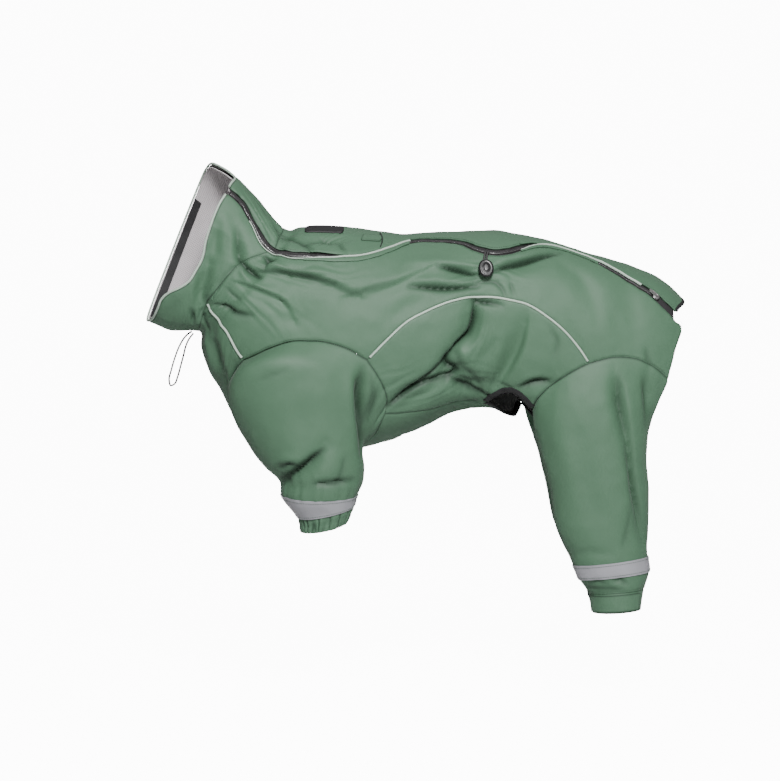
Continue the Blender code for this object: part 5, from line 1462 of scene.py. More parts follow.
TRUNK_RIPPLES = (
    Ripple((201, -58), 4, 46, 16, 9, 1.5, 0.5),
    Ripple((196, -146), 72, 26, 16, 12, 1.0, 0.8),
    Ripple((150, -206), 22, 46, 18, 13, 1.3, 0.8),
    Ripple((214, -214), 75, 20, 34, 11, 1.2, 0.8),
    Ripple((-150, -92), 60, 26, 24, 9, 1.8, 0.8),
    Ripple((-172, -118), 80, 22, 18, 8, 2.2, 0.8),
    Ripple((-66, -6), 128, 26, 22, 9, 2.0, 1.0),
    Ripple((-96, 18), 118, 30, 18, 10, 1.6, 1.0),
    Ripple((120, -262), 80, 26, 60, 10, 2.4, 1.0),
    Ripple((180, -246), 80, 22, 40, 8, 3.0, 1.0),
    Ripple((-128, -200), 82, 34, 26, 12, 1.8, 0.9),
    Ripple((6, -14), 20, 30, 12, 9, 1.2, 0.8),
    Ripple((60, -215), 18, 34, 16, 11, 1.5, 0.8),
    Ripple((-30, -60), -8, 60, 14, 12, 1.2, 0.6),
    Ripple((-80, -100), -40, 40, 22, 13, 1.3, 0.7),
)


# Trunk panels


@dataclass
class TrunkPanels:
    """The cloth panels between the neck seam and the tail, with their stitching."""

    trunk: Trunk
    seams: Seams
    looks: Finishes
    wall: float = WALL
    pucker: float = 0.55 * MM
    stitch_side: float = 2.6 * MM

    def form(self, loop: Points, lift: float = 0.0, wall: float | None = None, cell: float = CELL) -> Form:
        """The cloth inside a closed loop of seams.

        Args:
            loop: rows of station and angle.
            lift: how far it lies outside the cloth's outer side.
            wall: its thickness.
            cell: the size of its mesh cells.

        Returns:
            The panel's form.
        """
        flat, faces, origin = filled(self.trunk.flat(loop), cell)
        line = self.trunk.unflat(flat)
        line[origin >= 0] = loop[origin[origin >= 0]]
        outer, normals = self.trunk.skin(line, lift)
        edge = outer[origin >= 0]
        away = distances(tree_of(edge), outer)
        relief = -SEAM_DIP * np.exp(-((away / DIP_REACH) ** 2))
        near = away < 26 * MM
        relief[near] += self.pucker * soft_noise(outer[near], 7 * MM, 3.0) * np.exp(-away[near] / (8 * MM))
        outer = outer + normals * relief[:, None]
        inner = outer - normals * (wall or self.wall)
        # near a seam: worn cloth, and a painted shade line along the seam
        near_seam = np.exp(-away / SEAM_FADE)
        return shell_form(outer, inner, normals, faces, flat[faces], near_seam, self.trunk.painted_crease_shades(line))

    def loops(self) -> dict[str, Points]:
        """The closed loop of each panel."""
        s = self.seams
        turned = np.array((0.0, 2 * math.pi))
        cross_left = s.arm_under_belly[-1]
        rows = np.array([cross_left, (cross_left[0], math.pi), (cross_left[0], 2 * math.pi - cross_left[1])])
        cross = self.trunk.even(rows)
        arms = mirrored(s.arm_under_chest[::-1]) + turned
        return {
            "side_panel_left": joined(
                s.low_body, s.rear_edge, s.leg_top[::-1], s.side_piping[::-1], s.arm_top[::-1],
                s.front_piping[::-1], s.neck_left[::-1],
            ),
            "back_panel": joined(
                s.high_body, s.flap, mirrored(s.rear_edge), mirrored(s.leg_top[::-1]),
                mirrored(s.side_piping[::-1]), mirrored(s.arm_top[::-1]), mirrored(s.front_piping[::-1]),
                s.neck_right,
            ),
            "chest_panel": joined(
                s.neck_front, mirrored(s.front_piping) + turned, arms, cross[::-1], s.arm_under_chest,
                s.front_piping[::-1],
            ),
            "belly_panel": joined(
                cross, mirrored(s.arm_under_belly[::-1]) + turned, s.belly_right + turned,
                s.opening_front[::-1], s.belly[::-1], s.arm_under_belly,
            ),
            "lower_side_left": joined(
                s.side_piping, s.leg_front[::-1], s.opening_side[::-1], s.belly[::-1], s.arm_back[::-1]
            ),
            "lower_side_right": joined(
                mirrored(s.side_piping), mirrored(s.leg_front[::-1]), s.opening_right[::-1],
                s.belly_right[::-1], mirrored(s.arm_back[::-1]),
            ),
        }

    def stitches(self) -> Form:
        """Rows of stitches beside the seams."""
        s = self.seams
        rows = []
        for side in (1.0, -1.0):
            for line, offset in (
                (s.front_piping, -1), (s.side_piping, -1), (s.arm_top, -1), (s.leg_top, -1), (s.belly, -1),
                (s.leg_front, -1), (s.neck_left, 1), (s.rear_edge, -1),
            ):
                if side < 0 and line is s.belly:
                    line = mirrored(s.belly_right)
                rows.append(self.trunk.moved(line, offset * self.stitch_side)[2:-2] * (1.0, side))
        rows.append(self.trunk.moved(s.low_body, 2.4 * MM)[2:-2])
        rows.append(self.trunk.moved(s.high_body, -2.4 * MM)[2:-2])
        forms = []
        for row in rows:
            points, normals = self.trunk.skin(row, 0.15 * MM)
            forms.append(stitch_form(points, normals))
        return sum_of([f for f in forms if len(f.points)])

    def build(self) -> list[Object]:
        made = []
        for node, loop in self.loops().items():
            obj = add_mesh(f"{node}_cloth", self.form(loop), (self.looks.shell, self.looks.lining))
            dress(obj, node, slot="shell")
            made.append(obj)
        thread = add_mesh("trunk_stitching", self.stitches(), (self.looks.thread,))
        dress(thread, slot="shell")
        for node, obj in zip(self.loops(), made):
            declare(obj, node)
        return [*made, thread]


@dataclass
class Collar:
    """The collar's outer cloth, mesh lining, facing band and rim piping."""

    trunk: Trunk
    seams: Seams
    panels: TrunkPanels
    looks: Finishes
    facing_span: Pair = (75, 300)
    facing_width: float = 11 * MM
    facing_room: float = 1.8 * MM
    piping_width: float = 3.0 * MM

    def build(self) -> list[Object]:
        turned = np.array((0.0, 2 * math.pi))
        s = self.seams
        loop = joined(
            s.neck_left, s.neck_front, s.neck_right + turned, (s.high_collar + turned)[::-1], s.rim[::-1],
            s.low_collar,
        )
        outer = add_mesh("collar_cloth", self.panels.form(loop), (self.looks.shell, self.looks.lining))
        dress(outer, "collar_outer", slot="shell")
        inside = -(WALL + TAPE_ROOM + TRIM_WALL + LINING_ROOM)
        form = self.panels.form(loop, inside, LINING_WALL, LINING_CELL)
        lining = add_mesh("collar_mesh_lining", form, (self.looks.mesh, self.looks.mesh))
        dress(lining, "collar_lining", slot="mesh_lining")
        facing = self.facing(inside - LINING_WALL - self.facing_room)
        rim = self.rim()
        declare(outer, "collar_outer")
        declare(lining, "collar_lining")
        declare(facing, "collar_facing")
        return [outer, lining, facing, rim]

    def facing(self, depth: float) -> Object:
        """The dark band inside the rim."""
        first, last = np.radians(self.facing_span)
        rim = self.seams.rim
        band = rim[(rim[:, 1] > first) & (rim[:, 1] < last)]
        slope, _ = self.trunk.slopes(band)
        reach = self.facing_width / np.linalg.norm(slope, axis=1)
        shares = np.linspace(0.04, 1.0, 6)
        rows = [band + np.stack([reach * share, 0 * reach], axis=1) for share in shares]
        skins = [self.trunk.skin(row, depth) for row in rows]
        outer = np.concatenate([p for p, _ in skins])
        normals = np.concatenate([n for _, n in skins])
        faces = grid_faces(len(rows), len(band))
        uv = grid_uv(shares * self.facing_width, run_of(skins[0][0]))
        form = shell_form(outer, outer - normals * TRIM_WALL, normals, faces, uv)
        obj = add_mesh("collar_facing_band", form, (self.looks.binding, self.looks.binding))
        return dress(obj, "collar_facing", slot="binding")

    def rim(self) -> Object:
        """The thin cord along the collar's rim."""
        rim = self.seams.rim[1:-1]
        points, normals = self.trunk.skin(rim)
        forward = unit(np.gradient(points, axis=0))
        ahead = unit(np.cross(forward, normals))
        along, _ = self.trunk.slopes(rim)
        if np.sum(ahead * along) > 0:
            ahead = -ahead
        radius = self.piping_width / 2
        centre = points + ahead * (radius + 0.2 * MM) - normals * WALL / 2
        form = sweep(centre, ahead, normals, oval(radius, radius, 12))
        obj = add_mesh("collar_rim_cord", form, (self.looks.piping,))
        return dress(obj, "collar_rim_piping", slot="piping")


@dataclass
class Pipings:
    """Pale pipings on the front and side seams."""

    trunk: Trunk
    seams: Seams
    looks: Finishes
    width: float = 3.0 * MM
    height: float = 1.7 * MM

    def build(self) -> list[Object]:
        """Builds and dresses the pipings of both sides."""
        made = []
        for side, name in ((1.0, "left"), (-1.0, "right")):
            for place, line in (("front", self.seams.front_piping), ("side", self.seams.side_piping)):
                frames = self.trunk.frames(line[1:-1] * (1.0, side))
                profile = round_profile(self.width, self.height, 0.1 * MM)
                obj = add_mesh(f"{place}_piping_{name}_cord", sweep(*frames, profile), (self.looks.piping,))
                made.append(dress(obj, f"{place}_piping_{name}", slot="piping"))
        return made


# Sleeves and legs


@dataclass(frozen=True)
class Ring:
    """A ring of a limb in millimetres: front and back edge in the side view, distance from the middle plane,
    half the width across, and how far the outer side is raised."""

    name: str
    front: Pair
    back: Pair
    offset: float
    half_width: float
    roll: float

    def points(self, turns: Points) -> Points:
        """Its left-side points at turns round it: 0 front, a quarter outside, a half back."""
        front = VIEW.seen_at(self.front[0] * MM, self.front[1] * MM, -self.offset * MM)
        back = VIEW.seen_at(self.back[0] * MM, self.back[1] * MM, -self.offset * MM)
        angle = turns * 2 * math.pi
        middle, half = (front + back) / 2, (back - front) / 2
        points = middle - np.cos(angle)[:, None] * half
        points[:, 1] -= np.sin(angle) * self.half_width * MM
        points[:, 2] += np.sin(angle) * self.roll * MM
        return points


SLEEVE_RINGS = (
    Ring("armpit", (-134, -222), (54, -264), 82, 46, 62),
    Ring("upper arm", (-112, -276), (44, -292), 79, 47, 30),
    Ring("elbow", (-86, -315), (45, -322), 78, 45, 10),
    Ring("blouse", (-66, -336), (42, -338), 76, 43, 0),
    Ring("tape top", (-64, -351), (36, -350), 76, 40, -6),
    Ring("tape bottom", (-42, -381), (32, -364), 76, 32, -5),
    Ring("cuff end", (-38, -400), (23, -387), 76, 29, -4),
)
LEG_RINGS = (
    Ring("groin", (270, -266), (421, -264), 65, 44, 32),
    Ring("thigh", (280, -302), (418, -302), 68, 44, 12),
    Ring("knee", (291, -350), (420, -346), 70, 42, 3),
    Ring("shin", (300, -401), (419, -402), 71, 38, 0),
    Ring("tape top", (321, -444), (418, -432), 72, 35, 0),
    Ring("tape bottom", (329, -463), (420, -452), 72, 34, 0),
    Ring("cuff top", (341, -481), (414, -474), 72, 32, 0),
    Ring("cuff end", (347, -507), (410, -502), 72, 31, 0),
)
LEG_INNER_EDGE = (
    (428, -60, -222), (410, -44, -244), (390, -30, -262), (352, -24, -272), (308, -27, -270),
    (281, -43, -258),
)
SLEEVE_FOLDS = (
    Fold(((-54, -332), (-32, -319), (-10, -298)), -7, 12),
    Fold(((-100, -215), (-40, -198), (10, -205)), -3, 18),
    Fold(((-70, -312), (-56, -310), (-40, -309)), 5, 10),
    Fold(((-66, -334), (-50, -326), (-30, -311), (-12, -296)), -6.5, 4.5, C),
    Fold(((-66, -334), (-50, -326), (-30, -311), (-12, -296)), 3.0, 8, L),
    Fold(((-68, -316), (-54, -312), (-44, -314)), -4.0, 4, C),
    Fold(((-62, -336), (-54, -334)), -3.0, 3, C),
    Fold(((-58, -343), (-44, -342), (-30, -343)), -3.0, 5, R),
    Fold(((-22, -338), (0, -336), (30, -332)), -3.0, 4.5, C),
    Fold(((-18, -290), (-4, -284), (10, -292)), -3.0, 8, R),
    Fold(((8, -340), (16, -322), (20, -300)), -2.2, 6, C),
    Fold(((-95, -199), (-76, -193), (-56, -187)), -1.6, 5, C),
    Fold(((-40, -230), (-34, -262), (-30, -290)), -2.0, 14, R),
    Fold(((43, -184), (40, -215), (41, -250)), -7.0, 7, R),
    Fold(((44, -184), (41, -215), (42, -250), (44, -280)), -6.0, 5, C),
    Fold(((58, -190), (58, -215), (48, -256)), 3.0, 4.5, R),
    Fold(((64, -206), (60, -225), (50, -256)), -3.0, 4, C),
    Fold(((28, -200), (30, -235), (33, -290)), 2.6, 8, R),
    Fold(((-72, -334), (-50, -324), (-30, -309), (-8, -293)), -5.0, 5, C),
    Fold(((36, -202), (40, -240), (42, -300)), -5.0, 5.5, C),
    Fold(((54, -190), (57, -215), (46, -256)), -3.6, 4, C),
    Fold(((-70, -314), (-58, -312), (-46, -311)), -3.6, 4, C),
    Fold(((-22, -338), (4, -336), (32, -332)), -3.2, 4, C),
)
LEG_FOLDS = (
    Fold(((379, -197), (384, -230), (392, -270)), -6, 11),
    Fold(((379, -192), (383, -225), (390, -262)), 2.4, 9, L),
    Fold(((392, -270), (404, -320), (410, -372), (414, -410)), -6, 11),
    Fold(((418, -195), (421, -215), (420, -235)), -5, 7),
    Fold(((388, -216), (396, -270), (405, -338), (411, -372), (415, -410)), 3.6, 7, L),
    Fold(((392, -262), (402, -330), (410, -372), (416, -412)), -3.2, 4.5, C),
    Fold(((300, -240), (310, -300), (318, -360)), 3, 18),
    Fold(((330, -280), (340, -340), (352, -400)), -2.4, 16),
    Fold(((386, -420), (392, -400), (398, -372)), -2.0, 6, C),
    Fold(((374, -466), (384, -464), (392, -470)), -3.4, 3.6, C),
    Fold(((340, -470), (352, -466), (366, -470)), -2.6, 4, C),
    Fold(((358, -478), (376, -474), (392, -476)), 1.6, 4, R),
    Fold(((318, -432), (340, -428), (370, -430)), -2.0, 6, R),
    Fold(((380, -196), (385, -235), (391, -268)), -4.0, 6, C),
    Fold(((336, -474), (352, -477), (372, -476), (386, -476)), -3.2, 4, C),
    Fold(((412, -190), (418, -225), (416, -262)), -3.0, 6, C),
)


@dataclass(frozen=True)
class Lean:
    """How much further back the right limb lies: its reach at the cuff and how that grows along the limb."""

    reach: float
    ease: float
    counts: tuple[int, ...]

    def shares(self) -> Points:
        """The share of the way at each ring."""
        return np.concatenate([[0.0], np.cumsum(self.counts)]) / sum(self.counts)

    def at(self, share: Points) -> Points:
        """How far back a share of the way lies."""
        return self.reach * share**self.ease


SLEEVE_LEAN = Lean(16 * MM, 2.0, (4, 3, 2, 1, 1, 1, 1))
LEG_LEAN = Lean(18 * MM, 0.5, (3, 2, 2, 1, 2, 1, 1, 1))


class Limb:
    """A sleeve or leg as on the left side: rows of points from its seam on the trunk to its cuff."""

    outer_steepness: ClassVar[float] = 2.6  # how fast a fold of the outer side fades towards the edges
    inner_steepness: ClassVar[float] = 1.4
    crumple: ClassVar[float] = 0.9
    inner_folds: ClassVar[float] = 1.6 * MM
    grows_over: ClassVar[float] = 12 * MM  # small folds start within this length of the seam

    def __init__(
        self, ring: Points, back: int, rings: Sequence[Ring], folds: Sequence[Fold], side: int, lean: Lean
    ) -> None:
        closed = np.concatenate([ring, ring[:1]])
        run = run_of(closed)
        outer = 0.5 * run[: back + 1] / run[back]
        inner = 0.5 + 0.5 * (run[back + 1 : -1] - run[back]) / (run[-1] - run[back])
        self.turns = np.concatenate([outer, inner])
        stack = np.array([ring, *[r.points(self.turns) for r in rings]])
        step = np.linalg.norm(np.diff(stack, axis=0), axis=2).mean(axis=1)
        knots = np.concatenate([[0.0], np.cumsum(step)])
        at, self.marks = [0.0], [0]
        for i in range(len(rings)):
            count = max(2, round(step[i] / LIMB_STEP))
            at.extend(np.linspace(knots[i], knots[i + 1], count + 1)[1:])
            self.marks.append(len(at) - 1)
        self.run = np.array(at)
        self.rows = spline(knots, stack, self.run)
        if side == -1:
            self.rows[:, :, 0] += lean.at(np.interp(self.run, knots, lean.shares()))[:, None]
        self.normals = self.outward()
        self.press(folds, side)

    def outward(self) -> Points:
        """Outward directions of the rows' points."""
        around = np.roll(self.rows, -1, axis=1) - np.roll(self.rows, 1, axis=1)
        normals = unit(np.cross(around, np.gradient(self.rows, axis=0)))
        middle = self.rows.mean(axis=1, keepdims=True)
        return normals if np.sum(normals * (self.rows - middle)) > 0 else -normals

    def press(self, folds: Sequence[Fold], side: int) -> None:
        """Presses folds into the outer side and small ones all round."""
        shown = VIEW.shown(self.rows.reshape(-1, 3))
        depth = np.zeros(len(shown))
        painted_crease_shade = np.zeros(len(shown))
        for fold in folds:
            curve = np.array(fold.points) * MM
            FoldLine(curve, fold.depth * MM, fold.reach * MM, fold.shape, 1.0).press(depth, shown, painted_crease_shade)
        depth = depth.reshape(self.rows.shape[:2])
        outside = np.clip(-self.normals[:, :, 1] * self.outer_steepness, 0, 1)
        start = np.clip(self.run / (0.5 * self.run[self.marks[1]]), 0, 1)[:, None]
        # painted shade in the creases of the outer side
        self.painted_crease_shade = np.clip(painted_crease_shade.reshape(self.rows.shape[:2]) * outside * start, 0, 1)
        flat = self.rows.reshape(-1, 3) * (1.0, side, 1.0)
        small = self.crumple * crumpled(flat)
        small = small.reshape(self.rows.shape[:2]) * MM
        streaks = soft_noise(flat * (1.0, 1.0, 0.4), 16 * MM, 6.0).reshape(self.rows.shape[:2])
        hidden = np.clip(self.normals[:, :, 1] * self.inner_steepness, 0, 1) * streaks
        grown = np.clip(self.run / self.grows_over, 0, 1)[:, None]
        total = depth * outside * start + (small + self.inner_folds * hidden) * grown
        self.rows = self.rows + self.normals * total[:, :, None]

    def pleat(self, top: int, bottom: int, waves: int, depth: float) -> None:
        """Presses gathers into the rows between two rings, deepest at the lower one."""
        first, last = self.marks[top], self.marks[bottom]
        share = np.clip((np.arange(len(self.rows)) - first) / max(1, last - first), 0, 1) ** 1.6
        share[last + 1 :] = 0
        wobble = ring_noise(self.turns, 0.35, 7.0)
        wave = np.cos(2 * math.pi * (waves * self.turns + 0.7 * wobble)) * (0.7 + 0.5 * wobble)
        self.rows = self.rows + self.normals * (depth * share[:, None] * wave[None, :])[:, :, None]

    def part(self, first: int, last: int) -> slice:
        """The rows from one ring to another."""
        return slice(self.marks[first], self.marks[last] + 1)


def tube_form(
    rows: Points, normals: Points, side: int, wall: float, lift: float = 0.0, dip_top: bool = False,
    painted_crease_shade: Points | None = None,
) -> Form:
    """The wall of a tube; side is 1 for the left and -1 for the right.

    Args:
        rows: rows of points round the tube, as on the left side.
        normals: their outward directions.
        side: the side of the body.
        wall: the wall's thickness.
        lift: how far it lies outside the rows.
        dip_top: whether the first row turns in at a seam.
        painted_crease_shade: how much painted shade each point gets in a crease.

    Returns:
        The tube's form.
    """
    run = run_of(rows.mean(axis=1))
    dip = SEAM_DIP * np.exp(-((run / DIP_REACH) ** 2)) if dip_top else 0 * run
    outer = rows + normals * (lift - dip)[:, None, None]
    inner = outer - normals * wall
    flip = np.array((1.0, side, 1.0))
    count, around = rows.shape[:2]
    faces = grid_faces(count, around, wrap=True)
    ring = run_of(np.concatenate([rows[count // 2], rows[count // 2, :1]]))
    uv = grid_uv(run, ring, wrap=True)
    outer, inner, normals = (a.reshape(-1, 3) * flip for a in (outer, inner, normals))
    # a painted shade line and worn cloth along the seam at the top
    near = np.repeat(np.exp(-run / SEAM_FADE), around) if dip_top else None
    return shell_form(outer, inner, normals, faces, uv, near, None if painted_crease_shade is None else painted_crease_shade.ravel())


@dataclass
class Limbs:
    """What sleeves and legs share: the cloth, the reflective tape and the stitches."""

    trunk: Trunk
    seams: Seams
    looks: Finishes
    kind: ClassVar[str] = ""

    def sewn(self, line: Points, side: int) -> Points:
        """Points of the trunk's cloth along a seam or its mirror line, moved to the left side."""
        points, _ = self.trunk.skin(line if side == 1 else mirrored(line))
        return points * (1.0, side, 1.0)

    def cloth(self, limb: Limb, side: int, name: str, last: int) -> Object:
        """The limb's cloth, from its seam to a ring."""
        body = limb.part(0, last)
        form = tube_form(limb.rows[body], limb.normals[body], side, WALL, 0.0, True, limb.painted_crease_shade[body])
        obj = add_mesh(f"{self.kind}_{name}_cloth", form, (self.looks.shell, self.looks.lining))
        return dress(obj, f"{self.kind}_{name}", slot="shell")

    def tape(self, limb: Limb, side: int, name: str) -> Object:
        """The reflective tape round the limb."""
        band = limb.part(5, 6)
        form = tube_form(limb.rows[band], limb.normals[band], side, TRIM_WALL, LAYER_GAP + TRIM_WALL)
        obj = add_mesh(f"{self.kind}_tape_{name}_band", form, (self.looks.tape, self.looks.tape))
        return dress(obj, f"{self.kind}_tape_{name}", slot="reflective")

    def stitches(self, limb: Limb, side: int, name: str, rings: Sequence[tuple[int, float]]) -> Object:
        """Rows of stitches round the limb, each at a row of points and so many millimetres over it."""
        flip = np.array((1.0, side, 1.0))
        forms = []
        for row, lift in rings:
            ring, out = (np.concatenate([a[row], a[row, :1]]) for a in (limb.rows, limb.normals))
            forms.append(stitch_form((ring + out * lift * MM) * flip, out * flip))
        obj = add_mesh(f"{self.kind}_{name}_stitching", sum_of(forms), (self.looks.thread,))
        return dress(obj, slot="shell")


@dataclass
class Sleeves(Limbs):
    """The front sleeves with their reflective tape and gathered elastic cuff."""

    kind: ClassVar[str] = "sleeve"
    gathers: int = 16
    gather_depth: float = 2.6 * MM
    cuff_points: int = 240
    cuff_wall: float = 1.8 * MM
    channel: float = 0.7 * MM  # how deep the elastic's line of stitching sinks in

    def limb(self, side: int) -> Limb:
        """The sleeve's rows on one side."""
        ring = self.sewn(self.seams.armhole(), side)
        ring = np.roll(ring, -int(np.argmin(ring[:, 0])), axis=0)
        limb = Limb(ring, int(np.argmax(ring[:, 0])), SLEEVE_RINGS, SLEEVE_FOLDS, side, SLEEVE_LEAN)
        limb.pleat(3, 5, 17, 0.8 * MM)
        return limb

    def build(self) -> list[Object]:
        """Builds and dresses both sleeves."""
        made = []
        for side, name in ((1, "left"), (-1, "right")):
            limb = self.limb(side)
            cloth = self.cloth(limb, side, name, 6)
            tape = self.tape(limb, side, name)
            declare(tape, f"sleeve_tape_{name}")
            cuff = self.cuff(limb, side, name)
            edges = ((limb.marks[5] + 1, 1.7), (limb.marks[6] - 1, 1.7))
            thread = self.stitches(limb, side, name, edges)
            declare(cloth, f"sleeve_{name}")
            made += [cloth, tape, cuff, thread]
        return made

    def cuff(self, limb: Limb, side: int, name: str) -> Object:
        """The gathered cuff with its elastic inside."""
        band = limb.part(6, 7)
        turns = np.linspace(0, 1, self.cuff_points, endpoint=False)
        closed, out = (np.concatenate([a[band], a[band, :1]], axis=1) for a in (limb.rows, limb.normals))
        source = np.append(limb.turns, 1.0)
        rows = np.stack([read_rows(turns, source, row) for row in closed])
        normals = unit(np.stack([read_rows(turns, source, row) for row in out]))
        share = np.linspace(0, 1, len(rows))
        swell = np.sin(np.pi * np.clip(0.12 + 0.8 * share, 0, 1)) ** 0.5
        wobble = ring_noise(turns, 0.3, 8.0)
        drift = 0.25 * share[:, None] * wobble[None] * 3
        phase = 2 * math.pi * (self.gathers * turns[None] + 0.8 * wobble[None] + drift)
        wave = self.gather_depth * (0.75 + 0.5 * wobble)[None] * (1.5 * np.abs(np.sin(phase / 2)) - 0.8)
        # painted shade in the valleys between the gathers
        painted_crease_shade = 0.8 * np.exp(-((np.sin(phase / 2) / 0.3) ** 2)) * np.ones(rows.shape[:2])
        channel = -self.channel * np.exp(-(((share - 0.5) / 0.07) ** 2))
        rows = rows + normals * (wave * swell[:, None] + channel[:, None])[:, :, None]
        form = tube_form(rows, normals, side, self.cuff_wall, 0.0, True, painted_crease_shade)
        obj = add_mesh(f"sleeve_cuff_{name}_gathers", form, (self.looks.shell, self.looks.lining))
        dress(obj, f"sleeve_cuff_{name}", slot="shell")
        declare(obj, f"sleeve_cuff_{name}")
        return obj


@dataclass
class Legs(Limbs):
    """The rear legs with their reflective tape, cuff band, hook-and-loop tab and inner binding."""

    kind: ClassVar[str] = "leg"
    edge_size: Pair = (5.5 * MM, 3.4 * MM)
    cuff_wall: float = 2.0 * MM
    tab_width: float = 26 * MM
    tab_wall: float = 1.6 * MM
    tab_turns: Pair = (0.02, 0.375)  # where the tab starts and ends round the cuff

    def limb(self, side: int) -> tuple[Limb, int]:
        """The leg's rows on one side, and how many of its points are sewn to the trunk."""
        sewn = self.sewn(np.concatenate([self.seams.leg_front[:-1], self.seams.leg_top]), side)
        inner = np.array([sewn[-1], *[np.array(p) * MM for p in LEG_INNER_EDGE], sewn[0]])
        chord = run_of(inner)
        count = round(chord[-1] / STEP)
        edge = spline(chord, inner, np.linspace(0, chord[-1], count + 1))[1:-1]
        ring = np.concatenate([sewn, edge])
        limb = Limb(ring, len(sewn) - 1, LEG_RINGS, LEG_FOLDS, side, LEG_LEAN)
        return limb, len(sewn)

    def build(self) -> list[Object]:
        """Builds and dresses both legs."""
        made = []
        for side, name in ((1, "left"), (-1, "right")):
            limb, sewn = self.limb(side)
            cloth = self.cloth(limb, side, name, 7)
            tape = self.tape(limb, side, name)
            band = limb.part(7, 8)
            cuff = add_mesh(
                f"leg_cuff_{name}_band",
                tube_form(limb.rows[band], limb.normals[band], side, self.cuff_wall, dip_top=True),
                (self.looks.shell, self.looks.lining),
            )
            dress(cuff, f"leg_cuff_{name}", slot="shell")
            tab = self.tab(limb, side, name)
            edge = self.binding(limb, sewn, side, name)
            edges = ((limb.marks[5] + 1, 1.7), (limb.marks[6] - 1, 1.7), (limb.marks[7] - 1, 0.4))
            thread = self.stitches(limb, side, name, edges)
            declare(cloth, f"leg_{name}")
            declare(tape, f"leg_tape_{name}")
            declare(cuff, f"leg_cuff_{name}")
            declare(tab, f"leg_tab_{name}")
            made += [cloth, tape, cuff, tab, edge, thread]
        return made

    def tab(self, limb: Limb, side: int, name: str) -> Object:
        """The tab that closes the cuff, on its outer side."""
        band = limb.part(7, 8)
        rows, normals = limb.rows[band], limb.normals[band]
        shares = np.linspace(0.1, 0.9, 9)
        turns = np.linspace(*self.tab_turns, 48)
        row_at = shares * (len(rows) - 1)
        grid, out = [], []
        for at in row_at:
            i = min(int(at), len(rows) - 2)
            ring = rows[i] + (at - i) * (rows[i + 1] - rows[i])
            normal = normals[i] + (at - i) * (normals[i + 1] - normals[i])
            grid.append(read_rows(turns, limb.turns, ring))
            out.append(read_rows(turns, limb.turns, normal))
        grid, out = np.array(grid), unit(np.array(out))
        end = np.linspace(0, 1, len(turns))
        lift = (1.1 + 0.5 * end**6) * MM
        flip = np.array((1.0, side, 1.0))
        lift = lift[None, :, None]
        skins = (grid + out * (lift + self.tab_wall), grid + out * lift, out)
        outer, inner, normals = (a.reshape(-1, 3) * flip for a in skins)
        uv = grid_uv(shares * self.tab_width, run_of(grid[4]))
        # a painted shade line and worn cloth along the tab's rim, where its edge stands off the cuff
        near = near_rim(len(shares), len(turns), 2.6 * MM, 2.1 * MM)
        form = shell_form(outer, inner, normals, grid_faces(len(shares), len(turns)), uv, near)
        obj = add_mesh(f"leg_tab_{name}_strap", form, (self.looks.shell, self.looks.binding))
        return dress(obj, f"leg_tab_{name}", slot="shell")

    def binding(self, limb: Limb, sewn: int, side: int, name: str) -> Object:
        """The elastic binding on the leg's inner edge."""
        ids = [*range(sewn - 1, len(limb.turns)), 0]
        flip = np.array((1.0, side, 1.0))
        points = limb.rows[0][ids][2:-2]
        into = unit(limb.rows[2] - limb.rows[0])[ids][2:-2]
        form = bound_edge(points * flip, into * flip, limb.normals[0][ids][2:-2] * flip, *self.edge_size)
        obj = add_mesh(f"leg_binding_{name}_elastic", form, (self.looks.binding,))
        return dress(obj, f"leg_binding_{name}", slot="binding")


def bound_edge(points: Points, into: Points, normals: Points, wide: float, thick: float) -> Form:
    """A soft elastic binding folded over an edge; into points from the edge into the cloth."""
    run = run_of(points)
    swell = 1 + 0.05 * np.sin(run / (1.1 * MM)) + 0.08 * soft_noise(points, 6 * MM, 9.0)
    half = thick / 2
    middle = -WALL / 2
    profile = [(wide, middle + half * 0.75), (wide * 0.5, middle + half), (-1.2 * MM, middle + half)]
    turns = np.linspace(1.2, -1.2, 7)
    profile += [(-1.2 * MM - half * math.cos(t), middle + half * math.sin(t)) for t in turns]
    profile += [(-1.2 * MM, middle - half), (wide * 0.5, middle - half), (wide, middle - half * 0.75)]
    return sweep(points, into, normals, profile, swell)


@dataclass
class Openings:
    """Elastic bindings round the belly opening and on the tail flap's end."""

    trunk: Trunk
    seams: Seams
    looks: Finishes
    opening_size: Pair = (5.5 * MM, 3.4 * MM)
    flap_size: Pair = (2.6 * MM, 2.6 * MM)

    def build(self) -> list[Object]:
        """Builds and dresses the bindings."""
        s = self.seams
        made = []
        for node, line, towards in (
            ("opening_binding_left", s.opening_side, (13.0, math.radians(110))),
            ("opening_binding_right", s.opening_right, (14.0, -math.radians(110))),
            ("opening_binding_front", s.opening_front, (12.0, math.pi)),
            ("flap_binding", s.flap, (20.0, 0.0)),
        ):
            points, sides, normals = self.trunk.frames(line[1:-1])
            target = self.trunk.points(np.array([towards]))[0]
            into = sides if np.sum(sides * (target - points)) > 0 else -sides
            wide, thick = self.flap_size if node == "flap_binding" else self.opening_size
            form = bound_edge(points, into, normals, wide, thick)
            obj = add_mesh(f"{node}_elastic", form, (self.looks.binding,))
            made.append(dress(obj, node, slot="binding"))
        return made


# Zip


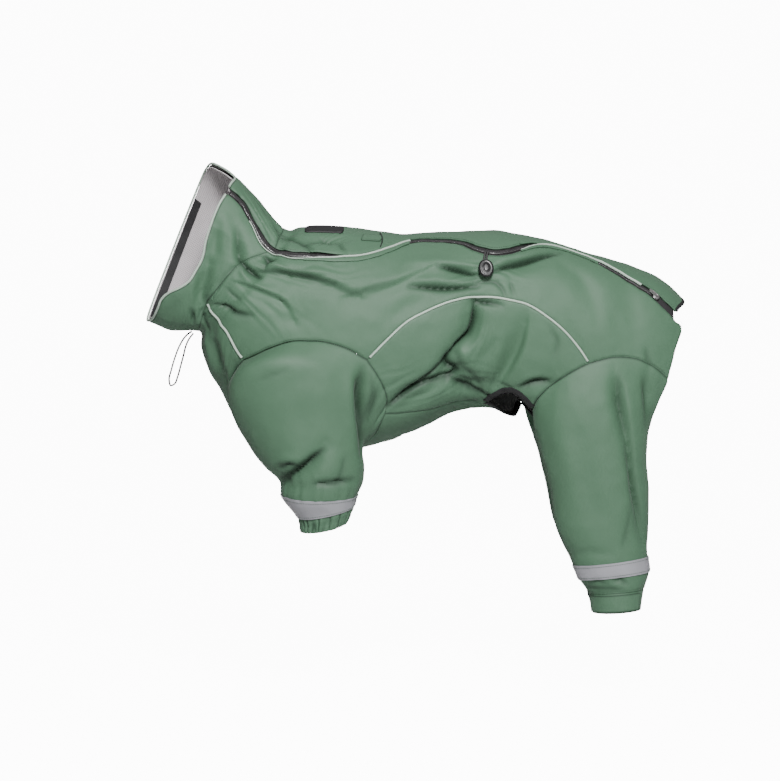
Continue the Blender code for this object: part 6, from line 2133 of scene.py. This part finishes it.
@dataclass
class Zip:
    """The back zip: tape, coil, slider and pull tab, with lips of cloth and a piping over parts of it."""

    trunk: Trunk
    seams: Seams
    looks: Finishes
    tape_half: float = 9 * MM
    coil_width: float = 6.0 * MM
    coil_height: float = 2.3 * MM
    pitch: float = 1.35 * MM
    end: float = 456.0
    slider_at: float = 430.0
    slider: tuple[float, float, float] = (8.0 * MM, 8.4 * MM, 4.0 * MM)
    tab: tuple[float, float, float] = (13.0 * MM, 4.6 * MM, 1.1 * MM)
    gape: float = 4.6  # how far a lip stands open at its free end, in millimetres
    piping_turn: float = 338.0  # where the rear piping crosses to the upper lip

    def stretch(self, start: float, end: float) -> Points:
        """The zip's line between two places of the side view, in millimetres."""
        shown = self.trunk.shown_x(self.seams.zip_fine)
        return self.seams.zip_fine[(shown > start) & (shown < end)]

    def ribbon(
        self, line: Points, low: float | Points, high: float | Points, lift: float, thick: float,
        columns: int = 6, crown: float = 0.0,
    ) -> Form:
        """A band along a line, between two distances to its side.

        Args:
            line: rows of station and angle.
            low: distance of its upper edge to the side, one or one for each point.
            high: distance of its lower edge.
            lift: height of its underside over the cloth.
            thick: its thickness.
            columns: cells across.
            crown: how much its middle is raised.

        Returns:
            The band's form.
        """
        offsets = np.linspace(low, high, columns + 1)
        share = np.linspace(-1, 1, columns + 1)
        outer, inner, normals = [], [], []
        for offset, s in zip(offsets, share):
            row = self.trunk.moved(line, offset)
            points, out = self.trunk.skin(row, lift)
            outer.append(points + out * (thick + crown * (1 - s * s)))
            inner.append(points)
            normals.append(out)
        faces = grid_faces(columns + 1, len(line))
        uv = grid_uv(offsets.reshape(columns + 1, -1).mean(axis=1), run_of(outer[0]))
        outer, inner, normals = (np.concatenate(rows) for rows in (outer, inner, normals))
        return shell_form(outer, inner, normals, faces, uv)

    def build(self) -> list[Object]:
        under = -(WALL + TAPE_ROOM + TRIM_WALL)
        tape_line = self.stretch(ZIP_FRONT, self.end)[1:]
        form = self.ribbon(tape_line, -self.tape_half, self.tape_half, under, TRIM_WALL)
        tape = add_mesh("zip_tape_band", form, (self.looks.zip_tape, self.looks.zip_tape))
        dress(tape, "zip_tape", slot="zip_coil")
        lift = under + TRIM_WALL + LAYER_GAP
        coil = add_mesh("zip_coil_teeth", self.coil(lift), (self.looks.coil,))
        dress(coil, "zip_coil", slot="zip_coil")
        made = [tape, coil, *self.welts()]
        made += self.slider_and_tab(lift)
        declare(tape, "zip_tape")
        return made

    def coil(self, lift: float) -> Form:
        """Two rows of nylon turns that hook into each other, over a low cushion."""
        line = self.stretch(ZIP_FRONT, self.slider_at - 5)[2:]
        points, sides, normals = self.trunk.frames(line, lift)
        half, tall = 0.42 * self.coil_width, self.coil_height
        core = self.ribbon(line, -half, half, lift, 0.45 * tall, 4, 0.35 * tall)
        core.sets = [FaceSet(s.faces, s.uv, 0) for s in core.sets]
        run = run_of(points)
        count = int(run[-1] / self.pitch)
        at = (np.arange(count) + 0.5) * run[-1] / count
        centre, side, out = (read_rows(at, run, values) for values in (points, sides, normals))
        side, out = unit(side), unit(out)
        ahead = np.cross(side, out)
        forms = [core]
        section = ((-0.5, 0.0), (-0.38, 0.7), (0.0, 1.0), (0.38, 0.7), (0.5, 0.0))
        for hand in (1.0, -1.0):
            shift = 0.25 * self.pitch * hand
            rows = []
            for share, wide, tall in ((0.0, 0.9, 0.86), (0.35, 1.0, 1.0), (0.8, 1.0, 0.86), (1.0, 0.8, 0.3)):
                reach = hand * share * self.coil_width / 2
                slant = shift + 0.3 * self.pitch * share * hand
                for across, up in section:
                    rows.append(
                        centre
                        + side * reach
                        + ahead * (slant + across * wide * 0.62 * self.pitch)
                        + out * (up * tall * 0.34 + 0.66 * tall) * self.coil_height
                    )
            body = np.stack(rows, axis=1)
            quads = grid_faces(4, 5)
            quads = quads if hand > 0 else quads[:, ::-1]
            moved = (quads[None] + (np.arange(count) * body.shape[1])[:, None, None]).reshape(-1, 4)
            forms.append(Form(body.reshape(-1, 3), [FaceSet(moved, np.zeros((len(moved), 4, 2)))]))
        return sum_of(forms)

    def welts(self) -> list[Object]:
        """Lips of cloth over the zip, with a piping between them."""
        made = []
        for place, start, shut, end, low_end in (
            ("front", -30.0, 20.0, 106.0, 106.0), ("rear", 250.0, 284.0, 412.0, 352.0),
        ):
            for name, edge, rim, last in (("upper", -0.8, -8.6, end), ("lower", 3.0, 8.6, low_end)):
                line = self.stretch(start, last)
                opened = np.clip((shut - self.trunk.shown_x(line)) / (shut - start), 0, 1)
                gape = opened * math.copysign(self.gape, edge)
                sides = (rim, edge + gape) if edge < 0 else (edge + 0.55 * gape, rim)
                form = self.ribbon(line, sides[0] * MM, sides[1] * MM, 0.7 * MM, 0.9 * MM, 6, 0.35 * MM)
                obj = add_mesh(f"welt_{place}_{name}_lip", form, (self.looks.shell, self.looks.lining))
                made.append(dress(obj, f"welt_{place}_{name}", slot="shell"))
            line = self.stretch(-104.0 if place == "front" else start, end)
            shown = self.trunk.shown_x(line)
            opened, closing = (shut - shown) / (shut - start), (shown - self.piping_turn) / 20
            opened, closing = np.clip(opened, 0, 1), np.clip(closing, 0, 1)
            aside = 1.1 + self.gape * opened - 2.2 * closing
            frames = self.trunk.frames(self.trunk.moved(line, aside * MM), 0.8 * MM)
            wide = np.clip(0.55 + 0.45 * (shown - start) / (shut - start), 0.55, 1.0)
            form = sweep(*frames, round_profile(2.8 * MM, 1.7 * MM, 0.2 * MM), wide)
            obj = add_mesh(f"welt_piping_{place}_cord", form, (self.looks.piping,))
            made.append(dress(obj, f"welt_piping_{place}", slot="piping"))
        return made

    def slider_frame(self) -> tuple[Points, Points, Points, Points]:
        """The cloth's point at the slider, and the directions forward, sideways and out."""
        line = self.seams.zip_fine
        i = int(np.argmin(np.abs(self.trunk.shown_x(line) - self.slider_at)))
        points, normals = self.trunk.skin(line[i - 3 : i + 4])
        forward = unit(points[-1] - points[0])
        out = unit(normals[3] - forward * (normals[3] @ forward))
        return points[3], forward, np.cross(out, forward), out

    def slider_and_tab(self, base: float) -> list[Object]:
        """The slider with the bridge that carries the pull tab, and the tab lying towards the head."""
        place, forward, side, out = self.slider_frame()
        long, wide, high = self.slider
        top = base + high

        def put(points: Sequence[tuple[float, float, float]]) -> Points:
            return np.array([place + forward * x + side * y + out * z for x, y, z in points])

        half = long / 2
        outline = [(-half, 0.34), (-0.5 * half, 0.47), (0.1 * half, 0.5), (0.6 * half, 0.42), (half, 0.26)]
        plate = []
        for under, grow in ((1.6, 0.94), (1.3, 1.0), (0.5, 1.0), (0.2, 0.9)):
            level = top - under * MM
            halves = [(x, w) for x, w in outline] + [(x, -w) for x, w in outline[::-1]]
            plate.append(put([(x * grow, w * wide * grow, level) for x, w in halves]))
        low = [p - out * (top - 1.6 * MM - base - 0.9 * MM) for p in plate]
        forms = [stacked(plate), stacked(low[::-1])]
        corners = ((-1, -1), (1, -1), (1, 1), (-1, 1))
        square = [(x * 0.2 * half + 0.35 * half, y * 0.16 * wide) for x, y in corners]
        levels = (base + 0.9 * MM, top - 0.8 * MM)
        forms.append(stacked([put([(x, y, z) for x, y in square]) for z in levels]))
        arch = [(-1.9, 0.0), (-1.7, 1.5), (-0.9, 2.2), (0.4, 2.3), (1.5, 1.9), (2.3, 0.0)]
        spots = np.array([place + forward * x * MM + out * (top - 0.4 * MM + z * MM) for x, z in arch])
        spots = spline(run_of(spots), spots, np.linspace(0, run_of(spots)[-1], 15))
        ahead = unit(np.gradient(spots, axis=0))
        across = np.repeat(side[None], len(spots), axis=0)
        forms.append(sweep(spots, across, unit(np.cross(ahead, across)), oval(0.8 * MM, 0.42 * MM, 10)))
        slider = add_mesh("zip_slider_body", sum_of(forms), (self.looks.metal,), 40)
        dress(slider, "zip_slider", slot="metal")
        return [slider, self.pull_tab(put, top)]

    def pull_tab(self, put: Callable[[Sequence[tuple[float, float, float]]], Points], top: float) -> Object:
        """The pull tab: a plate with a rounded end, an eye for the bridge and a raised rim."""
        long, wide, thick = self.tab
        low = top + 0.1 * MM
        turns = np.linspace(0, 2 * math.pi, 48, endpoint=False)
        corner = 3.2
        cos, sin = np.cos(turns), np.sin(turns)
        x = np.sign(cos) * np.abs(cos) ** (2 / corner) * (long + 0.6 * MM) / 2 - (long - 0.6 * MM) / 2
        y = np.sign(sin) * np.abs(sin) ** (2 / corner) * wide / 2 * (1 - 0.12 * (x > -3 * MM))
        eye_x, eye_y = 0.95 * MM * cos - 1.0 * MM, 1.15 * MM * sin
        rings = []
        shares = (0.0, 0.0, 0.08, 0.22, 0.32, 0.8, 1.0, 1.0)
        for share, level in zip(shares, (0.0, 0.85, 1.0, 1.0, 0.78, 0.78, 0.9, 0.0)):
            px, py = x + (eye_x - x) * share, y + (eye_y - y) * share
            rings.append(put([(a, b, low + level * thick) for a, b in zip(px, py)]))
        body = np.array(rings + [rings[0]])
        count = len(turns)
        faces = grid_faces(len(body), count, wrap=True) % (len(rings) * count)
        points = np.array(rings).reshape(-1, 3)
        middle = points.mean(axis=0)
        a, b, c = (points[faces[:, k]] - middle for k in range(3))
        volume = np.einsum("ij,ij->", a, np.cross(b, c))
        faces = faces if volume > 0 else faces[:, ::-1]
        form = Form(points, [FaceSet(faces, np.zeros((len(faces), 4, 2)))])
        obj = add_mesh("pull_tab_plate", form, (self.looks.metal,), 45)
        return dress(obj, "pull_tab", slot="metal", body=Body.PULL_TAB)


# Patches, stopper and cords


@dataclass
class Patches:
    """The bare dark label patch on the spine and the lead slot's patch behind it."""

    trunk: Trunk
    looks: Finishes
    label: tuple[Pair, Pair, float] = ((-33, -4.5), (18, -5.5), 15 * MM)
    label_pad: float = 4.5 * MM  # the label's soft pad is this much thicker along the spine
    lead: tuple[Pair, Pair, float] = ((42, -12), (69, -14), 19 * MM)
    slot: tuple[Pair, ...] = ((66, -9), (69, -17), (66, -27))
    cells: tuple[int, int] = (40, 16)

    def grid(
        self, ends: tuple[Pair, Pair, float], lift: float, thick: float, corner: float, pad: float = 0.0
    ) -> tuple[Form, Points, Points]:
        """A patch with rounded corners and a soft edge, and the outline of its stitching."""
        start, end, width = ends
        line = self.trunk.even(np.array([self.trunk.find(*start), self.trunk.find(*end)]), count=40)
        flat = self.trunk.flat(line)
        long = run_of(self.trunk.points(line))[-1]
        columns, rows = self.cells
        u, v = np.meshgrid(np.linspace(-1, 1, columns), np.linspace(-1, 1, rows))
        round_x = 1 - corner * (1 - np.sqrt(np.clip(1 - np.abs(v) ** 2.4, 0, 1))) * width / long
        base = read_rows((u * round_x + 1) / 2, np.linspace(0, 1, len(flat)), flat)
        rows_line = self.trunk.unflat(base.reshape(-1, 2))
        side = v.ravel() * width / 2
        _, around = self.trunk.slopes(rows_line)
        rows_line[:, 1] += side / np.linalg.norm(around, axis=1)
        points, normals = self.trunk.skin(rows_line, lift)
        edge = np.maximum(np.abs(u), np.abs(v)).ravel()
        soft = np.where(edge > 0.999, 0.35, np.where(edge > 0.9, 0.9, 1.0))
        rise = pad * (1 - v.ravel()) / 2
        outer = points + normals * (thick * soft + rise)[:, None]
        faces = grid_faces(rows, columns)
        uv = grid_uv(np.linspace(0, width, rows), np.linspace(0, long, columns))
        track = self.outline(rows_line.reshape(rows, columns, 2), 2)
        heights = self.outline((lift + thick * 1.05 + rise).reshape(rows, columns, 1), 2)[:, 0]
        skin, out = self.trunk.skin(track, heights)
        # on a patch of shell cloth, a painted shade line and worn cloth along its rim
        near = near_rim(rows, columns, width / rows, long / columns)
        return shell_form(outer, points, normals, faces, uv, near), skin, out

    @staticmethod
    def outline(grid: Points, inset: int) -> Points:
        """The grid line that runs round a patch, some cells in from its edge."""
        top = grid[inset, inset:-inset]
        right = grid[inset:-inset, -inset - 1]
        bottom = grid[-inset - 1, inset:-inset][::-1]
        left = grid[inset:-inset, inset][::-1]
        return np.concatenate([top, right[1:], bottom[1:], left[1:]])

    def build(self) -> list[Object]:
        made = []
        form, track, out = self.grid(self.label, 0.6 * MM, 1.0 * MM, 0.55, self.label_pad)
        label = add_mesh("label_patch_rubber", form, (self.looks.rubber, self.looks.rubber))
        dress(label, "label_patch", slot="binding")
        form = stitch_form(track, out, 2.2 * MM, 1.6 * MM, 0.4 * MM)
        thread = add_mesh("label_stitching", form, (self.looks.dark_thread,))
        dress(thread, slot="binding")
        declare(label, "label_patch")
        made += [label, thread]
        form, track, out = self.grid(self.lead, 0.6 * MM, 0.9 * MM, 0.25)
        lead = add_mesh("lead_patch_cloth", form, (self.looks.shell, self.looks.lining))
        dress(lead, "lead_patch", slot="shell")
        form = stitch_form(track, out, 2.6 * MM, 1.9 * MM, 0.45 * MM)
        thread = add_mesh("lead_stitching", form, (self.looks.thread,))
        dress(thread, slot="shell")
        slot = self.slot_edge()
        declare(lead, "lead_patch")
        return [*made, lead, thread, slot]

    def slot_edge(self) -> Object:
        """The dark bound slot that a lead passes through, across the patch."""
        line = self.trunk.seam(self.slot, count=14)
        frames = self.trunk.frames(line, 1.7 * MM)
        form = sweep(*frames, round_profile(1.7 * MM, 0.9 * MM, 0.0, 6))
        obj = add_mesh("lead_slot_edge", form, (self.looks.dark_thread,))
        return dress(obj, slot="binding")


@dataclass
class Stopper:
    """The waist cord's oval stopper with its button, and the short loop of cord that runs into it."""

    trunk: Trunk
    looks: Finishes
    at: Pair = (205, -56)
    size: tuple[float, float, float] = (20 * MM, 8.5 * MM, 24 * MM)
    eyelet: Pair = (207, -34)
    cord_width: float = 2.5 * MM
    spread: float = 1.6 * MM
    groove_depth: float = 0.9 * MM
    button_recess: float = 0.5 * MM

    def build(self) -> list[Object]:
        """Builds and dresses the stopper and its cord loop."""
        points, normals = self.trunk.skin(np.array([self.trunk.find(*self.at)]))
        out = normals[0]
        _, deep, tall = self.size
        up = unit(np.array((0.0, 0.0, 1.0)) - out * out[2])
        across = np.cross(up, out)
        centre = points[0] + out * (deep / 2 + 2.0 * MM)
        stopper = self.body(centre, up, across, out)
        route = []
        for place in (-self.spread, self.spread):
            spot = self.trunk.find(self.eyelet[0] + place / MM, self.eyelet[1])
            (hole,), (away,) = self.trunk.skin(np.array([spot]))
            top = centre + up * (tall / 2 + 0.1 * MM) + across * place
            way = [hole + away * 0.4 * MM, hole + away * 4 * MM, top + up * 3 * MM, top - up * 6.0 * MM]
            route += way if place < 0 else way[::-1]
        route.insert(4, centre + up * (tall / 2 - 9.0 * MM))
        cord = add_cord("waist_cord_loop", np.array(route), self.cord_width, 40, self.looks.cord)
        dress(cord, "waist_cord_front", "waist_cord_rear", slot="cord")
        tuple(route[0])
        cord_length(cord)
        return [stopper, cord]

    def body(self, centre: Points, up: Points, across: Points, out: Points) -> Object:
        """The oval case with a groove round it and a ribbed button in its middle."""
        wide, deep, tall = self.size
        rings, segments = 40, 64
        rows = []
        for polar in np.linspace(0.02, math.pi - 0.02, rings):
            turn = np.linspace(0, 2 * math.pi, segments, endpoint=False)
            flat = np.sign(np.sin(turn)) * np.abs(np.sin(turn)) ** 0.7
            x = wide / 2 * math.sin(polar) ** 0.8 * np.cos(turn)
            z = np.full(segments, tall / 2 * math.cos(polar))
            y = deep / 2 * math.sin(polar) ** 0.6 * flat
            ring = np.sqrt((x / (0.30 * wide)) ** 2 + (z / (0.34 * tall)) ** 2)
            front = np.clip(flat * 2, 0, 1)
            groove = front * self.groove_depth * np.exp(-(((ring - 1.0) / 0.14) ** 2))
            y = y - groove - front * self.button_recess * (ring < 0.9)
            rim = np.exp(-((flat / 0.16) ** 2))
            x = x * (1 - 0.035 * rim)
            rows.append(centre + across * x[:, None] + out * y[:, None] + up * z[:, None])
        form = stacked(rows)
        button = []
        for level, grow in ((0.0, 1.0), (1.5, 0.98), (2.1, 0.86), (2.3, 0.6)):
            turn = np.linspace(0, 2 * math.pi, 40, endpoint=False)
            ring = centre + across * (0.19 * wide * grow * np.cos(turn))[:, None]
            ring = ring + up * (0.25 * tall * grow * np.sin(turn))[:, None]
            button.append(ring + out * (deep / 2 - 1.9 * MM + level * MM))
        form = form.joined_with(stacked(button))
        obj = add_mesh("waist_toggle_stopper", form, (self.looks.plastic,), 50)
        return dress(obj, "waist_toggle", slot="toggle")


def add_cord(name: str, route: Points, width: float, count: int, look: Material) -> Object:
    """A round cord along a smooth route, as a curve of one open spline."""
    chord = run_of(route)
    points = spline(chord, route, np.linspace(0, chord[-1], count))
    curve = bpy.data.curves.new(name, "CURVE")
    curve.dimensions = "3D"
    curve.bevel_depth = width / 2
    curve.bevel_resolution = 4
    curve.use_fill_caps = True
    line = curve.splines.new("POLY")
    line.points.add(len(points) - 1)
    for spot, point in zip(line.points, points):
        spot.co = (*point, 1.0)
    line.use_smooth = True
    curve.materials.append(look)
    obj = bpy.data.objects.new(name, curve)
    bpy.context.scene.collection.objects.link(obj)
    return obj


def cord_length(obj: Object) -> float:
    """The length of a cord's middle line."""
    points = np.array([p.co[:3] for p in obj.data.splines[0].points])
    return float(run_of(points)[-1])


@dataclass
class NeckCord:
    """The thin elastic loop that hangs from the front of the neck seam."""

    looks: Finishes
    width: float = 2.5 * MM
    offsets: Pair = (-10 * MM, -18 * MM)
    route: tuple[Pair, ...] = (
        (-182, -136.5), (-186, -139), (-192, -145), (-198, -155), (-204, -170), (-209, -187), (-212, -201),
        (-210, -208), (-205, -206), (-201, -197), (-197, -183), (-193, -168), (-190, -156), (-186, -147),
        (-180, -139),
    )

    def build(self) -> Object:
        depths = np.linspace(*self.offsets, len(self.route))
        points = np.array([VIEW.seen_at(x * MM, z * MM, y) for (x, z), y in zip(self.route, depths)])
        cord = add_cord("neck_cord_elastic", points, self.width, 60, self.looks.cord)
        dress(cord, "neck_cord", slot="cord")
        return cord


# The studio


@dataclass
class Studio:
    """A pale floor and soft studio light."""

    floor_z: float = -0.62
    floor_colour: Colour = (0.60, 0.60, 0.60)
    glow: float = 12.0  # the white of the paper and of the world, which only the camera sees
    ambient: float = 0.165

    def build(self) -> None:
        """Adds the floor, the lights and the world."""
        self.add_floor()
        self.add_area("key", (0.2, -2.8, 1.85), 0.8, 198.0)
        self.add_area("fill", (1.8, -3.6, 0.2), 2.0, 16.0)
        self.add_area("rim", (0.3, 1.6, 2.6), 1.4, 8.0)
        world = bpy.data.worlds.new("studio")
        world.use_nodes = True
        nodes, links = world.node_tree.nodes, world.node_tree.links
        background = nodes["Background"]
        background.inputs[0].default_value = (1.0, 1.0, 1.0, 1.0)
        strength = nodes.new("ShaderNodeMapRange")
        strength.inputs["To Min"].default_value = self.ambient
        strength.inputs["To Max"].default_value = self.glow
        links.new(nodes.new("ShaderNodeLightPath").outputs["Is Camera Ray"], strength.inputs["Value"])
        links.new(strength.outputs["Result"], background.inputs[1])
        bpy.context.scene.world = world

    def add_floor(self) -> None:
        """A wide floor that curves up behind the garment."""
        ways = [(-1.8 + 0.1 * i, self.floor_z) for i in range(55)]
        turns = np.linspace(0.05, math.pi / 2, 14)
        bend = [(3.6 + 1.2 * math.sin(t), self.floor_z + 1.2 * (1 - math.cos(t))) for t in turns]
        profile = [*ways, *bend, (4.8, 5.0)]
        points = np.array([(x, y, z) for y, z in profile for x in np.linspace(-5, 5, 11)])
        faces = grid_faces(len(profile), 11)
        uv = points[faces][:, :, :2]
        material, sketch, shader = blank("studio_paper")
        place = sketch.add("ShaderNodeTexCoord").outputs["Object"]
        grain = sketch.noise(place, 60.0, 4.0)
        shade = tuple(0.985 * c for c in self.floor_colour)
        sketch.link(sketch.mix(grain, self.floor_colour, shade), shader.inputs["Base Color"])
        shader.inputs["Roughness"].default_value = 0.95
        seen = sketch.add("ShaderNodeLightPath").outputs["Is Camera Ray"]
        shader.inputs["Emission Color"].default_value = (1.0, 1.0, 1.0, 1.0)
        sketch.link(sketch.math("MULTIPLY", seen, self.glow), shader.inputs["Emission Strength"])
        floor = add_mesh("studio_floor", Form(points, [FaceSet(faces, uv)]), (material,))

    def add_area(self, name: str, place: tuple[float, float, float], size: float, power: float) -> None:
        """A soft square light that faces the garment."""
        data = bpy.data.lights.new(name, "AREA")
        data.size, data.energy = size, power
        light = bpy.data.objects.new(name, data)
        bpy.context.scene.collection.objects.link(light)
        light.location = place
        light.rotation_mode = "QUATERNION"
        light.rotation_quaternion = (Vector((0.12, 0.0, -0.25)) - Vector(place)).to_track_quat("-Z", "Y")


def main() -> None:
    """Builds the garment and its studio."""
    logging.basicConfig(level=logging.INFO, format="%(message)s")
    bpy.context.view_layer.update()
    VIEW.add_camera()
    looks = Finishes()
    NeckCord(looks).build()
    trunk = Trunk()
    trunk.add_folds((*MAIN_FOLDS, *FINE_FOLDS), TRUNK_RIPPLES)
    Stopper(trunk, looks).build()
    seams = Seams(trunk)
    panels = TrunkPanels(trunk, seams, looks)
    panels.build()
    Collar(trunk, seams, panels, looks).build()
    Pipings(trunk, seams, looks).build()
    Sleeves(trunk, seams, looks).build()
    Legs(trunk, seams, looks).build()
    Openings(trunk, seams, looks).build()
    Zip(trunk, seams, looks).build()
    Patches(trunk, looks).build()
    Studio().build()


if __name__ == "__main__":
    main()
